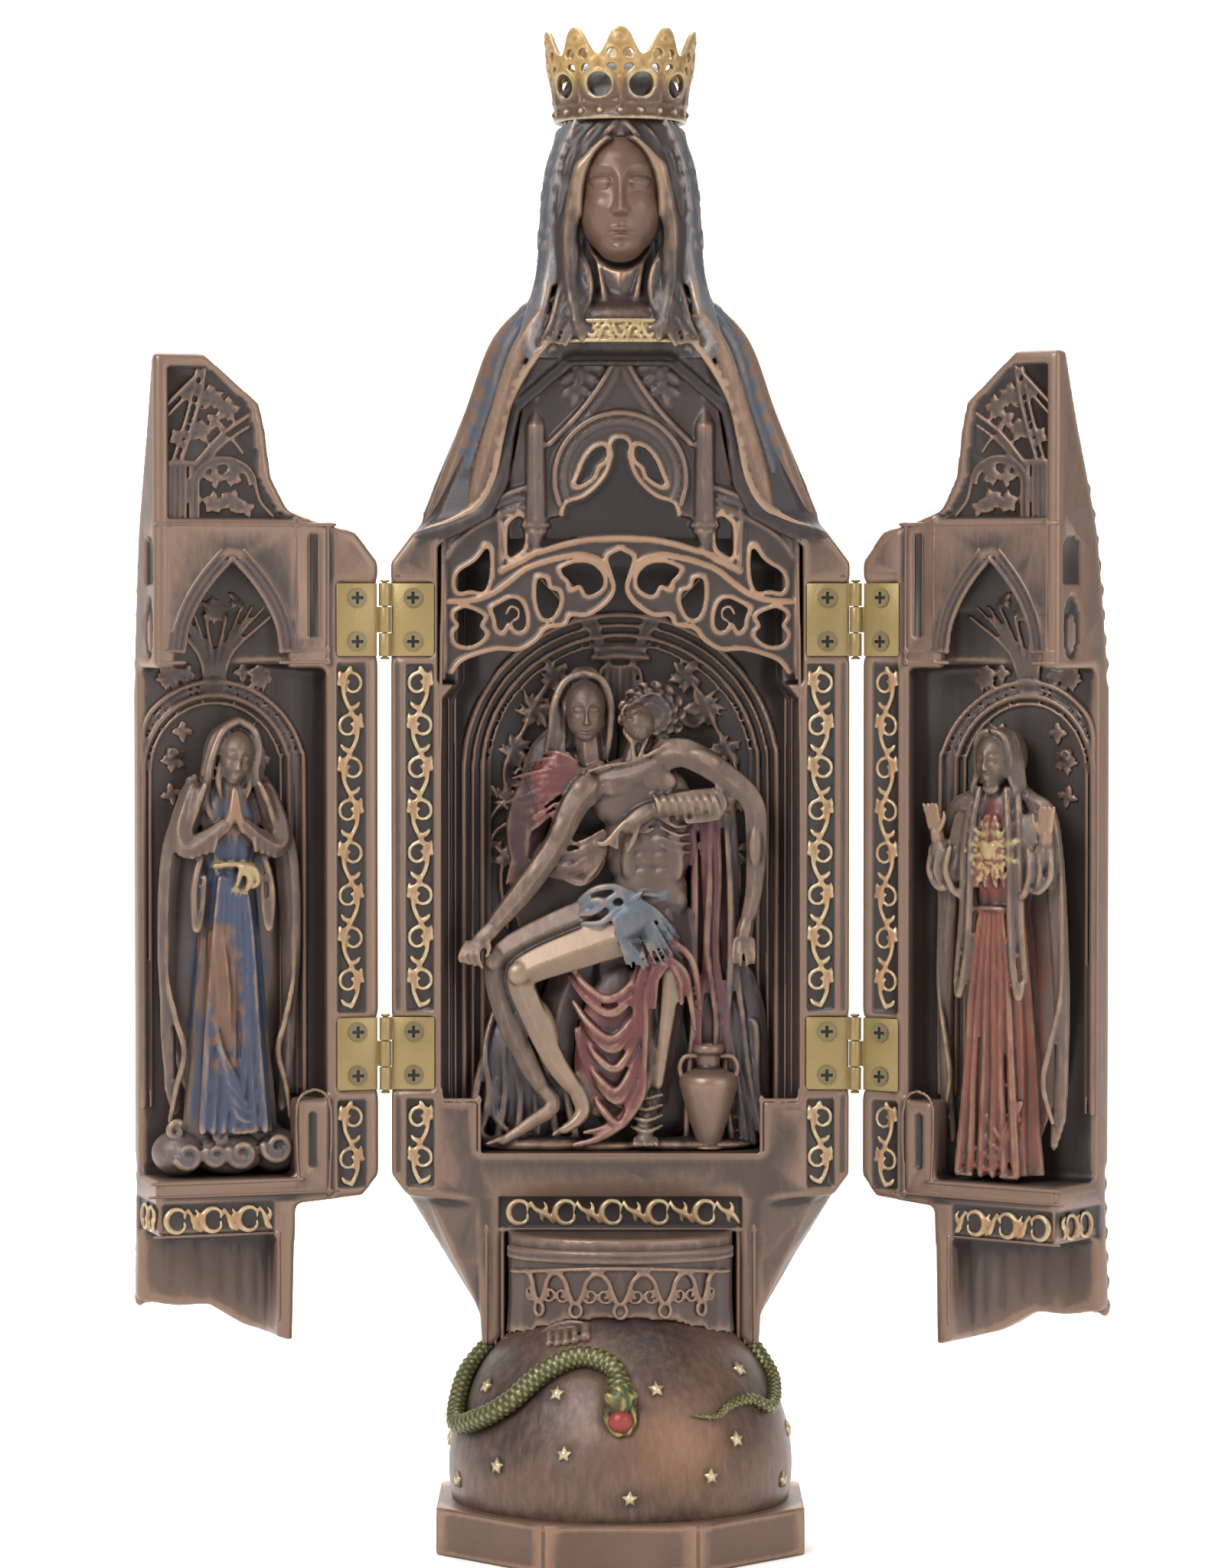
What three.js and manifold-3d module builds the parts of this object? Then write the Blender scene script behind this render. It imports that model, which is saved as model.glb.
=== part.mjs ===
// An opening Madonna: a crowned and veiled figure whose body is a shrine with two hinged doors.
// Millimetres. x runs to the right, y to the back, z up; the origin is the middle of the underside.
// The closed doors meet the body in the plane y = 0 and each other in the plane x = 0.
import * as THREE from 'three';
import { mergeVertices } from 'three/addons/utils/BufferGeometryUtils.js';
import Module from 'manifold-3d';

const wasm = await Module();
wasm.setup();

// Plinth and half globe
const PLINTH_ACROSS_FLATS = 70;
const PLINTH_HEIGHT = 9.1;
const GLOBE_RADIUS = 33;
const GLOBE_RISE = 6.4;
const SERPENT_RADIUS = 2;
const STAR_RADIUS = 1.7;

// Body, with the niche in its front
const BODY_HALF_WIDTH = 44;
const BODY_DEPTH = 24;
const LOWER_HALF_WIDTH = 26.7;
const LOWER_HEIGHT = 29;
const FLOOR_RISE = 4;
const PANEL_HEIGHT = 157;
const NICHE_HALF_WIDTH = 34.5;
const NICHE_DEPTH = 18;
const NICHE_LEDGE = 4;
const HEAD_HEIGHT = 44;

// Crown
const CROWN_HEIGHT = 18.5;
const CROWN_RADIUS = 12.4;
const CROWN_WALL = 1.4;
const CROWN_PEAKS = 10;

// Canopy
const CANOPY_HALF_WIDTH = 34;
const CANOPY_THICKNESS = 4.5;
const CANOPY_SET_BACK = 1.2;

// Doors
const DOOR_DEPTH = 19;
const DOOR_SKIRT_DEPTH = 21;
const DOOR_EDGE_DEPTH = 4;
const DOOR_WALL = 3;
const LEFT_REST_OPENING = 162;
const RIGHT_REST_OPENING = 144;

// Figures
const PIETA_HEIGHT = 92;
const LADY_HEIGHT = 87;
const ROBED_HEIGHT = 85;

// Sizes at which the free forms below were drawn; each is scaled from these to its own size above
const HEAD_DRAWN = 44;
const CANOPY_DRAWN = 34;
const PIETA_DRAWN = 92;
const LADY_DRAWN = 87;
const ROBED_DRAWN = 85;

// Hinges and screws
const LEAF_WIDTH = 8;
const LEAF_HEIGHT = 14;
const LEAF_THICKNESS = 0.7;
const KNUCKLE_RADIUS = 1.2;
const PIN_RADIUS = 0.5;
const PIN_OFFSET = 1.1;
const SCREW_HEAD_RADIUS = 1.9;
const SCREW_HEAD_HEIGHT = 0.4;
const SCREW_SHANK_RADIUS = 0.7;
const SCREW_LENGTH = 4;
const SCREW_SPREAD = 4.2;

// Clearances
const GAP = 0.3;
const FACE_GAP = 0.15;
const SEAM_GAP = 0.2;
const CANOPY_GAP = 1;
const PIN_GAP = 0.25;
const LEAF_GAP = 0.2;
const DRUM_CLEARANCE = 2.2;

// Heights that follow from the sizes above
const GLOBE_CENTRE_Z = PLINTH_HEIGHT + GLOBE_RISE;
const HEM_Z = GLOBE_CENTRE_Z + 0.68 * GLOBE_RADIUS;
const LOWER_TOP_Z = HEM_Z + LOWER_HEIGHT;
const FLOOR_Z = LOWER_TOP_Z + FLOOR_RISE;
const NICHE_FLOOR_Z = FLOOR_Z + NICHE_LEDGE;
const PANEL_TOP_Z = FLOOR_Z + PANEL_HEIGHT;
const CROWN_FOOT_Z = PANEL_TOP_Z + HEAD_HEIGHT;
const HINGE_HEIGHTS = [panelZ(0.148), panelZ(0.679)];
const HINGE_X = BODY_HALF_WIDTH + PIN_OFFSET;
const DRUM_HALF_WIDTH = LOWER_HALF_WIDTH - DOOR_WALL - DRUM_CLEARANCE;

// A height on the shrine, as a share of the panel's height above the door floor.
function panelZ(share) {
  return FLOOR_Z + share * PANEL_HEIGHT;
}

// Straight-line reading of a table of [place, value] rows.
function readTable(table, place) {
  if (place <= table[0][0]) return table[0][1];
  for (let row = 1; row < table.length; row++) {
    const [high, value] = table[row];
    const [low, before] = table[row - 1];
    if (place <= high) return before + ((value - before) * (place - low)) / (high - low);
  }
  return table[table.length - 1][1];
}

// Solids

// A closed geometry as a solid that can be joined and cut.
function solidOf(geometry) {
  const bare = geometry.index ? geometry.toNonIndexed() : geometry.clone();
  bare.deleteAttribute('normal');
  bare.deleteAttribute('uv');
  const merged = mergeVertices(bare, 1e-4);
  const corners = merged.index.array;
  const kept = [];
  for (let i = 0; i < corners.length; i += 3) {
    const [a, b, c] = [corners[i], corners[i + 1], corners[i + 2]];
    if (a !== b && b !== c && c !== a) kept.push(a, b, c);
  }
  const mesh = new wasm.Mesh({
    numProp: 3,
    vertProperties: merged.attributes.position.array,
    triVerts: new Uint32Array(kept),
  });
  return new wasm.Manifold(mesh);
}

function geometryOf(solid) {
  const mesh = solid.getMesh();
  const geometry = new THREE.BufferGeometry();
  geometry.setAttribute('position', new THREE.BufferAttribute(new Float32Array(mesh.vertProperties), 3));
  geometry.setIndex(new THREE.BufferAttribute(new Uint32Array(mesh.triVerts), 1));
  return geometry;
}

function joined(solids) {
  return solids.reduce((whole, piece) => whole.add(piece));
}

// The same solid without the sealed bubbles and crumbs that joined strokes leave.
function withoutBubbles(solid) {
  return joined(solid.decompose().filter((piece) => piece.volume() > 1));
}

// A closed skin over rings of points, each ring with as many points as the next.
// The ends close on a tip, or on the middle of the ring where no tip is given.
function loft(rings, startTip = middleOf(rings[0]), endTip = middleOf(rings.at(-1))) {
  const sides = rings[0].length;
  const points = rings.flat().concat([startTip, endTip]);
  const first = points.length - 2;
  const last = points.length - 1;
  const faces = [];
  for (let row = 0; row + 1 < rings.length; row++) {
    for (let side = 0; side < sides; side++) {
      const a = row * sides + side;
      const b = row * sides + ((side + 1) % sides);
      faces.push(a, b, b + sides, a, b + sides, a + sides);
    }
  }
  const topRow = (rings.length - 1) * sides;
  for (let side = 0; side < sides; side++) {
    const next = (side + 1) % sides;
    faces.push(first, next, side);
    faces.push(last, topRow + side, topRow + next);
  }
  if (signedVolume(points, faces) < 0) faces.reverse();
  const geometry = new THREE.BufferGeometry().setFromPoints(points);
  geometry.setIndex(faces);
  return solidOf(geometry);
}

function middleOf(ring) {
  const middle = new THREE.Vector3();
  ring.forEach((point) => middle.add(point));
  return middle.divideScalar(ring.length);
}

function signedVolume(points, faces) {
  let total = 0;
  const cross = new THREE.Vector3();
  for (let i = 0; i < faces.length; i += 3) {
    cross.crossVectors(points[faces[i + 1]], points[faces[i + 2]]);
    total += points[faces[i]].dot(cross);
  }
  return total;
}

// A rounded limb, fold or lock along a smooth path, with a radius at each of its points.
function stroke(path, radii, { sides = 4, steps = path.length, depthShare = 1 } = {}) {
  const curve = new THREE.CatmullRomCurve3(path.map((point) => new THREE.Vector3(...point)));
  const radiusTable = radii.map((radius, index) => [index / (radii.length - 1), radius]);
  const rings = [];
  const tips = [];
  let normal = new THREE.Vector3(0.31, 0.2, 0.93);
  for (let step = 0; step <= steps; step++) {
    const share = step / steps;
    const centre = curve.getPoint(share);
    const tangent = curve.getTangent(share);
    normal = normal.clone().addScaledVector(tangent, -normal.dot(tangent)).normalize();
    const across = new THREE.Vector3().crossVectors(tangent, normal);
    const radius = readTable(radiusTable, share);
    const ring = [];
    for (let side = 0; side < sides; side++) {
      const angle = (2 * Math.PI * side) / sides;
      const offset = normal.clone().multiplyScalar(Math.cos(angle) * radius);
      offset.addScaledVector(across, Math.sin(angle) * radius);
      offset.y *= depthShare;
      ring.push(centre.clone().add(offset));
    }
    rings.push(ring);
    tips.push(centre.clone().addScaledVector(tangent, (step === 0 ? -0.6 : 0.6) * radius));
  }
  return loft(rings, tips[0], tips.at(-1));
}

// A rounded lump: an ellipsoid with few faces.
function lump([x, y, z], [halfWidth, halfDepth, halfHeight], around = 8, down = 6) {
  const ball = new THREE.SphereGeometry(1, around, down);
  ball.rotateX(Math.PI / 2);
  ball.scale(halfWidth, halfDepth, halfHeight);
  return solidOf(ball.translate(x, y, z));
}

// A flat shape drawn in x and z, running from one y to the next.
function prism(shape, yNear, yFar, curveSegments = 6) {
  const options = { depth: yFar - yNear, bevelEnabled: false, curveSegments };
  const geometry = new THREE.ExtrudeGeometry(shape, options);
  return solidOf(geometry.rotateX(Math.PI / 2).translate(0, yFar, 0));
}

function shapeOf(points) {
  return new THREE.Shape(points.map(([x, z]) => new THREE.Vector2(x, z)));
}

function block([xLow, xHigh], [yLow, yHigh], [zLow, zHigh]) {
  const box = new THREE.BoxGeometry(xHigh - xLow, yHigh - yLow, zHigh - zLow);
  return solidOf(box.translate((xLow + xHigh) / 2, (yLow + yHigh) / 2, (zLow + zHigh) / 2));
}

// A turned shape about the vertical through [x, y]; the profile rows are [radius, z] and start and end on the axis.
function turned(profile, [x, y], segments = 8) {
  const rows = profile.map(([radius, z]) => new THREE.Vector2(radius, z));
  const geometry = new THREE.LatheGeometry(rows, segments).rotateX(Math.PI / 2);
  return rightWayOut(geometry.translate(x, y, 0));
}

// The solid of a geometry whose faces may point in.
function rightWayOut(geometry) {
  const solid = solidOf(geometry);
  if (solid.volume() > 0) return solid;
  const flat = geometry.index ? geometry.toNonIndexed() : geometry;
  const places = flat.attributes.position.array;
  for (let i = 0; i < places.length; i += 9) {
    for (let k = 0; k < 3; k++) {
      [places[i + 3 + k], places[i + 6 + k]] = [places[i + 6 + k], places[i + 3 + k]];
    }
  }
  return solidOf(flat);
}

// The same solid on the other side of the plane x = 0.
function mirrored(solid) {
  const geometry = geometryOf(solid).toNonIndexed();
  return rightWayOut(geometry.scale(-1, 1, 1));
}

// Outlines that several pieces share

// Half-width of the parting face at each height, the same on the body and on both doors.
const PARTING_TABLE = [
  [HEM_Z, LOWER_HALF_WIDTH],
  [LOWER_TOP_Z - 1.2, LOWER_HALF_WIDTH + 0.8],
  [LOWER_TOP_Z, BODY_HALF_WIDTH - 3.3],
  [FLOOR_Z, BODY_HALF_WIDTH],
  [panelZ(0.748), BODY_HALF_WIDTH],
  [panelZ(0.786), BODY_HALF_WIDTH - 4.6],
  [panelZ(0.797), BODY_HALF_WIDTH - 11.7],
  [panelZ(0.811), BODY_HALF_WIDTH - 17.8],
  [panelZ(0.851), BODY_HALF_WIDTH - 21.1],
  [panelZ(0.909), BODY_HALF_WIDTH - 22.3],
  [panelZ(0.94), BODY_HALF_WIDTH - 23.4],
  [PANEL_TOP_Z, BODY_HALF_WIDTH - 34.3],
];

// How far the doors stand out in front at each height, along the seam.
const DOOR_FRONT_TABLE = [
  [HEM_Z, DOOR_SKIRT_DEPTH],
  [LOWER_TOP_Z, DOOR_DEPTH],
  [panelZ(0.63), DOOR_DEPTH],
  [panelZ(0.726), DOOR_DEPTH * 0.9],
  [panelZ(0.79), DOOR_DEPTH * 0.79],
  [panelZ(0.854), DOOR_DEPTH * 0.6],
  [panelZ(0.917), DOOR_DEPTH * 0.4],
  [PANEL_TOP_Z, DOOR_DEPTH * 0.18],
];


// Globe base: octagonal plinth, half globe, serpent, stars and the toes of one foot

// A place on the globe from its bearing from the front and its height angle, both in degrees.
function onGlobe([bearing, rise], lift) {
  const east = THREE.MathUtils.degToRad(bearing);
  const up = THREE.MathUtils.degToRad(rise);
  const reach = GLOBE_RADIUS + lift;
  return [
    reach * Math.cos(up) * Math.sin(east),
    -reach * Math.cos(up) * Math.cos(east),
    GLOBE_CENTRE_Z + reach * Math.sin(up),
  ];
}

const GLOBE_AROUND = 20;
const GLOBE_DOWN = 12;

function globeBall(lift) {
  const radius = GLOBE_RADIUS + lift;
  return lump([0, 0, GLOBE_CENTRE_Z], [radius, radius, radius], GLOBE_AROUND, GLOBE_DOWN);
}

// A raised five-pointed star, its foot sunk in the globe.
function star(place) {
  const middle = new THREE.Vector3(...onGlobe(place, -0.5));
  const tip = new THREE.Vector3(...onGlobe(place, 0.8));
  const out = tip.clone().sub(middle).normalize();
  const side = new THREE.Vector3(0, 0, 1).cross(out).normalize();
  const up = out.clone().cross(side);
  const ring = [];
  for (let point = 0; point < 10; point++) {
    const angle = (Math.PI * point) / 5;
    const reach = point % 2 === 0 ? STAR_RADIUS : STAR_RADIUS * 0.5;
    const rim = middle.clone().addScaledVector(up, Math.cos(angle) * reach);
    ring.push(rim.addScaledVector(side, Math.sin(angle) * reach));
  }
  return loft([ring], middle.clone().addScaledVector(out, -0.3), tip);
}

const STAR_PLACES = [
  [-63, 30], [-25, 31], [14, 33], [59, 37], [43, 14], [-19, 11], [-45, 5],
  [-70, -3], [3, -3], [31, 3], [70, -3], [84, 12], [-90, 8],
];
const SERPENT_BODY = [[-100, 46], [-88, 30], [-72, 16], [-56, 19], [-43, 26], [-31, 38], [-17, 44], [-3, 40], [0, 30]];
const SERPENT_HEAD = [[-1, 36], [0, 30], [0, 23]];
const SERPENT_TAIL = [[56, 50], [74, 42], [80, 29], [66, 22], [54, 26], [42, 25], [35, 22], [26, 23]];

// Thickened by extra where the body must leave room for it.
function serpent(extra = 0) {
  const rise = SERPENT_RADIUS * 0.55;
  const trunk = SERPENT_BODY.map((place) => onGlobe(place, rise));
  const head = SERPENT_HEAD.map((place) => onGlobe(place, rise + 0.3));
  const tail = SERPENT_TAIL.map((place) => onGlobe(place, rise * 0.7));
  const thick = SERPENT_RADIUS + extra;
  return [
    stroke(trunk, [thick * 0.9, thick, thick], { steps: 9, sides: 4 }),
    stroke(head, [thick, thick * 1.35, thick * 0.6], { steps: 2 }),
    stroke(tail, [thick * 0.9, thick * 0.6, thick * 0.25], { steps: 7, sides: 4 }),
    lump(onGlobe([0, 27], rise + SERPENT_RADIUS), [thick, thick, thick], 6, 4),
  ];
}

function toes(extra = 0) {
  const path = [onGlobe([-40, 56], 0), onGlobe([-37, 51], 1.2), onGlobe([-38, 47], 0.6)];
  return [stroke(path, [2.4 + extra, 2 + extra, 1.4 + extra], { steps: 2 })];
}

function globeBase() {
  const corner = PLINTH_ACROSS_FLATS / 2 / Math.cos(Math.PI / 8);
  const chamfer = 0.6;
  const profile = [
    [0, 0], [corner, 0], [corner, PLINTH_HEIGHT - chamfer],
    [corner - chamfer, PLINTH_HEIGHT], [0, PLINTH_HEIGHT],
  ];
  const plinth = turned(profile, [0, 0], 8).rotate([0, 0, 22.5]);
  const below = block([-corner, corner], [-corner, corner], [-corner, PLINTH_HEIGHT / 2]);
  const globe = globeBall(0).subtract(below);
  return joined([plinth, globe, ...serpent(), ...toes(), ...STAR_PLACES.map(star)]);
}

// Body

const WIDEST_TABLE = [
  [HEM_Z, LOWER_HALF_WIDTH],
  [HEM_Z + 0.2 * LOWER_HEIGHT, LOWER_HALF_WIDTH + 0.5],
  [HEM_Z + 0.9 * LOWER_HEIGHT, BODY_HALF_WIDTH - 4],
  [FLOOR_Z, BODY_HALF_WIDTH],
  [panelZ(0.748), BODY_HALF_WIDTH],
  [panelZ(0.764), BODY_HALF_WIDTH - 1.7],
  [panelZ(0.797), BODY_HALF_WIDTH - 5.6],
  [panelZ(0.828), BODY_HALF_WIDTH - 6.6],
  [panelZ(0.879), BODY_HALF_WIDTH - 10.7],
  [panelZ(0.955), BODY_HALF_WIDTH - 15.4],
  [PANEL_TOP_Z, BODY_HALF_WIDTH - 18],
];
const WIDEST_PLACE_TABLE = [
  [HEM_Z, 0.25], [LOWER_TOP_Z - 3, 0.38], [LOWER_TOP_Z, 0.36], [FLOOR_Z, 0.12],
  [panelZ(0.748), 0.12], [panelZ(0.797), 0.25], [panelZ(0.909), 0.33], [PANEL_TOP_Z, 0.25],
];
const BACK_TABLE = [
  [HEM_Z, 1.04], [HEM_Z + 0.5 * LOWER_HEIGHT, 0.96], [FLOOR_Z, 1],
  [panelZ(0.748), 1], [panelZ(0.828), 0.9], [panelZ(0.909), 0.78], [PANEL_TOP_Z, 0.66],
];
const BODY_LEVELS = [
  HEM_Z, HEM_Z + 0.2 * LOWER_HEIGHT, HEM_Z + 0.55 * LOWER_HEIGHT, LOWER_TOP_Z - 1.2, LOWER_TOP_Z, FLOOR_Z,
  ...[0.748, 0.786, 0.797, 0.811, 0.851, 0.909, 0.94, 1].map(panelZ),
];
const BACK_POWER = 2.5;
const PLEATS = 5;
const PLEAT_DEPTH = 0.9;

// One level of the body: a flat front, sides that round out to the widest place, and a pleated back.
function bodyRing(z) {
  const front = readTable(PARTING_TABLE, z);
  const widest = Math.max(readTable(WIDEST_TABLE, z), front);
  const depth = BODY_DEPTH * readTable(BACK_TABLE, z);
  const widestY = BODY_DEPTH * readTable(WIDEST_PLACE_TABLE, z);
  const half = [[front, FACE_GAP]];
  for (const share of [0.5, 1]) {
    const turn = (share * Math.PI) / 2;
    half.push([front + (widest - front) * Math.sin(turn), FACE_GAP + (widestY - FACE_GAP) * (1 - Math.cos(turn))]);
  }
  for (let step = 1; step <= PLEATS; step++) {
    const turn = (step / PLEATS) * (Math.PI / 2);
    const inward = step % 2 === 1 ? PLEAT_DEPTH : 0;
    const x = (widest - inward) * Math.cos(turn) ** (2 / BACK_POWER);
    half.push([x, widestY + (depth - inward - widestY) * Math.sin(turn) ** (2 / BACK_POWER)]);
  }
  half[half.length - 1][0] = 0;
  const other = half.slice(0, -1).reverse().map(([x, y]) => [-x, y]);
  return half.concat(other).map(([x, y]) => new THREE.Vector3(x, y, z));
}

// The niche at one height: open in front, with a rounded back.
function nicheRing(z, halfWidth, depth) {
  const ring = [new THREE.Vector3(halfWidth, -1, z)];
  const steps = 10;
  for (let step = 0; step <= steps; step++) {
    const turn = (step / steps) * Math.PI;
    const across = Math.cos(turn);
    const x = halfWidth * Math.sign(across) * Math.abs(across) ** (2 / 3);
    ring.push(new THREE.Vector3(step === steps ? -halfWidth : x, depth * Math.sin(turn) ** (2 / 3), z));
  }
  ring[ring.length - 1].y = 0;
  return ring.concat([new THREE.Vector3(-halfWidth, -1, z)]);
}

// The niche's hollow; a positive shrink gives the room that is left for what stands in it.
function nicheHollow(shrink = 0) {
  const ledge = NICHE_HALF_WIDTH - 2.5;
  const rows = [
    [NICHE_FLOOR_Z + shrink, NICHE_HALF_WIDTH, 1], [panelZ(0.58), NICHE_HALF_WIDTH, 1],
    [panelZ(0.6), ledge, 1], [panelZ(0.745), ledge, 0.95], [panelZ(0.79), ledge * 0.76, 0.75],
    [panelZ(0.84), ledge * 0.5, 0.6], [panelZ(0.89), ledge * 0.2, 0.45],
  ];
  return loft(rows.map(([z, halfWidth, share]) => nicheRing(z, halfWidth - shrink, NICHE_DEPTH * share - shrink)));
}

// The recess that the canopy sits in, and the canopy's own outline when drawn a gap smaller.
function canopyOutline(inset) {
  const reach = CANOPY_HALF_WIDTH + CANOPY_GAP - inset;
  const rows = [
    [0, 0.77], [-4.5, 0.784], [-10.3, 0.804], [-13.6, 0.845], [-14.8, 0.904], [-15.8, 0.933], [-26, 0.988],
  ];
  return rows.map(([step, share]) => [reach + step, panelZ(share) - inset * 0.7]);
}

function withMirror(points) {
  return points.concat([...points].reverse().map(([x, z]) => [-x, z]));
}

function bothSides(solid) {
  return [solid, mirrored(solid)];
}

// The gown's front above the globe: a drum that the closed doors cover.
function gownDrum() {
  const front = DOOR_SKIRT_DEPTH - DOOR_WALL - DRUM_CLEARANCE;
  const rows = [[0, 1.03, 1.02], [0.08, 1.02, 1], [0.3, 1, 0.96], [0.76, 1, 0.92]];
  const steps = 12;
  const rings = rows.map(([share, across, forward]) => {
    const ring = [];
    for (let step = 0; step <= steps; step++) {
      const turn = (step / steps) * Math.PI;
      const x = DRUM_HALF_WIDTH * across * Math.cos(turn);
      ring.push(new THREE.Vector3(x, -front * forward * Math.sin(turn), HEM_Z + share * LOWER_HEIGHT));
    }
    const back = BODY_DEPTH * 0.3;
    const corner = ring[0];
    ring.push(new THREE.Vector3(-corner.x, back, corner.z), new THREE.Vector3(corner.x, back, corner.z));
    return ring;
  });
  return loft(rings);
}

// A height on the head, as a share of the way from the top of the doors to the foot of the crown.
function headZ(share) {
  return PANEL_TOP_Z + share * HEAD_HEIGHT;
}

// A closed ring round the figure at one height, from the front at y = front to the back.
function roundRing(z, halfWidth, front, back, sides = 12) {
  const ring = [];
  for (let side = 0; side < sides; side++) {
    const turn = (2 * Math.PI * side) / sides;
    const across = Math.sign(Math.cos(turn)) * Math.abs(Math.cos(turn)) ** 0.75;
    const deep = Math.sign(Math.sin(turn)) * Math.abs(Math.sin(turn)) ** 0.75;
    ring.push(new THREE.Vector3(halfWidth * across, (front + back) / 2 + ((back - front) / 2) * deep, z));
  }
  return ring;
}

function bust() {
  const shoulders = [
    [-0.4, 31, 3, 17], [-0.16, 28.5, -3, 16.5], [0.03, 25.8, -6.8, 15.2],
    [0.15, 21.7, -7, 13.8], [0.24, 16.6, -5.5, 13.2], [0.3, 14, -3, 13],
  ];
  const veil = [
    [0.1, 15.6, -3.5, 13.5], [0.25, 15, -3, 13.5], [0.45, 14.2, -2.6, 13.8], [0.7, 13.9, -2.6, 13.8],
    [0.88, 12.8, -3.4, 13], [0.985, 11.8, -5, 12.2],
  ];
  const scale = HEAD_HEIGHT / HEAD_DRAWN;
  const ringsOf = (rows) => rows.map(([share, wide, front, back]) => {
    return roundRing(headZ(share), wide * scale, front * scale, back * scale);
  });
  return [loft(ringsOf(shoulders)), loft(ringsOf(veil))];
}

// Head, neck, hair, the edges of the veil and the gold band at the neck, sized with the head.
function head() {
  const scale = HEAD_HEIGHT / HEAD_DRAWN;
  const at = (rows) => rows.map(([x, y, share]) => [x * scale, y * scale, headZ(share)]);
  const thick = (radii) => radii.map((radius) => radius * scale);
  const oneSide = [
    stroke(at([[2, -10, 0.93], [7.6, -9, 0.8], [9.8, -6.5, 0.55], [9.6, -6, 0.3], [8, -7.6, 0.12], [7, -8, 0.04]]),
      thick([1.6, 2, 2.4, 2.4, 2, 0.8]), { steps: 5, sides: 4 }),
    stroke(at([[8, -4.5, 0.95], [12.3, -4, 0.72], [13.4, -4.4, 0.4], [15, -6, 0.2], [15.6, -7.2, 0.04]]),
      thick([1, 1.4, 1.6, 1.7, 1.2]), { steps: 4, sides: 4 }),
  ].flatMap(bothSides);
  const nose = stroke(at([[0, -12, 0.76], [0, -13.2, 0.62], [0, -12.4, 0.58]]), thick([0.8, 1.1, 0.9]), { steps: 2 });
  const [crownX, crownY] = [0, 3.4 * scale];
  return [
    lump([0, -2 * scale, headZ(0.7)], thick([8.7, 10.6, 13.4]), 8, 6),
    lump([crownX, crownY, headZ(0.985)], thick([10.3, 10.3, 5]), 8, 4),
    stroke(at([[0, 1, 0.05], [0, 0.5, 0.45]]), thick([5.2, 4.7]), { steps: 1, sides: 8 }),
    stroke(at([[-10.8, -6, 0.11], [0, -8.4, 0.1], [10.8, -6, 0.11]]), thick([1.3, 1.3]), { steps: 4 }),
    nose,
    ...oneSide,
  ];
}

// The room that the closed doors need in front of the parting plane.
function doorRoom() {
  const outline = PARTING_TABLE.map(([z, halfWidth]) => [halfWidth + GAP, z + GAP]);
  const top = [[0, PANEL_TOP_Z + GAP], [0, HEM_Z]];
  const half = prism(shapeOf([[LOWER_HALF_WIDTH + GAP, HEM_Z], ...outline, ...top]), -40, FACE_GAP);
  return half.add(mirrored(half));
}

function cornerSteps() {
  const width = NICHE_HALF_WIDTH - 7;
  return bothSides(block([width, NICHE_HALF_WIDTH + 1], [FACE_GAP, 7], [NICHE_FLOOR_Z - 1, NICHE_FLOOR_Z + 10]));
}

function fixedBody() {
  const levels = loft(BODY_LEVELS.map(bodyRing));
  const shoulders = joined(bust().concat(head())).subtract(doorRoom());
  const canopyBed = prism(shapeOf(withMirror([
    [CANOPY_HALF_WIDTH + CANOPY_GAP, panelZ(0.6)],
    ...canopyOutline(0),
  ])), -1, CANOPY_SET_BACK + CANOPY_THICKNESS + GAP);
  const recessTop = HEM_Z + 0.77 * LOWER_HEIGHT;
  const recess = block([-DRUM_HALF_WIDTH - 1.5, DRUM_HALF_WIDTH + 1.5], [-1, 5], [HEM_Z - 1, recessTop]);
  return levels
    .add(shoulders)
    .subtract(joined([nicheHollow(), canopyBed, recess]))
    .add(joined([...cornerSteps(), gownDrum()]))
    .subtract(joined([globeBall(GAP), ...serpent(GAP), ...toes(GAP)]));
}


// Crown

// A turned tube of pierced gold: a plain band below, flaring to ten peaks.
function crown() {
  const foot = CROWN_FOOT_Z + GAP;
  const z = (share) => foot + share * (CROWN_HEIGHT - GAP);
  const outer = [[0, CROWN_RADIUS], [0.22, CROWN_RADIUS], [1, CROWN_RADIUS + 3]];
  const inner = outer.map(([share, radius]) => [share, radius - CROWN_WALL]).reverse();
  const profile = outer.concat(inner).map(([share, radius]) => [radius, z(share)]);
  const centreY = 3.4 * (HEAD_HEIGHT / HEAD_DRAWN);
  const band = turned([...profile, profile[0]], [0, 0], 2 * CROWN_PEAKS);
  const cuts = [];
  const cut = (points, turn) => {
    const radial = prism(shapeOf(points), -CROWN_RADIUS - 8, -CROWN_RADIUS / 2);
    cuts.push(radial.rotate([0, 0, turn]));
  };
  const round = (x, height, radius, sides) => {
    return Array.from({ length: sides }, (_, side) => {
      const turn = (2 * Math.PI * (side + 0.5)) / sides;
      return [x + radius * Math.cos(turn), height + radius * Math.sin(turn)];
    });
  };
  const pitch = (2 * Math.PI * (CROWN_RADIUS + 1.5)) / CROWN_PEAKS;
  for (let peak = 0; peak < CROWN_PEAKS; peak++) {
    const turn = (360 * (peak + 0.5)) / CROWN_PEAKS;
    const top = z(1.02);
    cut([[-pitch * 0.42, top], [-pitch * 0.17, z(0.76)], [pitch * 0.17, z(0.76)], [pitch * 0.42, top]], turn);
    cut(round(0, z(0.42), pitch * 0.29, 6), turn);
    cut(round(0, z(0.72), pitch * 0.12, 4), turn + 180 / CROWN_PEAKS);
  }
  return cuts.reduce((ring, hole) => ring.subtract(hole), band).translate([0, centreY, 0]);
}

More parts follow.
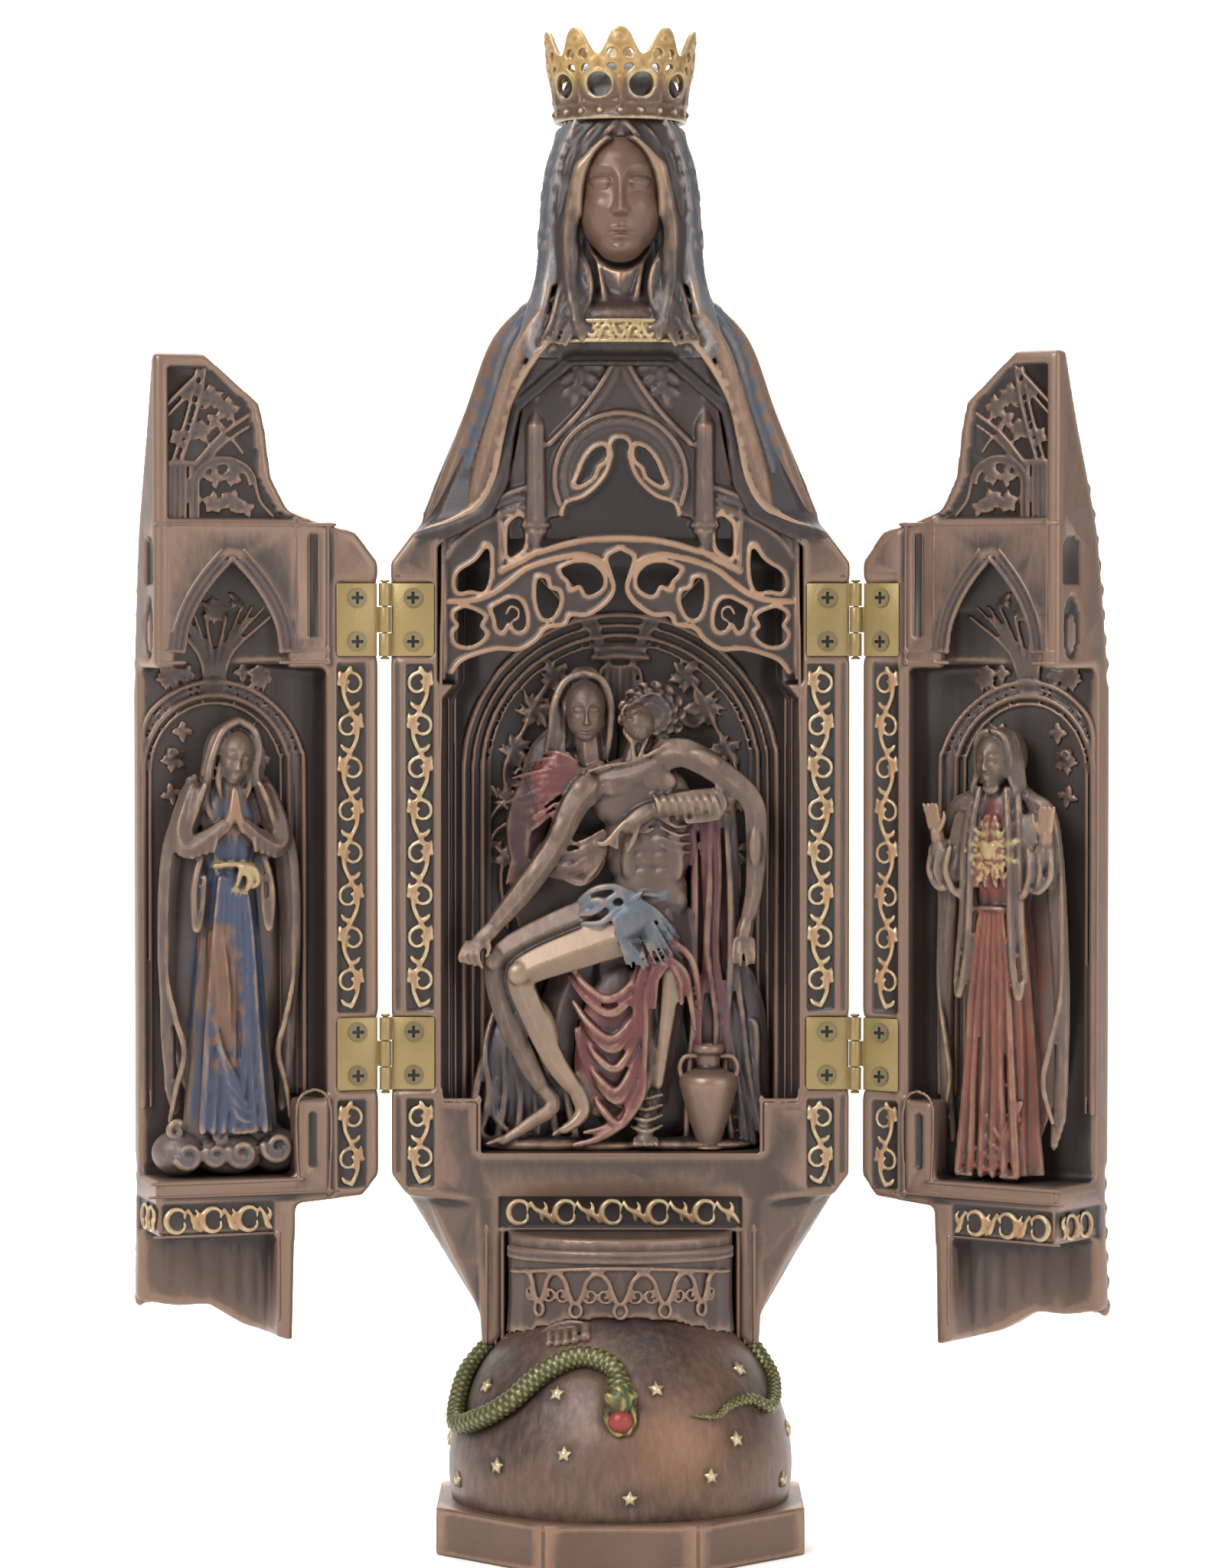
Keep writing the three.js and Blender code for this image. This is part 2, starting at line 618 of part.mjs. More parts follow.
// Canopy: pierced tracery below, an open pointed arch, a gable, two hanging pinnacles and a leafy panel

function canopyBar(points, halfWidth, yNear, yFar) {
  const pieces = [];
  for (let row = 1; row < points.length; row++) {
    const [x1, z1] = points[row - 1];
    const [x2, z2] = points[row];
    const length = Math.hypot(x2 - x1, z2 - z1);
    const [dx, dz] = [((x2 - x1) / length) * halfWidth, ((z2 - z1) / length) * halfWidth];
    pieces.push(prism(shapeOf([
      [x1 - dx - dz, z1 - dz + dx], [x1 - dx + dz, z1 - dz - dx],
      [x2 + dx + dz, z2 + dz - dx], [x2 + dx - dz, z2 + dz + dx],
    ]), yNear, yFar));
  }
  return joined(pieces);
}

function ovalHole([x, z], [halfWidth, halfHeight], lean = 0) {
  const hole = new THREE.Path();
  hole.absellipse(x, z, halfWidth, halfHeight, 0, 2 * Math.PI, true, lean);
  return hole;
}

function pinnacle(x, y) {
  const rows = [
    [0, 0.757], [1.4, 0.757], [1.8, 0.77], [2.6, 0.776], [3.1, 0.784], [3.1, 0.795], [2.4, 0.8], [2.3, 0.81],
    [2.2, 0.925], [0, 0.958],
  ];
  return turned(rows.map(([radius, share]) => [radius, panelZ(share)]), [x, y], 6);
}

function canopy() {
  const near = CANOPY_SET_BACK;
  const far = near + CANOPY_THICKNESS;
  const k = CANOPY_HALF_WIDTH / CANOPY_DRAWN;
  const at = ([x, share]) => [x * k, panelZ(share)];
  const underside = [
    [34, 0.608], [31.6, 0.615], [27.3, 0.635], [15.9, 0.663], [11.9, 0.67], [10.1, 0.69], [5, 0.69], [1.2, 0.714],
    [1.6, 0.745], [0.001, 0.76],
  ].map(at);
  const shoulder = canopyOutline(CANOPY_GAP);
  const archTop = [[18.5, 0.84], [16.3, 0.86], [12, 0.895], [6, 0.92], [0.001, 0.928]].map(at);
  const frame = shapeOf(withMirror([...underside].reverse().concat(shoulder.slice(0, 3), archTop)));
  const opening = [
    [0.001, 0.782], [10, 0.776], [15, 0.766], [20.5, 0.75], [21.3, 0.79], [18, 0.812], [12.5, 0.822], [12, 0.845],
    [10, 0.877], [6, 0.895], [0.001, 0.902],
  ].map(at);
  const holes = [[-28, 0.748, 3.6, 3.6], [-28.6, 0.668, 3.2, 3.4], [-21.3, 0.694, 3.4, 4.6], [-14.2, 0.706, 2.6, 4],
    [-7.6, 0.726, 3.6, 2.6]];
  for (const [x, share, wide, high] of holes) {
    for (const side of [-1, 1]) frame.holes.push(ovalHole([side * x * k, panelZ(share)], [wide * k, high * k]));
  }
  const arch = prism(shapeOf(withMirror(opening)), near - 1, far + 1);
  const backing = prism(shapeOf(withMirror(shoulder.slice(2))), far - 1.8, far);
  const gable = canopyBar([[13.8, 0.885], [0, 0.975]].map(at), 0.9 * k, near + 0.4, far);
  const moulding = canopyBar([[33, 0.765], [27, 0.795], [18.6, 0.825]].map(at), 1 * k, near - 0.6, far);
  const leaves = [[4.6, 0.958], [8, 0.945]].map(at);
  const leafy = leaves.map(([x, z]) => lump([x, far - 1.6, z], [2.6 * k, 1.2, 1.8 * k], 5, 3));
  const oneSide = [gable, moulding, pinnacle(16.5 * k, near + 2.5), ...leafy];
  const knob = lump([0, near + 1.4, panelZ(0.897)], [1.7 * k, 1.4, 1.9 * k], 6, 4);
  const room = shapeOf(withMirror([[CANOPY_HALF_WIDTH, panelZ(0.6)], ...shoulder]));
  return prism(frame, near, far, 4)
    .add(backing)
    .subtract(arch)
    .add(joined(oneSide.flatMap(bothSides)))
    .add(knob)
    .intersect(prism(room, FACE_GAP, far + 4));
}


// Doors, drawn closed with u running from the seam out to the hinge

const HEM_CURVE = [[-2, 0.3], [8, 0.24], [14, 0.25], [20, 0.12], [30, 0.02]];
const DOOR_LEVELS = [
  HEM_Z, LOWER_TOP_Z - 1.2, LOWER_TOP_Z, FLOOR_Z,
  ...[0.3, 0.63, 0.748, 0.786, 0.797, 0.811, 0.851, 0.909, 0.94, 1].map(panelZ),
];
const FRONT_POWER = 2.4;
const FRONT_STEPS = 7;

// One level of a door: two square corners on the parting face and a rounded, pleated front.
function doorRing(z) {
  const edge = readTable(PARTING_TABLE, z);
  const front = readTable(DOOR_FRONT_TABLE, z);
  const side = Math.min(DOOR_EDGE_DEPTH, front * 0.5);
  const ring = [[SEAM_GAP, -FACE_GAP], [edge, -FACE_GAP]];
  for (let step = 0; step <= FRONT_STEPS; step++) {
    const turn = (step / FRONT_STEPS) * (Math.PI / 2);
    const inward = step % 2 === 1 && step < FRONT_STEPS ? PLEAT_DEPTH * (front / DOOR_DEPTH) : 0;
    const u = (edge - SEAM_GAP) * Math.cos(turn) ** (2 / FRONT_POWER) + SEAM_GAP;
    ring.push([u, -side - (front - inward - side) * Math.sin(turn) ** (2 / FRONT_POWER)]);
  }
  return ring.map(([u, y]) => new THREE.Vector3(u, y, z));
}

// The hollow of a door at one height: open to the body and to the other door.
function doorHollowRing(z, edge, shrink) {
  const front = readTable(DOOR_FRONT_TABLE, z) - DOOR_WALL - PLEAT_DEPTH - shrink;
  const side = DOOR_EDGE_DEPTH - shrink;
  const open = shrink > 0 ? -GAP : 1;
  const seam = shrink > 0 ? SEAM_GAP : -1;
  const ring = [[seam, open], [edge - shrink, open]];
  for (let step = 0; step <= FRONT_STEPS; step++) {
    const turn = (step / FRONT_STEPS) * (Math.PI / 2);
    const u = Math.max((edge - shrink) * Math.cos(turn) ** (2 / FRONT_POWER), seam + 0.01);
    ring.push([u, -side - (front - side) * Math.sin(turn) ** (2 / FRONT_POWER)]);
  }
  ring[ring.length - 1][0] = seam;
  return ring.map(([u, y]) => new THREE.Vector3(u, y, z));
}

function doorNiche(shrink = 0) {
  const edge = BODY_HALF_WIDTH - 10.2;
  const rows = [[FLOOR_Z + shrink, edge], [panelZ(0.62), edge], [panelZ(0.626), edge - 6.5], [panelZ(0.69), edge - 7],
    [panelZ(0.755), edge - 16]];
  return loft(rows.map(([z, reach]) => doorHollowRing(z - (z > panelZ(0.7) ? shrink : 0), reach, shrink)));
}

// The arched front of a door's canopy: what closes the niche above its figure.
function doorCanopyFront() {
  const arch = [[4.2, 0.61], [4.2, 0.64], [6, 0.68], [10, 0.726], [15.2, 0.756], [20.4, 0.726], [24.4, 0.68],
    [26.2, 0.64], [26.2, 0.61]];
  const outline = [[SEAM_GAP, 0.62], [BODY_HALF_WIDTH - 9, 0.62], [BODY_HALF_WIDTH - 9, 0.79], [SEAM_GAP, 0.79]];
  const at = (rows) => rows.map(([u, share]) => [u, panelZ(share)]);
  const opening = prism(shapeOf(at(arch)), -DOOR_DEPTH, 1);
  return prism(shapeOf(at(outline)), -FACE_GAP - 2.5, -FACE_GAP).subtract(opening);
}

// The closed side of a door's canopy, which meets the other door at the seam.
function doorCanopySide() {
  const plate = block([SEAM_GAP, DOOR_WALL], [-DOOR_DEPTH, -FACE_GAP], [panelZ(0.62), panelZ(0.79)]);
  return plate.intersect(loft(DOOR_LEVELS.map(doorRing)));
}

function skirtHollow() {
  const top = HEM_Z + 0.77 * LOWER_HEIGHT;
  return loft([HEM_Z - 2, top].map((z) => doorHollowRing(z, LOWER_HALF_WIDTH - DOOR_WALL, 0)));
}

// What hangs below the wavy hem, which the outline cuts away.
function belowHem() {
  const hem = HEM_CURVE.map(([u, share]) => [u, HEM_Z + share * LOWER_HEIGHT]);
  return prism(shapeOf([[-2, HEM_Z - 2], [30, HEM_Z - 2], ...hem.reverse()]), -DOOR_SKIRT_DEPTH - 2, 2);
}

// The square step that stands in the outer corner of a door's floor.
function doorStep(extra) {
  const across = [BODY_HALF_WIDTH - 16.5 - extra, BODY_HALF_WIDTH - 9.5];
  return block(across, [-6 - extra, extra > 0 ? 1 : -FACE_GAP], [FLOOR_Z - 1, FLOOR_Z + 15 + extra]);
}

// A door for the side x > 0, closed.
function doorShell() {
  const border = stroke([[1.2, -DOOR_DEPTH - 0.2, panelZ(0.02)], [1.2, -DOOR_DEPTH - 0.2, panelZ(0.6)]], [1, 1],
    { steps: 1, sides: 6 });
  return loft(DOOR_LEVELS.map(doorRing))
    .add(border.subtract(block([-2, SEAM_GAP], [-40, 0], [0, PANEL_TOP_Z])))
    .subtract(doorNiche())
    .add(joined([doorCanopyFront(), doorCanopySide(), doorStep(0)]))
    .subtract(skirtHollow())
    .subtract(belowHem());
}

// Figures in the doors, drawn for the side x > 0: u out from the seam, y, and height above the door floor

function figureTools(height, drawnHeight) {
  const k = height / drawnHeight;
  const place = ([u, y, up]) => [u, y, FLOOR_Z + GAP + up * k];
  return {
    limb: (path, radii, options) => stroke(path.map(place), radii.map((radius) => radius * k), options),
    ball: (middle, sizes, around, down) => lump(place(middle), sizes.map((size) => size * k), around, down),
    gown: (u, y, rows, sides, pleat) => loft(rows.map(([up, wide, deep], row) => {
      const ring = [];
      for (let side = 0; side < sides; side++) {
        const turn = (2 * Math.PI * side) / sides;
        const fold = 1 - (side % 2) * pleat * (1 - row / rows.length);
        const [x, depth, z] = place([u + wide * fold * Math.cos(turn), y + deep * fold * Math.sin(turn), up]);
        ring.push(new THREE.Vector3(x, depth, z));
      }
      return ring;
    })),
  };
}

// A veiled lady at prayer on a bank of clouds.
function ladyFigure() {
  const { limb, ball, gown } = figureTools(LADY_HEIGHT, LADY_DRAWN);
  const clouds = [
    [[6, -7, 4.4], [5.2, 5, 4.6]], [[16, -6, 4], [6.6, 4.6, 4.2]], [[25.4, -7, 4.2], [4.8, 4.8, 4.4]],
  ].map(([middle, sizes]) => ball(middle, sizes, 6, 4));
  return joined([
    ...clouds,
    gown(16, -8, [[6, 10.5, 5.4], [25, 8.2, 4.8], [45, 6, 4.2], [58, 4.8, 3.6], [66, 6.6, 4], [71, 6.4, 3.6],
      [75, 2.6, 2.4]], 12, 0.16),
    gown(16, -11.2, [[9, 12.6, 3], [38, 12.6, 3], [60, 10, 3.2], [72, 7, 3.6], [84, 4.6, 3.6]], 8, 0),
    limb([[9.5, -8, 72], [5, -7, 58], [3.6, -8, 40], [4.6, -8.4, 14]], [2.4, 2.6, 1.8, 1.4], { steps: 3, sides: 4 }),
    limb([[22, -8, 72], [27, -7, 58], [28.2, -8, 40], [26.6, -8.4, 12]], [2.4, 2.6, 1.8, 1.4], { steps: 3, sides: 4 }),
    limb([[8.6, -7, 58], [12.4, -4.4, 60], [15.8, -2.9, 66]], [2.4, 2, 1.2], { steps: 2 }),
    limb([[23.4, -7, 58], [19.6, -4.4, 60], [16.2, -2.9, 66]], [2.4, 2, 1.2], { steps: 2 }),
    limb([[16, -2.9, 63], [16, -3, 72]], [1.6, 0.6], { steps: 1, sides: 4, depthShare: 0.6 }),
    ball([17.2, -6.8, 80], [3.5, 4, 4.8]),
    ball([17, -9.2, 81], [5.6, 4.4, 6]),
  ]);
}

// A bearded figure in a long robe with both hands raised and a heart on the breast.
function robedFigure() {
  const { limb, ball, gown } = figureTools(ROBED_HEIGHT, ROBED_DRAWN);
  const u = 17;
  const eachSide = [-1, 1].flatMap((side) => [
    limb([[u + side * 4, -9, 72], [u + side * 9, -8, 66], [u + side * 10.5, -7, 56], [u + side * 12.4, -8, 36],
      [u + side * 12.8, -8.6, 8]], [2.6, 3, 2.8, 2, 1.6], { steps: 4, sides: 4 }),
    limb([[u + side * 7, -8, 68], [u + side * 9.5, -7, 56], [u + side * 11.8, -4.6, 64]], [2.8, 2.6, 2.2], { steps: 2 }),
    limb([[u + side * 11.8, -4.6, 63], [u + side * 13, -3.6, 71]], [1.6, 1], { steps: 1, sides: 4, depthShare: 0.7 }),
    limb([[u + side * 4, -6, 1.4], [u + side * 4.6, -2.6, 1.2]], [1.8, 1], { steps: 1 }),
  ]);
  return joined([
    gown(u, -8, [[0, 9.6, 5.2], [25, 8.2, 4.8], [50, 5.8, 4.2], [62, 6.6, 4.4], [70, 7.4, 4], [74, 2.6, 2.4]], 12, 0.14),
    gown(u, -11.4, [[6, 13.4, 2.8], [40, 12.4, 2.8], [62, 9.4, 3], [73, 5, 2.8]], 8, 0),
    ...eachSide,
    limb([[u, -3.6, 64.5], [u, -3.6, 59.5]], [2, 0.8], { steps: 1, depthShare: 0.7 }),
    ball([u, -6.8, 78.6], [3.6, 4.2, 5.2]),
    ball([u, -8.8, 79], [5, 4, 5.8]),
  ]);
}

// A figure trimmed to the room in its door's niche.
function inDoorNiche(figure) {
  return withoutBubbles(figure.intersect(doorNiche(GAP)).subtract(doorStep(GAP)));
}


// The seated mother with her dead son across her lap, in deep relief, and a small jar beside her

function pietaStrokes(place, k) {
  const limb = (path, radii, options) => stroke(path.map(place), radii.map((radius) => radius * k), options);
  const ball = (middle, sizes) => lump(place(middle), sizes.map((size) => size * k), 6, 4);
  const seat = [[0, 21, 7], [24, 23.5, 6.5], [43, 23, 5.6], [60, 18, 5], [76, 12, 4.4], [88, 6, 3.4]];
  const mantle = loft(seat.map(([up, wide, deep]) => {
    return Array.from({ length: 10 }, (_, side) => {
      const turn = (2 * Math.PI * side) / 10;
      const fold = side % 2 === 0 ? 1 : 0.9;
      return new THREE.Vector3(...place([-2 + wide * fold * Math.cos(turn), 12 + deep * fold * Math.sin(turn), up]));
    });
  }));
  const swags = [0, 1, 2].map((row) => {
    const [top, wide] = [33 - 8 * row, 9.5 - 1.4 * row];
    return limb([[-wide, 5.6, top], [-0.5, 4, top - 7], [wide - 1, 5.6, top]], [1.3, 2.1, 1.3], { steps: 2, sides: 4 });
  });
  const mother = [
    ball([-7.6, 9.5, 84.5], [6.2, 4.8, 8]),
    ball([-7.2, 6.6, 83], [3.5, 3.6, 4.8]),
    ball([-5, 10.5, 68], [12, 5.6, 12]),
    limb([[-11, 7, 75], [-17.5, 6.5, 65], [-13, 5, 58], [-5.6, 4, 56.5]], [4, 4.8, 3.6, 2.2], { steps: 3 }),
    limb([[13, 9, 71], [20, 7, 67], [12, 4.4, 67], [5, 3.6, 66]], [3.4, 3.4, 2.8, 2], { steps: 3 }),
    ball([2.4, 3.4, 63.2], [2.4, 1.2, 2.6]),
    limb([[6, 9, 47], [9.5, 5.4, 36], [7.6, 6.4, 21], [4, 6.6, 4]], [6, 5.4, 3.8, 2.4], { steps: 3 }),
    limb([[4, 7, 3.4], [4, 3.6, 1.6]], [2, 1.3], { steps: 1 }),
    limb([[16, 10, 66], [22, 10, 45], [22.5, 9, 22], [20, 9, 4]], [3.6, 4.4, 4, 4], { steps: 3, sides: 4 }),
  ];
  const son = [
    ball([4.3, 6.6, 83.8], [4.3, 4.2, 4.9]),
    limb([[4, 7.4, 80.5], [1.6, 7, 74.5]], [2.8, 2.8], { steps: 1 }),
    limb([[1.2, 6.6, 74], [1.6, 5, 67], [4.6, 5.4, 57], [7.5, 6, 48]], [6.6, 7.4, 5.8, 6.6], { steps: 3, sides: 6, depthShare: 0.7 }),
    limb([[-5.5, 6, 72.5], [-12.2, 4.8, 58.6], [-23.9, 4.6, 43.6], [-28.2, 5.4, 39.6]], [3.4, 2.7, 2.3, 1.8], { steps: 3 }),
    limb([[6, 7, 75.5], [15.5, 7, 76], [26, 6.6, 67], [25.5, 6, 50], [25.8, 6, 42]], [3.2, 3, 2.6, 2.2, 1.5],
      { steps: 5 }),
    limb([[6, 5, 45.5], [-6, 4, 39.6], [-19.5, 3.6, 35], [-10.6, 5.4, 18], [-8.8, 6.6, 9]], [5, 4.6, 4, 3.1, 2]),
    limb([[-8.6, 7, 8.6], [-12.6, 4.6, 3.4]], [2, 1.2], { steps: 1 }),
    limb([[-4, 7.6, 45], [-15, 7, 41], [-24, 6.4, 37.6], [-18, 8, 20], [-15.4, 8.4, 10.5]], [4.6, 4.2, 3.9, 3, 2]),
    limb([[-15, 8.4, 9], [-20, 6, 4.4], [-24, 4.6, 1.4]], [2.1, 1.7, 1.2], { steps: 2 }),
    ball([4.5, 4.8, 44], [9, 4, 6.6]),
  ];
  return [mantle, ...swags, ...mother, ...son];
}

function jar(place, k) {
  const profile = [[0, 0.5], [2.6, 0.5], [2.4, 2], [5.7, 12.6], [4.4, 15.4], [2.2, 16.4], [2.2, 18], [2.9, 19], [2.9, 20.2],
    [0, 20.2]];
  const [x, y] = place([17.1, 6.6, 0]);
  return turned(profile.map(([radius, up]) => [radius * k, place([0, 0, up])[2]]), [x, y], 7);
}

function pieta() {
  const k = PIETA_HEIGHT / PIETA_DRAWN;
  const place = ([x, y, up]) => [x * k, y * k, NICHE_FLOOR_Z + GAP + up * k];
  const front = block([-BODY_HALF_WIDTH, BODY_HALF_WIDTH], [GAP * 2, NICHE_DEPTH], [NICHE_FLOOR_Z, PANEL_TOP_Z]);
  const room = nicheHollow(GAP).intersect(front);
  return withoutBubbles(joined([...pietaStrokes(place, k), jar(place, k)]).intersect(room));
}

// Hinges: two leaves that fold about one pin, held by crosshead screws

const LEAF_INNER = HINGE_X - KNUCKLE_RADIUS - LEAF_GAP - LEAF_WIDTH;
const LEAF_FACE_Y = SCREW_HEAD_HEIGHT + FACE_GAP;
const LEAF_BACK_Y = LEAF_FACE_Y + LEAF_THICKNESS;
const SCREW_X = LEAF_INNER + LEAF_WIDTH / 2;
const PIN_HEAD_HEIGHT = 0.5;
const KNUCKLE_SHARES = [0, 0.32, 0.68, 1];

function upright(radius, [x, y], [low, high], sides = 6) {
  return turned([[0, low], [radius, low], [radius, high], [0, high]], [x, y], sides);
}

// A square hole that a screw's shank clears all round.
function screwHole([near, far], z) {
  const corner = (SCREW_SHANK_RADIUS + LEAF_GAP) * Math.SQRT2;
  const rod = new THREE.CylinderGeometry(corner, corner, far - near, 4);
  return solidOf(rod.translate(SCREW_X, (near + far) / 2, z));
}

// The recess, the pilot holes and the swing room of one leaf; y runs into the body or the door.
function leafBed(middleZ) {
  const tall = LEAF_HEIGHT / 2 + LEAF_GAP;
  const swing = tall + PIN_HEAD_HEIGHT + LEAF_GAP;
  const bed = block([LEAF_INNER - LEAF_GAP, HINGE_X], [-1, LEAF_BACK_Y + LEAF_GAP], [middleZ - tall, middleZ + tall]);
  const knuckle = block([HINGE_X - KNUCKLE_RADIUS - LEAF_GAP, HINGE_X], [-1, KNUCKLE_RADIUS + LEAF_GAP],
    [middleZ - swing, middleZ + swing]);
  const holes = [-1, 1].map((side) => {
    return screwHole([0, SCREW_LENGTH + 1], middleZ + side * SCREW_SPREAD);
  });
  return joined([bed, knuckle, ...holes]);
}

// A leaf with its share of the knuckles: the outer two on the body's leaf, the middle one on the door's.
function leaf(middleZ, onBody) {
  const low = middleZ - LEAF_HEIGHT / 2;
  const at = (share) => low + share * LEAF_HEIGHT;
  const plate = block([LEAF_INNER, LEAF_INNER + LEAF_WIDTH], [LEAF_FACE_Y, LEAF_BACK_Y], [at(0), at(1)]);
  const spans = onBody ? [[0, 1], [2, 3]] : [[1, 2]];
  const knuckles = spans.map(([from, to]) => {
    const start = at(KNUCKLE_SHARES[from]) + (from === 0 ? 0 : LEAF_GAP / 2);
    const end = at(KNUCKLE_SHARES[to]) - (to === 3 ? 0 : LEAF_GAP / 2);
    const web = block([LEAF_INNER + LEAF_WIDTH - 0.5, HINGE_X], [LEAF_FACE_Y, KNUCKLE_RADIUS - 0.05], [start, end]);
    return web.add(upright(KNUCKLE_RADIUS, [HINGE_X, 0], [start, end], 6));
  });
  const bore = upright(PIN_RADIUS + PIN_GAP, [HINGE_X, 0], [low - 1, low + LEAF_HEIGHT + 1], 5);
  const holes = [-1, 1].map((side) => {
    return screwHole([-1, LEAF_BACK_Y + 1], middleZ + side * SCREW_SPREAD);
  });
  return joined([plate, ...knuckles]).subtract(joined([bore, ...holes]));
}

function pin(middleZ) {
  const reach = LEAF_HEIGHT / 2 + FACE_GAP;
  const head = PIN_RADIUS + PIN_GAP + 0.15;
  const top = middleZ + reach;
  const foot = middleZ - reach;
  return turned([
    [0, foot - PIN_HEAD_HEIGHT], [head, foot - PIN_HEAD_HEIGHT], [head, foot], [PIN_RADIUS, foot],
    [PIN_RADIUS, top], [head, top], [head, top + PIN_HEAD_HEIGHT], [0, top + PIN_HEAD_HEIGHT],
  ], [HINGE_X, 0], 5);
}

// A screw with a low domed head; y runs from the head into the wood or resin.
function screw(z) {
  const neck = LEAF_FACE_Y - FACE_GAP / 2;
  const profile = [[0, FACE_GAP * 0.4], [SCREW_HEAD_RADIUS, FACE_GAP], [SCREW_HEAD_RADIUS, neck],
    [SCREW_SHANK_RADIUS, neck], [0, SCREW_LENGTH + 0.6]];
  const geometry = new THREE.LatheGeometry(profile.map(([radius, y]) => new THREE.Vector2(radius, y)), 6);
  return rightWayOut(geometry.translate(SCREW_X, 0, z));
}

function acrossFace(solid) {
  return rightWayOut(geometryOf(solid).toNonIndexed().scale(1, -1, 1));
}

// Colours and finishes

function finish(colour, roughness, metalness) {
  return new THREE.MeshStandardMaterial({ color: colour, roughness, metalness });
}
const bronze = finish(0x7a5f54, 0.45, 0.6);
const bareGlobe = finish(0x86685a, 0.45, 0.6);
const gold = finish(0xd9b878, 0.35, 0.8);
const brass = finish(0xa07f3c, 0.35, 0.9);
const steel = finish(0x8d8574, 0.4, 0.9);

// The whole altarpiece, with both doors at rest as they stand open

function addMesh(group, name, solid, material) {
  const mesh = new THREE.Mesh(geometryOf(solid), material);
  mesh.name = name;
  group.add(mesh);
}

const HEIGHT_NAMES = ['lower', 'upper'];
const altarpiece = new THREE.Group();
const bodyBeds = HINGE_HEIGHTS.map(leafBed);

addMesh(altarpiece, 'globe_base', globeBase(), bareGlobe);
addMesh(altarpiece, 'body', fixedBody().subtract(joined(bodyBeds.flatMap(bothSides))), bronze);
addMesh(altarpiece, 'crown', crown(), gold);
addMesh(altarpiece, 'canopy', canopy(), bronze);
addMesh(altarpiece, 'pieta', pieta(), bronze);

for (const [sideName, side, opening, figure] of [
  ['left', -1, LEFT_REST_OPENING, ladyFigure()],
  ['right', 1, RIGHT_REST_OPENING, robedFigure()],
]) {
  const onSide = (solid) => (side > 0 ? solid : mirrored(solid));
  const door = new THREE.Group();
  door.position.x = side * HINGE_X;
  door.rotation.z = side * THREE.MathUtils.degToRad(opening);
  altarpiece.add(door);
  const onDoor = (name, solid, material) => {
    addMesh(door, name, onSide(solid).translate([-side * HINGE_X, 0, 0]), material);
  };
  const doorBeds = bodyBeds.map(acrossFace);
  onDoor(`door_${sideName}`, doorShell().subtract(joined(doorBeds)), bronze);
  onDoor(`figure_${sideName}`, inDoorNiche(figure), bronze);
  HINGE_HEIGHTS.forEach((height, index) => {
    const label = `${HEIGHT_NAMES[index]}_${sideName}`;
    addMesh(altarpiece, `body_leaf_${label}`, onSide(leaf(height, true)), brass);
    addMesh(altarpiece, `pin_${label}`, onSide(pin(height)), brass);
    onDoor(`door_leaf_${label}`, acrossFace(leaf(height, false)), brass);
    [-1, 1].forEach((end, which) => {
      const made = screw(height + end * SCREW_SPREAD);
      addMesh(altarpiece, `body_screw_${label}_${which + 1}`, onSide(made), steel);
      onDoor(`door_screw_${label}_${which + 1}`, acrossFace(made), steel);
    });
  });
}

export default altarpiece;
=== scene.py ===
# An opening Madonna in cold-cast bronze resin: a crowned figure on a half globe, whose body is a shrine
# with two hinged doors. Sizes are in millimetres from the middle of the underside, x right, y back, z up.
import math

import bmesh
import bpy
import numpy as np
from mathutils import Matrix, Vector


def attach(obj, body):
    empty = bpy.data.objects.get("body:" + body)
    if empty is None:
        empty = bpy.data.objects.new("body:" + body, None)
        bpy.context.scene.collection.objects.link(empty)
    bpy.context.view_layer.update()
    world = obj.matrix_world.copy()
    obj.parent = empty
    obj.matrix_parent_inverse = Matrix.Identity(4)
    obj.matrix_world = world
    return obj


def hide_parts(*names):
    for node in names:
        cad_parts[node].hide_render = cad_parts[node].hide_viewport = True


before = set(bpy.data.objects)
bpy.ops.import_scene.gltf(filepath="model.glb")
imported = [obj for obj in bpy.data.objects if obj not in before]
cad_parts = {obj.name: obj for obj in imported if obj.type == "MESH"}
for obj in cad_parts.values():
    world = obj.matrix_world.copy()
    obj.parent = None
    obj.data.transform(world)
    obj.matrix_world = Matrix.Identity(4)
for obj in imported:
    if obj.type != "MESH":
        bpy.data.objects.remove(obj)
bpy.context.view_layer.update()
MM = 0.001


# Plinth: a low octagonal block of cast resin under the globe, one flat side facing the front.
# Its rims are rubbed to a lighter copper by handling.
PLINTH_ACROSS_FLATS = 70
PLINTH_HEIGHT = 9.1
PLINTH_RIM = 0.55
FEW_POINTS = 9000
KEPT_FACES = 0.38


def tint(code):
    """A colour written as #rrggbb, in the linear values that shaders read."""
    parts = [int(code[i : i + 2], 16) / 255 for i in (1, 3, 5)]
    return [c / 12.92 if c <= 0.04045 else ((c + 0.055) / 1.055) ** 2.4 for c in parts] + [1.0]


def mesh_object(name, mesh):
    piece = bpy.data.objects.new(name, mesh)
    bpy.context.collection.objects.link(piece)
    return piece


def cast(bm, name):
    """The piece of a mesh that was modelled in millimetres."""
    bmesh.ops.transform(bm, matrix=Matrix.Scale(MM, 4), verts=bm.verts)
    mesh = bpy.data.meshes.new(name)
    bm.to_mesh(mesh)
    bm.free()
    mesh.shade_smooth()
    return mesh_object(name, mesh)


def worked(piece, *tools):
    """The piece with these modifiers applied; each tool is (kind, settings)."""
    for kind, settings in tools:
        tool = piece.modifiers.new(kind, kind)
        for setting, value in settings.items():
            setattr(tool, setting, value)
    mesh = bpy.data.meshes.new_from_object(piece.evaluated_get(bpy.context.evaluated_depsgraph_get()))
    piece.modifiers.clear()
    piece.data = mesh
    mesh.shade_smooth()
    return piece


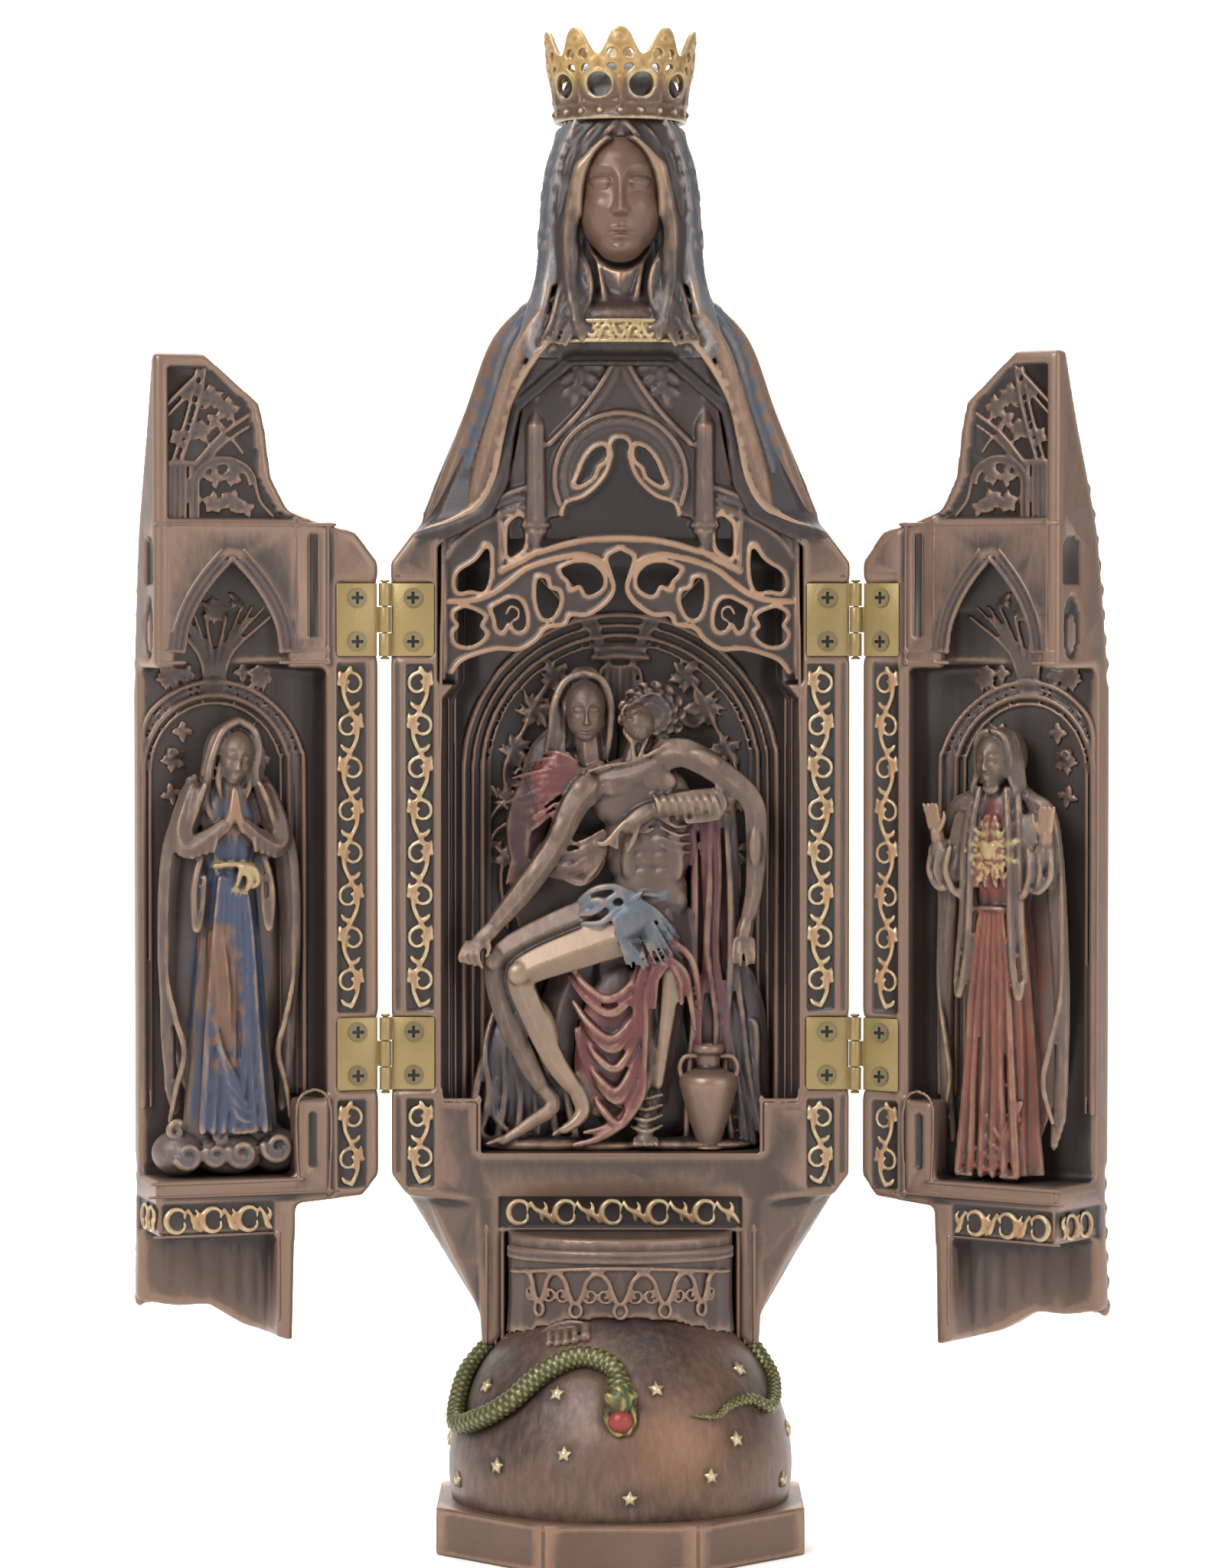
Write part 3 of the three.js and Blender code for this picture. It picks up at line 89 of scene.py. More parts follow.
def one_skin(piece, voxel, smooth):
    """The piece's overlapping shapes pressed into one skin, and its marks smoothed away."""
    return worked(piece, ("REMESH", {"mode": "VOXEL", "voxel_size": voxel * MM, "adaptivity": 0}),
                  ("SMOOTH", {"factor": 0.5, "iterations": smooth}))


def thinned(piece, share):
    """The piece with only this share of its faces, fewest where it is smooth."""
    return worked(piece, ("DECIMATE", {"ratio": share, "use_collapse_triangulate": True}))


def spots_of(mesh):
    """A mesh's points in the unit that it was drawn in."""
    flat = np.empty(3 * len(mesh.vertices), "f")
    mesh.vertices.foreach_get("co", flat)
    return flat.reshape(-1, 3).astype(float)


def places_of(piece):
    """A finished piece's points in millimetres."""
    return spots_of(piece.data) / MM


def normals_of(piece):
    flat = np.empty(3 * len(piece.data.vertices), "f")
    piece.data.vertex_normals.foreach_get("vector", flat)
    return flat.reshape(-1, 3).astype(float)


def set_places(piece, places):
    piece.data.vertices.foreach_set("co", (np.asarray(places) * MM).astype("f").ravel())
    piece.data.update()


def eased(value, low, high):
    """0 below low, 1 above high, smooth between."""
    share = np.clip((value - low) / (high - low), 0, 1)
    return share * share * (3 - 2 * share)


def smoothed(places, edges, rounds):
    """The places drawn towards their neighbours' again and again."""
    a, b = edges
    size = len(places)
    degree = np.maximum(np.bincount(a, minlength=size) + np.bincount(b, minlength=size), 1)[:, None]
    for _ in range(rounds):
        sums = [np.bincount(a, places[b, k], size) + np.bincount(b, places[a, k], size) for k in range(3)]
        places = 0.25 * places + 0.75 * np.stack(sums, 1) / degree
    return places


def mark(piece, paint, reach, broad, keep=1):
    """Two attributes for the finish: the paint at each point, and how far it stands out of its surroundings,
    as a share of reach. A piece of many points is thinned once it is marked."""
    mesh = piece.data
    places = places_of(piece)
    edges = np.empty(2 * len(mesh.edges), "i")
    mesh.edges.foreach_get("vertices", edges)
    edges = edges.reshape(-1, 2).T
    near = smoothed(places, edges, 2)
    far = smoothed(near, edges, broad)
    normals = normals_of(piece)
    fine = ((places - near) * normals).sum(1)
    wide = ((near - far) * normals).sum(1)
    relief = np.clip(fine / (0.25 * reach) * 0.6 + wide / reach, -1, 1) * keep
    mesh.attributes.new("relief", "FLOAT", "POINT").data.foreach_set("value", relief.astype("f"))
    colours = np.ones((len(places), 4))
    colours[:] = tint(paint) if isinstance(paint, str) else paint
    mesh.attributes.new("paint", "FLOAT_COLOR", "POINT").data.foreach_set("color", colours.astype("f").ravel())
    return thinned(piece, KEPT_FACES) if len(places) > FEW_POINTS else piece


def mixed(first, second, share):
    """Paint at each point: from the first colour to the second as share goes from 0 to 1."""
    share = np.clip(share, 0, 1)[:, None]
    return np.asarray(first) * (1 - share) + np.asarray(second) * share


def new_group(name, inputs, outputs):
    group = bpy.data.node_groups.new(name, "ShaderNodeTree")
    for kind, way in ((inputs, "INPUT"), (outputs, "OUTPUT")):
        for label, socket in kind:
            group.interface.new_socket(name=label, in_out=way, socket_type="NodeSocket" + socket)
    return group, group.nodes.new("NodeGroupInput"), group.nodes.new("NodeGroupOutput")


def add_node(tree, kind, settings=None, **values):
    """A shader node; settings are its properties, and values are its sockets, by name with _ for a space."""
    made = tree.nodes.new("ShaderNode" + kind)
    for name, value in (settings or {}).items():
        setattr(made, name, value)
    for name, value in values.items():
        key = int(name[1:]) if name[0] == "n" and name[1:].isdigit() else name.replace("_", " ")
        if isinstance(value, bpy.types.NodeSocket):
            tree.links.new(value, made.inputs[key])
        else:
            made.inputs[key].default_value = value
    return made


def ramp(tree, value, low, high):
    """0 to 1 while value runs from low to high."""
    made = add_node(tree, "MapRange", {"interpolation_type": "SMOOTHSTEP"}, Value=value, From_Min=low,
                    From_Max=high)
    return made.outputs[0]


def blended(tree, share, first, second, kind="MIX"):
    made = add_node(tree, "Mix", {"data_type": "RGBA", "blend_type": kind}, n0=share, n6=first, n7=second)
    return made.outputs[2]


def maths(tree, operation, first, second):
    return add_node(tree, "Math", {"operation": operation}, n0=first, n1=second).outputs[0]


# The patina that all the cast pieces share: a dark wash in the hollows, paint between, and a dry brush
# of bright metal over what stands out, all broken up by brush marks and stains.
PAINT_STRENGTH = 0.46
patina_group, patina_in, patina_out = new_group(
    "patina",
    [("Paint", "Color"), ("Relief", "Float"), ("Dark", "Color"), ("Bright", "Color"), ("Brushed", "Float"),
     ("Gloss", "Float")],
    [("Color", "Color"), ("Roughness", "Float"), ("Metal", "Float"), ("Height", "Float")],
)
tree = patina_group
coords = add_node(tree, "TexCoord").outputs["Object"]
stain = add_node(tree, "TexNoise", Vector=coords, Scale=55.0, Detail=4.0, Roughness=0.6).outputs["Fac"]
brush_scale = add_node(tree, "Mapping", Vector=coords, Scale=(700, 700, 260)).outputs[0]
brush = add_node(tree, "TexNoise", Vector=brush_scale, Scale=1.0, Detail=3.0, Roughness=0.65).outputs["Fac"]
grain = add_node(tree, "TexNoise", Vector=coords, Scale=2600.0, Detail=2.0, Roughness=0.6).outputs["Fac"]
stained = blended(tree, ramp(tree, stain, 0.35, 0.7), patina_in.outputs["Dark"], patina_in.outputs["Paint"])
body_tone = blended(tree, 0.72, stained, patina_in.outputs["Paint"])
hollow = ramp(tree, patina_in.outputs["Relief"], -0.02, -0.55)
washed = blended(tree, maths(tree, "MULTIPLY", hollow, 0.9), body_tone, patina_in.outputs["Dark"])
rub_and_highlight = maths(tree, "ADD", patina_in.outputs["Relief"], maths(tree, "MULTIPLY", brush, 0.7))
rubbed_mask = ramp(tree, maths(tree, "SUBTRACT", rub_and_highlight, 0.35), 0.12, 0.95)
bright_share = maths(tree, "MULTIPLY", rubbed_mask, patina_in.outputs["Brushed"])
metal_tone = blended(tree, bright_share, washed, patina_in.outputs["Bright"])
toned = blended(tree, 1.0, metal_tone, (*[PAINT_STRENGTH] * 3, 1), "MULTIPLY")
tree.links.new(toned, patina_out.inputs["Color"])
rough = maths(tree, "SUBTRACT", maths(tree, "MULTIPLY", stain, 0.22), maths(tree, "MULTIPLY", bright_share, 0.08))
tree.links.new(maths(tree, "ADD", rough, patina_in.outputs["Gloss"]), patina_out.inputs["Roughness"])
tree.links.new(maths(tree, "ADD", maths(tree, "MULTIPLY", bright_share, 0.35), 0.22), patina_out.inputs["Metal"])
tree.links.new(maths(tree, "ADD", maths(tree, "MULTIPLY", grain, 0.5), brush), patina_out.inputs["Height"])


def patina(name, dark, bright, brushed=0.75, gloss=0.34, bump=0.12):
    """A cast and painted finish: the paint and the relief come from the piece's own attributes."""
    material = bpy.data.materials.new(name)
    material.use_nodes = True
    tree = material.node_tree
    shader = tree.nodes["Principled BSDF"]
    paint = add_node(tree, "Attribute", {"attribute_name": "paint"}).outputs["Color"]
    relief = add_node(tree, "Attribute", {"attribute_name": "relief"}).outputs["Fac"]
    group = add_node(tree, "Group", {"node_tree": patina_group}, Paint=paint, Relief=relief, Dark=tint(dark),
                     Bright=tint(bright), Brushed=brushed, Gloss=gloss)
    height = add_node(tree, "Bump", Strength=bump, Distance=0.0004, Height=group.outputs["Height"])
    for output, socket in (("Color", "Base Color"), ("Roughness", "Roughness"), ("Metal", "Metallic")):
        tree.links.new(group.outputs[output], shader.inputs[socket])
    tree.links.new(height.outputs[0], shader.inputs["Normal"])
    return material


def placed(piece, body, material, slot, *nodes):
    """Gives a finished piece its material, its body and the plain solids that it stands for; the slot is not
    used.
    """
    piece.data.materials.clear()
    piece.data.materials.append(material)
    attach(piece, body)
    if nodes:
        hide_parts(*nodes)
    return piece


globe_bronze = patina("globe_bronze", "#41332d", "#d0a488", brushed=0.7)

bm = bmesh.new()
corner = PLINTH_ACROSS_FLATS / 2 / math.cos(math.pi / 8)
middle = Matrix.Translation((0, 0, PLINTH_HEIGHT / 2)) @ Matrix.Rotation(math.pi / 8, 4, "Z")
bmesh.ops.create_cone(bm, cap_ends=True, segments=8, radius1=corner, radius2=corner, depth=PLINTH_HEIGHT,
                      matrix=middle)
bmesh.ops.bevel(bm, geom=bm.edges[:], offset=PLINTH_RIM, segments=3, profile=0.5, affect="EDGES", material=-1)
bmesh.ops.subdivide_edges(bm, edges=bm.edges[:], cuts=7, use_grid_fill=True)
plinth = mark(cast(bm, "plinth"), "#8a6a5a", reach=0.12, broad=6)
placed(plinth, "shrine", globe_bronze, "globe_resin", "globe_base")


# Globe: the upper part of a ball cast in one with the plinth, with small stars, a serpent that lies over
# it from one side to the other with an apple in its mouth, and the toes that tread on it.
GLOBE_RADIUS = 33
GLOBE_CENTRE_Z = PLINTH_HEIGHT + 6.4
STAR_RADIUS = 1.75
STAR_WAIST = 0.48
STAR_POINTS = 5
STAR_PLACES = [
    (-63, 30), (-25, 31), (14, 33), (59, 37), (43, 14), (-19, 11), (-45, 5), (-70, -3), (3, -3), (31, 3),
    (70, -3), (84, 12), (-90, 8), (118, 20), (150, 8), (176, 26), (-150, 22), (-120, 4), (-165, -2), (136, -4),
]
SERPENT_CHIN = (0, 24)
SERPENT_RADIUS = 2.0
SCALE_PITCH = 4.4
SERPENT_TRUNK = [(-100, 46), (-88, 30), (-72, 16), (-56, 19), (-43, 26), (-31, 38), (-17, 44), (-3, 40), (0, 31)]
SERPENT_TAIL = [(100, 46), (92, 38), (83, 29), (66, 22), (54, 26), (42, 25), (35, 22), (26, 23)]


def on_globe(place, lift=0.0):
    """A point over the globe from its bearing from the front and its height angle, in degrees."""
    bearing, rise = (math.radians(angle) for angle in place)
    reach = GLOBE_RADIUS + lift
    across = reach * math.cos(rise)
    return np.array([across * math.sin(bearing), -across * math.cos(bearing),
                     GLOBE_CENTRE_Z + reach * math.sin(rise)])


def flowing(rows, samples=6):
    """Rows of numbers along a smooth line through the given ones."""
    q = np.array(rows, float)
    if len(q) == 2:
        return q[0] + (q[1] - q[0]) * np.linspace(0, 1, samples + 1)[:, None]
    q = np.vstack([2 * q[0] - q[1], q, 2 * q[-1] - q[-2]])
    share = (np.arange(samples) / samples)[:, None]
    spans = []
    for a, b, c, d in zip(q, q[1:], q[2:], q[3:]):
        spans.append(0.5 * (2 * b + (c - a) * share + (2 * a - 5 * b + 4 * c - d) * share**2
                            + (3 * b - a - 3 * c + d) * share**3))
    return np.vstack(spans + [q[-2:-1]])


def rods(name, strokes, roundness):
    """Round rods along smooth lines; each stroke's rows are x, y, z and radius."""
    curve = bpy.data.curves.new(name, "CURVE")
    curve.dimensions = "3D"
    curve.bevel_depth = MM
    curve.bevel_resolution = roundness
    curve.use_fill_caps = True
    for stroke in strokes:
        line = flowing(stroke)
        spline = curve.splines.new("POLY")
        spline.points.add(len(line) - 1)
        spots = np.ones((len(line), 4))
        spots[:, :3] = line[:, :3] * MM
        spline.points.foreach_set("co", spots.ravel())
        spline.points.foreach_set("radius", np.maximum(line[:, 3], 0.03))
    holder = bpy.data.objects.new(name, curve)
    mesh = bpy.data.meshes.new_from_object(holder)
    bpy.data.objects.remove(holder)
    bpy.data.curves.remove(curve)
    mesh.shade_smooth()
    return mesh


def rounded(stroke):
    """The same stroke with its two ends drawn in, so that they aren't cut off square."""
    rows = np.array(stroke, float)
    first, last = rows[0].copy(), rows[-1].copy()
    for end, inner in ((first, rows[1]), (last, rows[-2])):
        way = end[:3] - inner[:3]
        end[:3] += way / max(np.linalg.norm(way), 1e-6) * end[3] * 0.7
        end[3] *= 0.35
    return np.vstack([first, rows, last])


def clay(name, strokes, lumps, voxel, smooth, roundness=2, extra=()):
    """Rods, lumps and other closed meshes pressed into one skin. A lump is a centre, three half sizes and
    an optional turn about x, y and z in degrees."""
    bm = bmesh.new()
    if len(strokes):
        bm.from_mesh(rods(name, [rounded(stroke) for stroke in strokes], roundness))
        bmesh.ops.transform(bm, matrix=Matrix.Scale(1 / MM, 4), verts=bm.verts)
    for centre, half, *turn in lumps:
        place = Matrix.Translation(centre)
        if turn:
            for angle, axis in zip(turn[0], "XYZ"):
                place = place @ Matrix.Rotation(math.radians(angle), 4, axis)
        place = place @ Matrix.Diagonal((*half, 1))
        bmesh.ops.create_icosphere(bm, subdivisions=3, radius=1, matrix=place)
    for mesh in extra:
        bm.from_mesh(mesh)
    return one_skin(cast(bm, name), voxel, smooth)


def nearest_gap(places, line):
    """How far each place is from the nearest point of a line."""
    return np.min(np.linalg.norm(places[:, None] - line[None], axis=2), axis=1)


bm = bmesh.new()
bmesh.ops.create_uvsphere(bm, u_segments=160, v_segments=110, radius=GLOBE_RADIUS,
                          matrix=Matrix.Translation((0, 0, GLOBE_CENTRE_Z)))
everything = bm.verts[:] + bm.edges[:] + bm.faces[:]
cut = bmesh.ops.bisect_plane(bm, geom=everything, plane_co=(0, 0, PLINTH_HEIGHT - 1), plane_no=(0, 0, 1),
                             clear_inner=True)
bmesh.ops.holes_fill(bm, edges=[e for e in bm.edges if e.is_boundary], sides=0)
globe = cast(bm, "globe")
places = places_of(globe)
dents = np.zeros(len(places))
for place in STAR_PLACES:
    away = np.linalg.norm(places - on_globe(place), axis=1)
    dents += 0.28 * np.exp(-((away / (1.25 * STAR_RADIUS)) ** 4))
serpent_bed = flowing([on_globe(place) for place in [*SERPENT_TRUNK, SERPENT_CHIN]], 8)
chin_away = np.linalg.norm(places - on_globe(SERPENT_CHIN), axis=1)
dents += 0.5 * np.exp(-((nearest_gap(places, serpent_bed) / 3.0) ** 4)) + 0.5 * np.exp(-((chin_away / 3.4) ** 4))
out = normals_of(globe)
set_places(globe, places - out * dents[:, None] * (places[:, 2] > PLINTH_HEIGHT)[:, None])
x, y, z = places.T
cloud = np.sin(0.16 * x + 1.3 * np.sin(0.13 * z + 0.9)) + np.sin(0.19 * z - 0.11 * x + 1.1 * np.sin(0.17 * y))
stain = mixed(tint("#6f554a"), tint("#3d302e"), eased(cloud, -0.4, 1.4))
# Painted highlight: a warm orange patch on the front of the globe, right of the middle, over the stains.
painted_highlight = np.exp(-(((x - 11) / 10) ** 2 + ((z - 22) / 9) ** 2)) * (y < 0)
stain = mixed(stain, tint("#a8734b"), 0.85 * painted_highlight)
placed(mark(globe, stain, reach=0.25, broad=20, keep=0.35), "shrine", globe_bronze, "globe_resin", "globe_base")

gilt = patina("gilt", "#6a4b26", "#ffe9bd", brushed=0.85, gloss=0.26)
bm = bmesh.new()
for place in STAR_PLACES:
    foot, tip = Vector(on_globe(place, -0.6)), Vector(on_globe(place, 0.75))
    out = (tip - foot).normalized()
    turn = out.to_track_quat("Z", "Y").to_matrix().to_4x4()
    ring = bmesh.ops.create_circle(bm, segments=2 * STAR_POINTS, radius=STAR_RADIUS,
                                   matrix=Matrix.Translation(foot) @ turn)["verts"]
    for vert in ring[1::2]:
        vert.co = foot + (vert.co - foot) * STAR_WAIST
    floor = bm.faces.new(ring)
    raised = bmesh.ops.extrude_face_region(bm, geom=[floor])["geom"]
    top = [v for v in raised if isinstance(v, bmesh.types.BMVert)]
    bmesh.ops.translate(bm, verts=top, vec=out * 1.0)
    peak = bmesh.ops.poke(bm, faces=[f for f in raised if isinstance(f, bmesh.types.BMFace)])["verts"]
    bmesh.ops.translate(bm, verts=peak, vec=out * 0.35)
    bmesh.ops.scale(bm, verts=top, vec=(0.9, 0.9, 0.9), space=Matrix.Translation(-foot))
bmesh.ops.recalc_face_normals(bm, faces=bm.faces)
stars = cast(bm, "stars")
placed(mark(stars, "#e2c08c", reach=0.5, broad=4), "shrine", gilt, "gilt_resin", "globe_base")

serpent_finish = patina("serpent_finish", "#2f3018", "#c9bd72", brushed=0.8, gloss=0.3)
trunk = flowing([(*on_globe(place, SERPENT_RADIUS * 0.55), SERPENT_RADIUS) for place in SERPENT_TRUNK], 8)
trunk[:, 3] *= np.interp(np.arange(len(trunk)), (0, 8, len(trunk) - 1), (0.85, 1.0, 1.0))
head_rows = [(*on_globe((-1, 35), 1.4), 2.2), (*on_globe((0, 31), 1.8), 2.7), (*on_globe((0, 27.6), 1.9), 2.9),
             (*on_globe((0, 24.8), 1.7), 1.9)]
tail = flowing([(*on_globe(place, SERPENT_RADIUS * 0.4), 1) for place in SERPENT_TAIL], 8)
tail[:, 3] = np.interp(np.arange(len(tail)), (0, len(tail) * 0.5, len(tail) - 1), (1.8, 1.2, 0.35))
brow = [((*on_globe((side * 4.2, 28.4), 3.6),), (0.8, 0.8, 0.8)) for side in (-1, 1)]
jaw = [[(*on_globe((-4.6, 25.6), 1.4), 0.65), (*on_globe((-4.2, 21), 1.0), 0.6),
        (*on_globe((-2, 18.2), 0.8), 0.6), (*on_globe((2, 18.2), 0.8), 0.6),
        (*on_globe((4.2, 21), 1.0), 0.6), (*on_globe((4.6, 25.6), 1.4), 0.65)]]
serpent = clay("serpent", [trunk[::2], head_rows, tail[::2], *jaw], brow, 0.34, 2, roundness=3)
places = places_of(serpent)
spine = np.vstack([trunk[:, :3], tail[:, :3]])
along = np.concatenate([[0], np.cumsum(np.linalg.norm(np.diff(spine, axis=0), axis=1))])
nearest = np.argmin(np.linalg.norm(places[:, None] - spine[None], axis=2), axis=1)
out = places - (0, 0, GLOBE_CENTRE_Z)
out /= np.linalg.norm(out, axis=1)[:, None]
step = np.gradient(spine, axis=0)
step /= np.linalg.norm(step, axis=1)[:, None]
offset = places - spine[nearest]
run = along[nearest] + (offset * step[nearest]).sum(1)
side_way = np.cross(step[nearest], out)
roll = np.arctan2((offset * side_way).sum(1), (offset * out).sum(1))
scales = (0.5 + 0.5 * np.sin(SCALE_PITCH * run + 5 * roll)) * (0.5 + 0.5 * np.sin(SCALE_PITCH * run - 5 * roll))
set_places(serpent, places + normals_of(serpent) * (0.32 * scales - 0.1)[:, None])
paint = mixed(tint("#55572c"), tint("#a79a5e"),
              eased(scales, 0.25, 0.8) * eased((offset * out).sum(1), -0.6, 1.2))
placed(mark(serpent, paint, reach=0.5, broad=8), "shrine", serpent_finish, "globe_resin", "globe_base")

apple_finish = patina("apple_finish", "#5a1f1c", "#d8806a", brushed=0.35, gloss=0.28)
apple = clay("apple", (), [(tuple(on_globe((0, 21.6), 1.5)), (2.4, 2.1, 2.3))], 0.3, 2)
placed(mark(apple, "#b5463c", reach=1.2, broad=10), "shrine", apple_finish, "globe_resin", "globe_base")

toes, toe_tips = [], []
for x, z, size in ((-13.4, 41.4, 0.7), (-11.9, 41.5, 0.74), (-10.3, 41.8, 0.78), (-8.6, 42.2, 0.84),
                   (-6.6, 42.8, 1.1)):
    y = -math.sqrt((GLOBE_RADIUS + 0.5) ** 2 - x * x - (z - GLOBE_CENTRE_Z) ** 2)
    toes.append([(x, y + 2.2, z + 1.0, 0.9 * size), (x, y + 0.4, z + 0.4, 0.8 * size),
                 (x, y - 0.4, z - 0.5, 0.85 * size)])
    toe_tips.append(((x, y - 0.6, z - 0.7), (1.05 * size, size, 1.15 * size)))
foot_on_globe = clay("treading_toes", toes, toe_tips, 0.3, 2)
placed(mark(foot_on_globe, "#80695e", reach=0.4, broad=12), "shrine", globe_bronze, "globe_resin", "globe_base")


# Body: the hollow figure that the doors close, cast in one with its mantle. Its front is the flat rim that
# the doors meet, round a deep niche; behind, the mantle falls in long folds from the shoulders to the hem.
NICHE_HALF_WIDTH = 34.5
HEM_Z = 37.9
NICHE_FLOOR_Z = 74.9
BUST_Z = 227.5
FRONT_DEPTH = 9
STRIP_DEPTH = 0.8
FOLDS_PER_TURN = 15

bronze = patina("bronze", "#342a27", "#b6947e", brushed=0.7)
mantle_finish = patina("mantle_finish", "#3b3436", "#d6b294", brushed=0.75)
face_bronze = patina("face_bronze", "#44312b", "#d9a98c", brushed=0.62, gloss=0.3, bump=0.05)


def plain_copy(node):
    """The plain solid of a node as one closed skin in millimetres."""
    bm = bmesh.new()
    bm.from_mesh(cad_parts[node].data)
    bmesh.ops.transform(bm, matrix=Matrix.Scale(1 / MM, 4), verts=bm.verts)
    bmesh.ops.remove_doubles(bm, verts=bm.verts, dist=0.001)
    return bm


def parted(bm, place, way):
    """Keeps what lies on the side of a plane that way points to, and closes the cut."""
    geom = bm.verts[:] + bm.edges[:] + bm.faces[:]
    bmesh.ops.bisect_plane(bm, geom=geom, plane_co=place, plane_no=way, clear_inner=True)
    rim = [edge for edge in bm.edges if edge.is_boundary]
    bmesh.ops.triangle_fill(bm, use_beauty=True, use_dissolve=False, edges=rim, normal=[-w for w in way])
    return bm


def in_millimetres(piece):
    """The skin of a piece back in millimetres; the piece itself goes."""
    bm = bmesh.new()
    bm.from_mesh(piece.data)
    bmesh.ops.transform(bm, matrix=Matrix.Scale(1 / MM, 4), verts=bm.verts)
    bpy.data.objects.remove(piece)
    return bm


def ridge(away, width):
    """1 on a line and 0 from a width away, rounded like a bead."""
    return np.sqrt(np.clip(1 - (away / width) ** 2, 0, 1))


def within(value, low, high, soft=0.4):
    """1 between low and high, falling to 0 outside over a soft edge."""
    return eased(value, low - soft, low) * (1 - eased(value, high, high + soft))


below_bust = parted(plain_copy("body"), (0, 0, BUST_Z), (0, 0, -1))
fine_body = one_skin(cast(below_bust, "fine_body"), 0.52, 3)
rim_piece = cast(parted(in_millimetres(fine_body), (0, FRONT_DEPTH, 0), (0, -1, 0)), "shrine_front")
places = places_of(rim_piece)
x, y, z = np.abs(places[:, 0]), places[:, 1], places[:, 2]
facing = (normals_of(rim_piece)[:, 1] < -0.6) & (y < 1.6) & (y > -1)
strip_across = eased(x, 35.7, 36.1) * (1 - eased(x, 40.9, 41.3))
long_strip = strip_across * eased(z, 102.2, 102.7) * (1 - eased(z, 168.8, 169.3))
low_strip = strip_across * eased(z, 68.2, 68.7) * (1 - eased(z, 85.2, 85.7))
band_strip = (1 - eased(x, 23.0, 23.4)) * eased(z, 60.0, 60.4) * (1 - eased(z, 66.4, 66.8))
sunk = np.maximum(np.maximum(long_strip, low_strip), band_strip) * facing
side_groove = ridge(x - 42.7, 0.5) * facing * (z > 71) * (z < 186) * 0.25
moved = places.copy()
moved[:, 1] += STRIP_DEPTH * sunk + side_groove
set_places(rim_piece, moved)
rim_paint_and_shade = mixed(tint("#66534c"), tint("#3a2f2d"), sunk)
outer = np.clip(eased(x, 43.0, 44.2) + (z > 190) * eased(y, 1.5, 3), 0, 1) + (z < 66.5) * eased(x, 27.2, 29)
rim_paint_and_shade = mixed(rim_paint_and_shade, tint("#80685b"), outer)
# Painted shade: the niche is painted darker the deeper it goes. Its head round and behind the canopy, with all
# within 36 of the middle above z 197, is painted dark. Both keep only a quarter of their relief.
depth_shade = eased(y, 2, 9) * (x < NICHE_HALF_WIDTH + 0.6) * (z > 69)
rim_paint_and_shade = mixed(rim_paint_and_shade, tint("#40363a"), depth_shade)
slope = 0.6 * (200 - z)
arch = within(z, 187, 240, 3) * (1 - eased(x, 34.5 + slope, 37 + slope)) * (z > 193 - 0.35 * (x < 34.6))
rim_paint_and_shade = mixed(rim_paint_and_shade, tint("#3d3335"), np.maximum(arch, (x < 36) & (z > 197)))
mark(rim_piece, rim_paint_and_shade, reach=0.3, broad=16, keep=1 - 0.75 * np.maximum(arch, depth_shade))
placed(rim_piece, "shrine", bronze, "bronze_resin", "body")

below_bust = parted(plain_copy("body"), (0, 0, BUST_Z), (0, 0, -1))
coarse_body = one_skin(cast(below_bust, "coarse_body"), 0.85, 6)
back_piece = parted(in_millimetres(coarse_body), (0, FRONT_DEPTH, 0), (0, 1, 0))
back_piece = cast(back_piece, "mantle_back")
places = places_of(back_piece)
normals = normals_of(back_piece)
x, y, z = places.T
outward = (x * normals[:, 0] / 44 + (y - 4) * normals[:, 1] / 20) > 0.1
outward &= ~((np.abs(x) < NICHE_HALF_WIDTH + 1) & (y < 19) & (z > NICHE_FLOOR_Z - 2) & (normals[:, 1] < 0.3))
around = np.arctan2(x, y + 6)
fall = eased(z, HEM_Z - 4, 226)
phase = (FOLDS_PER_TURN * around + 1.6 * np.sin(2.3 * around + z / 31)
         + 1.1 * np.sin(z / 47 + 5 * around) * (1 - fall))
deep = (0.5 - 0.5 * np.sin(phase)) ** 1.6 * (1.5 - 0.7 * fall)
cross = np.abs(np.sin(z / 17 + 3.2 * np.abs(around) + 0.7 * np.sin(6 * around)))
deep = deep + 0.55 * (1 - cross) ** 3 * eased(z, 60, 120)
edge_hold = eased(y, FRONT_DEPTH, FRONT_DEPTH + 3.5)
set_places(back_piece, places - normals * (deep * outward * edge_hold * 1.15)[:, None])
cloth = mixed(tint("#5f6b82"), tint("#8a6a58"), 0.5 + 0.5 * np.sin(2.1 * around + z / 55))
# Painted shade: faces that do not turn outwards, the inner walls of the niche among them, are painted dark and
# keep no relief.
cloth = mixed(tint("#3c3230"), cloth, outward.astype(float))
mark(back_piece, cloth, reach=0.6, broad=16, keep=outward)
placed(back_piece, "shrine", mantle_finish, "bronze_resin", "body")


# Bust: shoulders, neck and head, modelled on the top of the body. A veil hangs from under the crown over
# the parted hair and the mantle; the face is a plain calm one in the usual proportions of carving.
HEAD_Z = 258.7
HEAD_FORWARD = -2.3
FACE_CLEARANCE = 3
NECKLINE_Z = 232.4
NECKLINE_HALF = 12.2


def both(rows):
    """A stroke and its mirror image across the middle."""
    return [rows, [(-row[0], *row[1:]) for row in rows]]


def swelling(x, z, middle, width, height):
    """A soft round swelling over a face: 1 in its middle."""
    return np.exp(-(((x - middle[0]) / width) ** 2) - ((z - middle[1]) / height) ** 2)


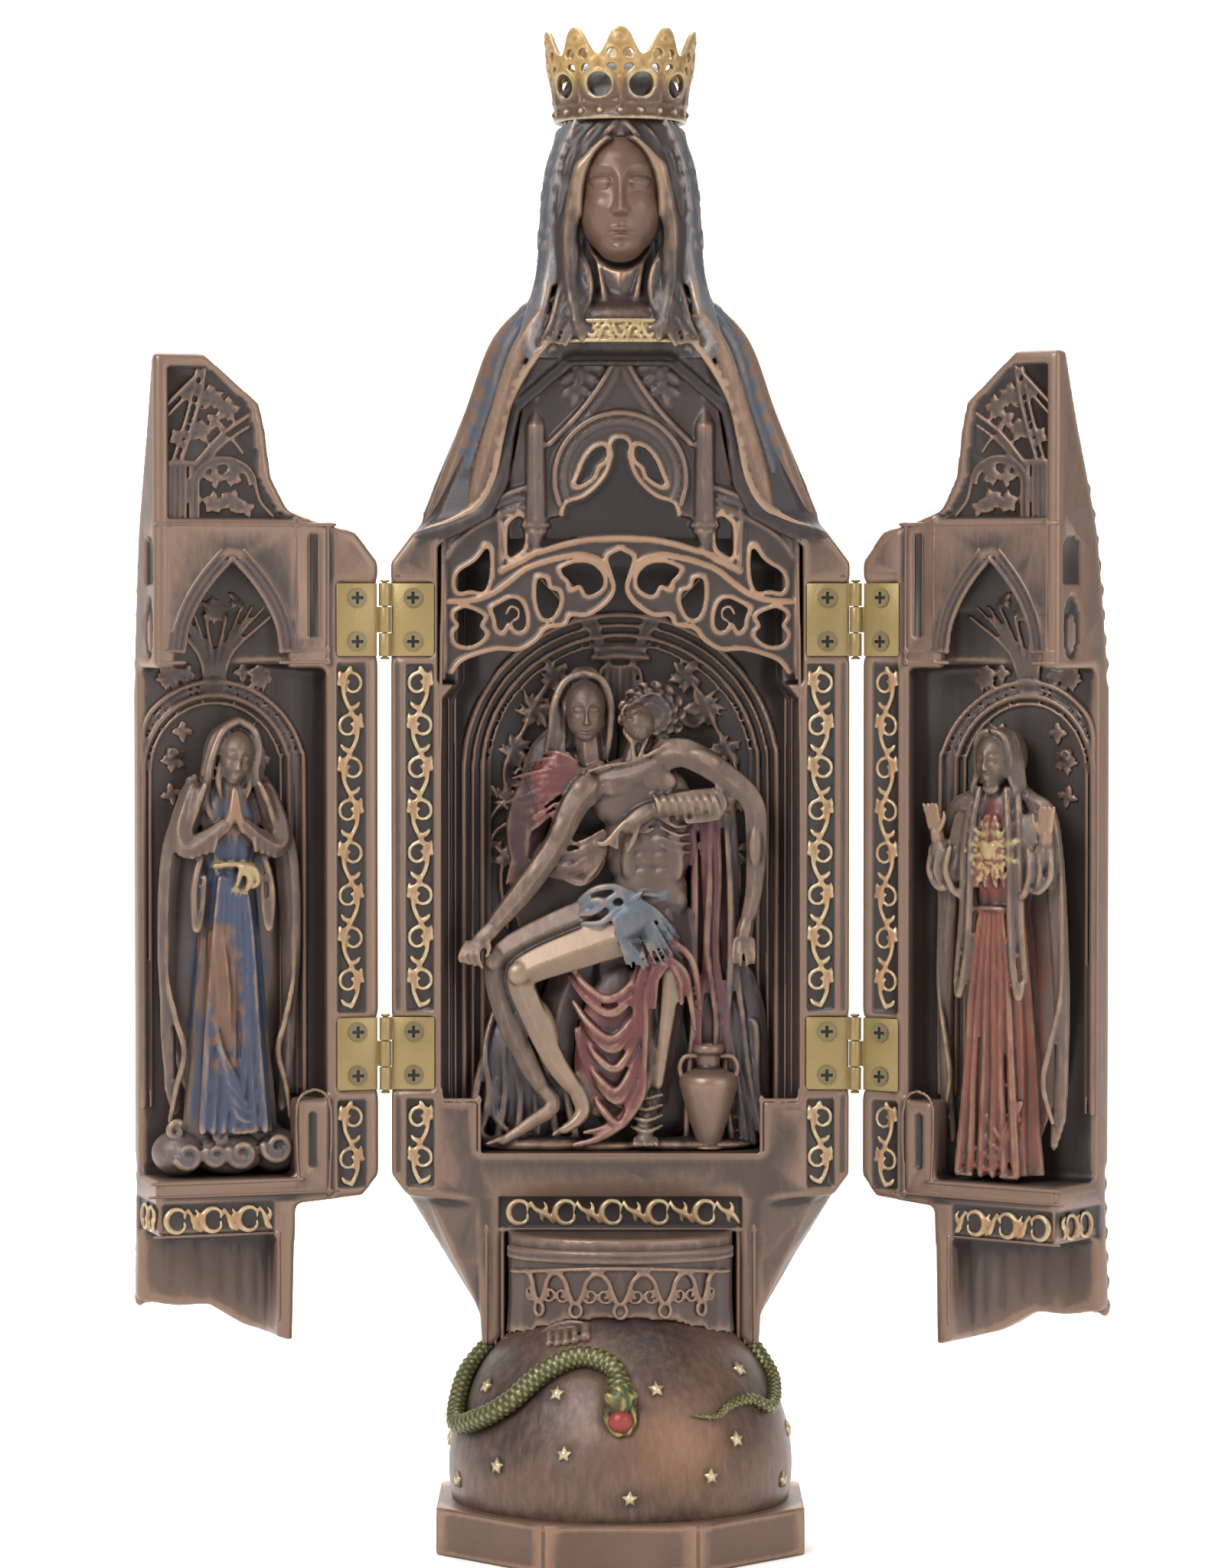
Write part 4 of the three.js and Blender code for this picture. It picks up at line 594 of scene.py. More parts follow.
def calm_head(name, voxel):
    """A head 17 wide round its own middle, looking forwards, with lowered eyes."""
    masses = [((0, 0.6, 1.6), (8.8, 9.9, 11.2)), ((0, -1.2, -3.6), (8.2, 8.4, 8.8)),
              ((0, -2.9, -8.4), (5.3, 5.6, 5.0))]
    head = clay(name, (), masses, voxel, 14)
    places = places_of(head)
    x, y, z = places.T
    across = np.abs(x)
    front = eased(-y, 2.5, 6)
    out = -0.95 * swelling(across, z, (3.7, 2.0), 2.5, 1.9) * eased(across, 0.6, 2.2)
    out += 1.35 * np.sqrt(np.clip(1 - ((across - 3.8) / 2.15) ** 2 - ((z - 1.5) / 1.35) ** 2, 0, 1))
    lid = 0.75 + 0.07 * (across - 3.8) ** 2
    out -= 0.42 * np.exp(-(((z - lid) / 0.24) ** 2)) * within(across, 2.0, 5.6, 0.5)
    out -= 0.2 * np.exp(-(((z - lid - 2.0) / 0.3) ** 2)) * within(across, 2.2, 5.4, 0.6)
    brow = 4.7 - 0.13 * (across - 4.1) ** 2
    out += 0.2 * np.exp(-(((z - brow) / 0.7) ** 2)) * within(across, 1.2, 6.2, 1.4)
    ridge_out = np.interp(z, (-5.2, -4.6, -3.9, -2, 1, 3.4, 6), (0, 1.6, 2.5, 2.0, 1.25, 0.75, 0))
    ridge_wide = np.interp(z, (-4, -2, 1, 4), (1.15, 0.85, 0.72, 1.5))
    out += ridge_out * np.exp(-((x / ridge_wide) ** 2))
    out += 0.85 * swelling(across, z, (1.3, -3.9), 0.62, 0.7) + 0.75 * swelling(across, z, (4.7, -2.4), 2.3, 2.3)
    out += 0.55 * swelling(x, z, (0, -7.8), 3.0, 1.9) + 0.6 * swelling(across, z, (0.7, -7.35), 1.25, 0.5)
    out += 0.75 * swelling(x, z, (0, -8.75), 1.7, 0.55) - 0.6 * swelling(x, z, (0, -8.02), 2.3, 0.24)
    out -= 0.35 * swelling(x, z, (0, -9.9), 2.1, 0.5) + 0.12 * swelling(x, z, (0, -6.2), 0.4, 0.9)
    out += 0.8 * swelling(x, z, (0, -11.3), 2.0, 1.4) + 0.3 * swelling(x, z, (0, 7.5), 4.5, 3)
    places[:, 1] -= out * front
    set_places(head, places)
    return head


def scaled_copy(piece):
    """The skin of a piece in millimetres, as a mesh; the piece itself goes."""
    mesh = bpy.data.meshes.new(piece.name + "_skin")
    bm = in_millimetres(piece)
    bm.to_mesh(mesh)
    bm.free()
    return mesh


def seated(mesh, size, place, turn=(0, 0, 0)):
    """A mesh drawn round its own middle, brought to its size, its tilt in degrees and its place."""
    tilt = Matrix.Identity(4)
    for angle, axis in zip(turn, "XYZ"):
        tilt = Matrix.Rotation(math.radians(angle), 4, axis) @ tilt
    copy = mesh.copy()
    copy.transform(Matrix.Translation(place) @ tilt @ Matrix.Scale(size, 4))
    return copy


def shapes_of(groups):
    """All the strokes and all the lumps of groups, each of which is a colour, its strokes and its lumps."""
    strokes = [stroke for _, part, _ in groups for stroke in part]
    lumps = [lump for _, _, part in groups for lump in part]
    return strokes, lumps


def nearest_paint(places, groups):
    """Each point takes the paint of the stroke or lump whose surface is nearest."""
    best = np.full(len(places), 1e9)
    paint = np.ones((len(places), 4))
    spots = places.astype("f")
    for colour, strokes, lumps in groups:
        marks = [flowing(stroke, 3) for stroke in strokes]
        marks += [np.array([[*centre, min(half)]]) for centre, half, *turn in lumps]
        gap = np.full(len(places), 1e9)
        for row in np.vstack(marks).astype("f"):
            offset = spots - row[:3]
            gap = np.minimum(gap, np.sqrt(np.einsum("ij,ij->i", offset, offset)) - row[3])
        nearer = gap < best
        best[nearer] = gap[nearer]
        paint[nearer] = tint(colour)
    return paint


head_skin = scaled_copy(calm_head("head_form", 0.3))

hair = []
for k in range(5):
    lift = 0.35 * math.cos(math.pi * k)
    wave = 0.5 * math.sin(1.9 * k + 0.6)
    hair += both([
        (0.5 + 1.3 * k, -7.9 + 0.6 * k, 272.2, 0.5),
        (3.5 + 1.25 * k, -8.2 + 0.75 * k - lift, 268.7 + 0.3 * k, 0.72),
        (7.5 + 0.8 * k, -6.8 + 0.4 * k + lift, 263.4 + 0.3 * k, 0.76),
        (8.9 + 0.66 * k, -5.6 + 0.1 * k - lift, 256.6, 0.76),
        (8.5 + 0.8 * k + 0.5 * wave, -5.3 + lift, 249.6, 0.78),
        (6.3 + 1.2 * k - 0.6 * wave, -5.8 - lift, 243.2, 0.78),
        (5.9 + 1.4 * k + 0.9 * wave, -6.8 + 0.5 * lift, 238, 0.78),
        (8.6 + 1.25 * k - 0.9 * wave, -7.7 - 0.5 * lift, 233.6, 0.7),
        (10.4 + 1.1 * k, -7.9, 229.6 + 0.3 * k, 0.4),
    ])
hair_mass = [((side * 9.8, -0.5, 252), (3.6, 4.4, 15)) for side in (-1, 1)] + [((0, -1.6, 271), (6, 5.6, 2.6))]
# Painted shade: a near-black dome inside the crown, which shows through its openings as shade.
shadow_dome = [((0, 3.4, 276), (11.6, 11.6, 9.4))]
parting_skin = [((0, -2.8, 270.4), (3.0, 5.9, 4.4))]
veil_edge = []
for k in range(3):
    step = 0.9 * k
    veil_edge += both([
        (8.6 + step, -5.6 + 1.5 * k, 272, 0.55), (11.7 + step, -5.0 + 1.3 * k, 264, 0.75),
        (12.9 + step, -4.6 + 1.1 * k, 254, 0.8),
        (13.3 + 1.1 * step, -5.0 + 0.9 * k, 244, 0.85), (15.0 + 1.2 * step, -6.6 + 0.8 * k, 236, 0.9),
        (17.0 + step, -7.4 + 0.8 * k, 230.6, 0.8), (15.8 + 1.6 * step, -7.4 + 0.9 * k, 227.6, 0.6),
    ])
veil_folds = []
for k, bearing in enumerate((38, 64, 90, 116, 142, 168)):
    turn = math.radians(bearing)
    sway = 1.2 * math.sin(1.7 * k)
    for side in (-1, 1):
        veil_folds.append([(side * (reach * math.sin(turn) + share * sway), 4 - deep * math.cos(turn), high, 1.3)
                           for reach, deep, high, share in
                           ((11.4, 8.4, 270, 0), (13.2, 9.4, 258, 0.5), (13.8, 9.8, 246, 1),
                            (16.5, 10.4, 237, 0.4), (21, 11.6, 229.5, 0))
                           if turn > 0.9 or high < 262])
inner_hem = both([
    (12.4, -7.8, 231.6, 0.6), (15.0, -7.6, 228.8, 0.7), (18.2, -5.6, 224.4, 0.75), (21.2, -2.8, 218.6, 0.7),
    (22.9, -0.7, 211.5, 0.7),
    (24.2, 0.4, 205.2, 0.7), (26.9, 0.7, 199.9, 0.7), (32.2, 0.8, 196.7, 0.6), (37.4, 1.2, 194.8, 0.5),
])
copper_folds, blue_folds = [], []
copper_folds += both([(15.2, -6.6, 235.4, 1.2), (19.2, -5.8, 228.6, 1.7), (22.9, -2.2, 218, 1.7),
                      (26.3, 0.8, 207, 1.8), (28.4, 2.2, 198.6, 1.5)])
copper_folds += both([(16.0, -1.4, 237.4, 1.7), (22.6, 0.4, 230, 2.4), (27.6, 3.6, 217, 2.4),
                      (32.6, 5.2, 204, 2.4), (36.4, 5.8, 195.2, 1.8)])
copper_folds += both([(14.8, 8.2, 237.6, 2.0), (21.2, 9.6, 229.6, 2.8), (26.4, 11.4, 216.5, 2.8),
                      (31.8, 12.8, 203, 2.8), (35.6, 13.8, 192, 2.0)])
blue_folds += both([(16.2, -3.8, 236.8, 1.2), (21.2, -2.4, 229.6, 1.5), (25.2, 1.0, 217.4, 1.4),
                    (29.4, 3.2, 205, 1.5), (32.4, 4.2, 196.8, 1.2)])
blue_folds += both([(16.6, -2.6, 237.2, 1.2), (22.0, -1.0, 230.0, 1.5), (26.6, 2.2, 217.6, 1.5),
                    (31.2, 4.4, 204.6, 1.5), (34.6, 5.2, 196.0, 1.2)])
blue_folds += both([(15.6, 3.6, 237.6, 1.9), (22.4, 5.0, 230, 2.6), (27.4, 7.8, 217, 2.7), (32.8, 9.2, 204, 2.7),
                    (36.6, 9.6, 193.6, 2.0)])
blue_folds += both([(11.6, 12.0, 237.0, 2.0), (16.2, 14.0, 229, 2.6), (20.0, 15.8, 216, 2.4),
                    (23.6, 17.4, 203, 2.4)])
hem_zigzag = both([
    (26.6, 1.6, 199.6, 0.6), (28.2, 1.2, 197.2, 0.8), (30.0, 1.6, 198.6, 0.7), (31.8, 2.6, 196.4, 0.8),
    (33.6, 2.6, 197.8, 0.7), (35.4, 4.2, 194.9, 0.8),
    (37.4, 5.6, 196.2, 0.7),
])
neck = [[(0, 1.5, 235, 6.0), (0, 0.2, 239, 4.9), (0, -0.6, 249, 4.6)],
        *both([(2.6, -5.2, 236.4, 0.85), (3.6, -4.2, 242, 0.55), (4.6, -2.6, 247, 0.4)])]
collar_bones = both([(1.9, -6.2, 236.4, 0.8), (5.2, -5.8, 236.0, 0.6), (9.4, -4.4, 236.6, 0.5)])
chest = [((0, -1.6, 235.2), (13.2, 6.4, 3.6))]

upper = parted(plain_copy("body"), (0, 0, BUST_Z - 1), (0, 0, 1))
shoulders = scaled_copy(one_skin(cast(upper, "shoulders"), 0.7, 22))
groups = [
    ("#4a3a36", hair, hair_mass), ("#231d1c", [], shadow_dome), ("#a39c9c", veil_edge[:2], []),
    ("#83878f", veil_edge[2:] + veil_folds, []), ("#8f6f5c", copper_folds + hem_zigzag, []),
    ("#c4a283", inner_hem, []),
    ("#676d7c", blue_folds, []), ("#664e45", neck + collar_bones, chest), ("#7a5f52", [], parting_skin),
]
bust = clay("bust", *shapes_of(groups), 0.4, 2, extra=[shoulders])
places = places_of(bust)
x, y, z = places.T
swirl = (np.sin(z / 1.15 + 1.6 * np.sin(1.4 * y + 0.5 * z))
         * np.sin(1.25 * (np.abs(x) + y) + 1.3 * np.sin(z / 1.7)))
lacy = within(np.abs(x), 11.5, 19, 0.8) * within(y, -4, 9, 2) * within(z, 226, 268, 2)
behind_face = (1 - eased(np.hypot(x / 7.4, (z - 256.5) / 12.8), 0.86, 1.02)) * (y < 0)
places[:, 1] += FACE_CLEARANCE * behind_face
set_places(bust, places + normals_of(bust) * (0.22 * eased(swirl, 0.1, 0.5) * lacy)[:, None])
paint = nearest_paint(places, groups)
paint = mixed(paint, tint("#5c6678"), 0.5 * lacy * (1 - eased(swirl, 0.1, 0.5)))
# Painted shade: below the gilt neckline the chest is painted dark down to the canopy.
chest_shadow = (1 - eased(np.abs(x), 12, 15)) * (1 - eased(z, 230.6, 232.6)) * (1 - eased(y, -1, 2))
paint = mixed(paint, tint("#3a3030"), chest_shadow)
placed(mark(bust, paint, reach=0.7, broad=24), "shrine", mantle_finish, "bronze_resin", "body")

face = mesh_object("face", seated(head_skin, MM, (0, HEAD_FORWARD * MM, HEAD_Z * MM)))
placed(mark(face, "#8f6d5b", reach=1.7, broad=50, keep=0.5), "shrine", face_bronze, "bronze_resin", "body")


def on_chest(x):
    """The depth of the gown's edge, which curves round the chest."""
    return -8.5 + 0.021 * x * x


steps = np.linspace(-NECKLINE_HALF, NECKLINE_HALF, 9)
band = [[(x, on_chest(x), NECKLINE_Z + dz, 0.42) for x in steps] for dz in (-1.9, 1.9)]
band_fill = [((x, on_chest(x) + 0.35, NECKLINE_Z), (1.9, 0.5, 1.9)) for x in np.linspace(-11.4, 11.4, 13)]
scroll = ((-1.3, -1.0, 0.26), (-0.6, 0.7, 0.36), (0.5, 0.9, 0.36), (0.9, -0.1, 0.3), (0.2, -0.5, 0.24),
          (1.3, -1.1, 0.26))
for k in range(9):
    x = -10.8 + 2.7 * k
    turn = 1 if k % 2 else -1
    band.append([(x + dx, on_chest(x + dx) - 0.3, NECKLINE_Z + turn * dz, thick) for dx, dz, thick in scroll])
band = clay("neckline", band, band_fill, 0.25, 1)
placed(mark(band, "#d9bd83", reach=0.3, broad=6), "shrine", gilt, "gilt_resin", "body")


# Crown: an open crown cast and gilded: a beaded band, a ring of large round openings, and ten rounded peaks
# pierced with four small holes each. It sits over the veil.
CROWN_FOOT_Z = 272.3
CROWN_RADIUS = 12.1
CROWN_FLARE = 2.6
CROWN_TOP = 17.3
CROWN_CENTRE_Y = 3.4
CROWN_PEAKS = 10
CROWN_WALL = (-0.45, 0.6)
PEAK_OUTLINE = [(-0.5, 12.2), (-0.43, 12.3), (-0.36, 13.0), (-0.27, 14.4), (-0.18, 16.0), (-0.09, 17.0),
                (0, 17.3), (0.09, 17.0), (0.18, 16.0),
                (0.27, 14.4), (0.36, 13.0), (0.43, 12.3)]
BIG_HOLE_HEIGHT = 6.5
BIG_HOLE_RADIUS = 2.35
SMALL_HOLES = [(-0.2, 9.5), (0.2, 9.5), (-0.17, 12.3), (0.17, 12.3)]
SMALL_HOLE_RADIUS = 0.92
SPRIGS = [
    [(0.02, -0.45, 4.4, 0.4), (0.1, -0.5, 7.4, 0.35), (0.4, -0.45, 10.2, 0.4)],
    [(0.42, -0.45, 11.2, 0.35), (0.33, -0.5, 10.6, 0.42), (0.3, -0.45, 12.2, 0.3)],
    [(0.04, -0.45, 14.6, 0.35), (0.12, -0.5, 14.9, 0.35), (0.02, -0.45, 15.8, 0.3)],
]


def flat_plate(name, outlines, near, far):
    """A flat plate in x and z with holes, from closed outlines, as a mesh in millimetres."""
    curve = bpy.data.curves.new(name, "CURVE")
    curve.dimensions = "2D"
    curve.fill_mode = "BOTH"
    curve.extrude = (far - near) / 2
    for outline in outlines:
        spline = curve.splines.new("POLY")
        spline.points.add(len(outline) - 1)
        spots = [value for x, z in outline for value in (x, z, 0, 1)]
        spline.points.foreach_set("co", spots)
        spline.use_cyclic_u = True
    holder = bpy.data.objects.new(name, curve)
    mesh = bpy.data.meshes.new_from_object(holder)
    bpy.data.objects.remove(holder)
    mesh.transform(Matrix.Translation((0, (near + far) / 2, 0)) @ Matrix.Rotation(math.pi / 2, 4, "X"))
    return mesh


def hoop(centre, radius, y, thick, steps=16):
    """A closed ring stroke in x and z."""
    turns = [2 * math.pi * k / steps for k in range(steps + 2)]
    return [(centre[0] + radius * math.cos(t), y, centre[1] + radius * math.sin(t), thick) for t in turns]


def round_outline(centre, radius, count):
    """The corners of a round hole or disc, for a flat plate."""
    turns = np.linspace(0, 2 * math.pi, count + 1)[:-1]
    return [(centre[0] + radius * math.cos(t), centre[1] + radius * math.sin(t)) for t in turns]


pitch = 2 * math.pi * CROWN_RADIUS / CROWN_PEAKS
length = pitch * CROWN_PEAKS
outline = [(pitch * (k + 0.5 + share), height) for k in range(CROWN_PEAKS) for share, height in PEAK_OUTLINE]
outline += [(length, 12.2), (length, 0.2), (0, 0.2)]
holes, strokes, beads = [], [], []
for k in range(CROWN_PEAKS):
    middle = pitch * (k + 0.5)
    seam = pitch * (k + 1)
    if k < CROWN_PEAKS - 1:
        spot = (seam, BIG_HOLE_HEIGHT)
        holes.append(round_outline(spot, BIG_HOLE_RADIUS, 24))
        strokes += [hoop(spot, 2.6, -0.5, 0.42), hoop(spot, 3.25, -0.3, 0.3)]
    for share, height in SMALL_HOLES:
        spot = (middle + share * pitch, height)
        holes.append(round_outline(spot, SMALL_HOLE_RADIUS, 12))
        strokes.append(hoop(spot, 1.15, -0.45, 0.24, 12))
    strokes.append([(middle + share * pitch, -0.1, height - 0.35, 0.42) for share, height in PEAK_OUTLINE])
    strokes.append([(middle, -0.45, 3.4, 0.55), (middle, -0.5, 5.5, 0.35), (middle, -0.45, 7.9, 0.4)])
    for side in (-1, 1):
        strokes += [[(middle + side * share * pitch, y, z, thick) for share, y, z, thick in sprig]
                    for sprig in SPRIGS]
    for share in (0, 0.5):
        beads.append(((middle + share * pitch, -0.75, 1.7), (0.5, 0.45, 0.5)))
for height, thick, y in ((0.45, 0.5, -0.35), (3.1, 0.48, -0.35)):
    strokes.append([(length * k / 60, y, height, thick) for k in range(61)])
wall = flat_plate("crown_wall", [outline, *holes], *CROWN_WALL)
crown = clay("gilt_crown", strokes, beads, 0.3, 1, roundness=1, extra=[wall])
places = places_of(crown)
along, deep, height = places.T
bearing = 2 * math.pi * (along / length + 0.5 / CROWN_PEAKS)
reach = CROWN_RADIUS - deep + CROWN_FLARE * np.clip(height - 3, 0, 20) / (CROWN_TOP - 3)
bent = np.stack([-reach * np.sin(bearing), CROWN_CENTRE_Y + reach * np.cos(bearing), CROWN_FOOT_Z + height], 1)
set_places(crown, bent)
paint = mixed(tint("#735648"), tint("#d3a862"), eased(height + 1.2 * np.sin(3 * along), 5.0, 9.5))
placed(mark(crown, paint, reach=0.5, broad=9), "shrine", gilt, "gilt_resin", "crown")


# Canopy: a pierced screen of gothic tracery let into the head of the niche, under a gable with leaves and
# between two hanging pinnacles. The edges of its openings are picked out in pale copper gold.
CANOPY_FACE_Y = 1.5
CANOPY_BACK_Y = 5.2
OPENINGS = [
    [(-25.8, 192), (-26.6, 190.6), (-28.1, 188.8), (-31.1, 186.8), (-31.9, 184.4), (-31.1, 182.6), (-28.7, 182.9),
     (-26.3, 182.6), (-25.2, 184.2), (-24.7, 187.5), (-24.9, 191.2)],
    [(-31.9, 179.0), (-30.2, 180.0), (-27.5, 179.3), (-25.9, 178.1), (-26.7, 176.3), (-25.6, 174.8),
     (-26.9, 173.1),
     (-29.2, 172.2), (-31.6, 172.9), (-32.2, 174.9), (-31.2, 176.4), (-32.1, 177.8)],
    [(-24.9, 179.8), (-23.2, 180.8), (-21.1, 181.8), (-19.3, 181.4), (-18.3, 179.9), (-17.8, 177.2),
     (-18.5, 175.3),
     (-20.2, 175.3), (-21.4, 176.7), (-22.6, 175.0), (-23.8, 175.8), (-24.2, 177.8)],
    [(-15.9, 185.8), (-14.1, 185.6), (-13.5, 183.6), (-11.7, 183.0), (-11.5, 180.4), (-12.9, 177.8),
     (-14.8, 177.6),
     (-16.0, 179.6), (-16.4, 183.0)],
    [(-11.6, 187.5), (-8.9, 188.6), (-5.6, 188.4), (-3.4, 186.5), (-3.0, 184.1), (-4.6, 182.4), (-6.6, 182.1),
     (-7.8, 183.9), (-9.6, 183.2), (-10.0, 184.8), (-11.2, 186)],
    [(-21.6, 196.2), (-18.6, 197.8), (-18.2, 191.4), (-21.6, 189.2)],
    [(-2.9, 211.2), (-4.9, 210.6), (-6.8, 208.4), (-8.1, 205.4), (-8.9, 203.1), (-7.2, 203.3), (-5.1, 204.8),
     (-4.3, 206.7), (-2.7, 208.2), (-2.5, 210)],
]
SCREEN = [
    (-34, 166.9), (-32.4, 167.3), (-30.6, 169.6), (-27.3, 171.0), (-23.4, 171.9), (-19.4, 171.8), (-16.2, 173.6),
    (-14.2, 175.9), (-10.7, 176.6), (-9.6, 178.4), (-6.4, 178.4), (-2.9, 180.6), (-1.2, 183.4), (-1.9, 186.4),
    (-2.6, 189.6),
    (0, 191.2),
]
SCREEN_TOP = [
    (0, 193.2), (-5.4, 193.0), (-10.1, 192.2), (-14.7, 190.8), (-17.4, 189.8), (-17.4, 196.5), (-11.2, 197.5),
    (-10.4, 199.9),
    (-7.3, 201.0), (-5.0, 202.7), (-2.9, 205.2), (-1.9, 207.8), (-1.6, 209.2), (-1.9, 210.8), (-1.2, 212.2),
    (0, 212.6),
]
SCREEN_EDGE = [
    (0, 231.5), (-3, 231), (-9, 229.2), (-14.6, 225.4), (-18.2, 218), (-19.4, 211.5), (-20.8, 204.2),
    (-24.2, 199.6), (-29.7, 197.0),
    (-34, 193.4),
]


def flip(points):
    return [(-x, z) for x, z in points]


def ring_of(outline, y, thick):
    """A stroke along a closed outline, at one depth."""
    return [(x, y, z, thick) for x, z in [*outline, outline[0], outline[1]]]


def arc(centre, radius, start, end, lift, thick):
    """A stroke over the screen along part of a circle; 0 degrees points right and 90 up."""
    turns = [math.radians(start + (end - start) * step / 14) for step in range(15)]
    return [(centre[0] + radius * math.cos(t), CANOPY_FACE_Y + lift, centre[1] + radius * math.sin(t), thick)
            for t in turns]


def on_screen(sign, lift, thick, line):
    """A stroke over one half of the screen; sign 1 draws the line as it is given, and -1 its mirror image."""
    return [(sign * x, CANOPY_FACE_Y + lift, z, thick) for x, z in line]


lower_holes = OPENINGS + [flip(hole) for hole in OPENINGS]
under = SCREEN + flip(SCREEN)[::-1][1:]
over = flip(SCREEN_EDGE)[::-1][:-1] + SCREEN_EDGE
arch_hole = flip(SCREEN_TOP)[::-1][:-1] + SCREEN_TOP
screen = flat_plate("screen", [over + under, arch_hole, *lower_holes], CANOPY_FACE_Y + 0.6, CANOPY_BACK_Y - 1.2)
rims = [ring_of(hole, CANOPY_FACE_Y + 0.55, 0.42) for hole in lower_holes]
RIM_LINES = [
    (0.5, 0.5, SCREEN[1:]), (0.5, 0.42, SCREEN_TOP[6:]),
    (0.35, 0.62, SCREEN_TOP[:5] + [(-18.8, 188.9), (-22.6, 187.2)]),
    (0.4, 0.45, [(-32.8, 181.0), (-28.7, 181.2), (-24.9, 182.4), (-21.7, 184.6), (-18.8, 186.9), (-15.9, 188.2),
                 (-12.4, 189.2), (-7.8, 189.9), (-4.0, 188.9), (-2.1, 186.6)]),
    (0.4, 0.34, [(-21.9, 178.6), (-21.0, 180.0), (-19.6, 179.4), (-19.6, 177.9), (-20.6, 177.3)]),
]
MOULDING_LINES = [
    (0.5, 0.5, [(-34, 167.5), (-34, 193.2)]),
    (0.2, 0.55, [(-33.8, 193.2), (-29.7, 197.2), (-24.4, 200.4), (-18.5, 202.7)]),
    (0.4, 0.45, [(-33.2, 189.6), (-30.2, 193.4), (-25, 196.6), (-18.5, 198.9)]),
    (0.5, 0.4, [(-32.4, 191.4), (-28.4, 195), (-23.6, 197.8), (-19.4, 199.4), (-19.2, 200.8), (-24.2, 199.2),
                (-29.2, 196.2), (-32.6, 192.6), (-32.4, 191.4)]),
    (0.4, 0.5, [(-22.9, 187.6), (-23.2, 197.6)]),
    (0.1, 0.62, [(0.2, 230.4), (-3.0, 223.8), (-7.8, 217.2), (-13.4, 211.4)]),
    (0.6, 0.42, [(0.1, 227.4), (-1.9, 222.8), (-6.2, 216.6), (-7.4, 215.4)]),
    (1.0, 0.36, [(0.1, 222.6), (-1.8, 220), (-4.6, 217.6), (0, 217.2)]),
    (1.1, 0.5, [(-15.6, 224.4), (-18.2, 218.6), (-19.6, 211), (-21, 204.4)]),
]
rims += [on_screen(sign, *line) for sign in (-1, 1) for line in RIM_LINES]
mouldings = [
    arc((0, 204.5), 12.6, -22, 202, 0.2, 0.62), arc((0, 204.5), 11.0, -22, 202, 0.7, 0.5),
    arc((0, 204.5), 9.6, -10, 190, 0.9, 0.45),
]
mouldings += [on_screen(sign, *line) for sign in (-1, 1) for line in MOULDING_LINES]
LEAF = [
    (-4.4, 228.2, 40), (-6.6, 229.2, 0), (-9.0, 228.6, -20), (-10.8, 226.6, -60), (-8.8, 226.4, 60),
    (-6.4, 226.6, 90), (-4.8, 226.2, 20),
    (-7.8, 224.6, 80), (-10.0, 224.0, -40), (-5.6, 223.8, 40), (-8.2, 222.4, 90), (-9.9, 221.4, -30),
    (-6.8, 221.4, 40), (-8.8, 220.0, -80),
]
leaves = [((sign * x, CANOPY_FACE_Y + 0.7, z), (1.9, 0.75, 1.05), (0, sign * turn, 0)) for x, z, turn in LEAF
          for sign in (-1, 1)]
PINNACLE_X = 16.2
PINNACLE_PARTS = [
    [(190.2, 0.9), (192.2, 1.1), (193.4, 1.6), (194.0, 1.7)],
    [(196.8, 2.2), (206, 2.15), (214.0, 2.1), (214.8, 2.0), (217.4, 0.8), (219.8, 0.3)],
]
pinnacles, collars = [], []
for sign in (-1, 1):
    x = sign * PINNACLE_X
    pinnacles += [[(x, CANOPY_FACE_Y + 1.0, z, thick) for z, thick in part] for part in PINNACLE_PARTS]
    for z, half in ((194.4, 2.3), (195.6, 2.9), (196.8, 2.6)):
        collars.append(((x, CANOPY_FACE_Y + 1.0, z), (half, 2.0, 0.75)))
    collars.append(((x, CANOPY_FACE_Y + 0.8, 219.9), (0.55, 0.55, 0.55)))
# A plate set behind the head of the screen. Further down it is painted nearly black, as painted shade seen
# through the openings.
drawn_in = [(x * 0.96, z - 0.4) for x, z in over]
ARCH_HEAD = [(18.4, 204), (13.4, 205), (12.8, 211), (9, 216), (0, 218), (-9, 216), (-12.8, 211), (-13.4, 205),
             (-18.4, 204)]
shadow_backing = flat_plate("shadow_backing", [drawn_in[:9] + ARCH_HEAD + drawn_in[-9:]], CANOPY_BACK_Y - 2.0,
                    CANOPY_BACK_Y - 0.2)
canopy = clay("gothic_canopy", rims + mouldings + pinnacles, collars + leaves, 0.33, 2, extra=[screen, shadow_backing])
places = places_of(canopy)
groups = [("#d8ab88", rims, []), ("#6b5851", mouldings + pinnacles, collars), ("#5d504c", [], leaves)]
paint = nearest_paint(places, groups)
# Painted shade: what lies behind the face of the tracery is painted darker. From 0.8 behind it the paint is
# nearly black, which takes in the backing plate and the insides of the openings.
deep = eased(places[:, 1], CANOPY_FACE_Y + 0.32, CANOPY_FACE_Y + 0.58)
paint = mixed(paint, tint("#5a4a45"), deep)
paint = mixed(paint, tint("#2b2322"), eased(places[:, 1], CANOPY_FACE_Y + 0.8, CANOPY_FACE_Y + 1.6))
placed(mark(canopy, paint, reach=0.42, broad=16), "shrine", bronze, "bronze_resin", "canopy")


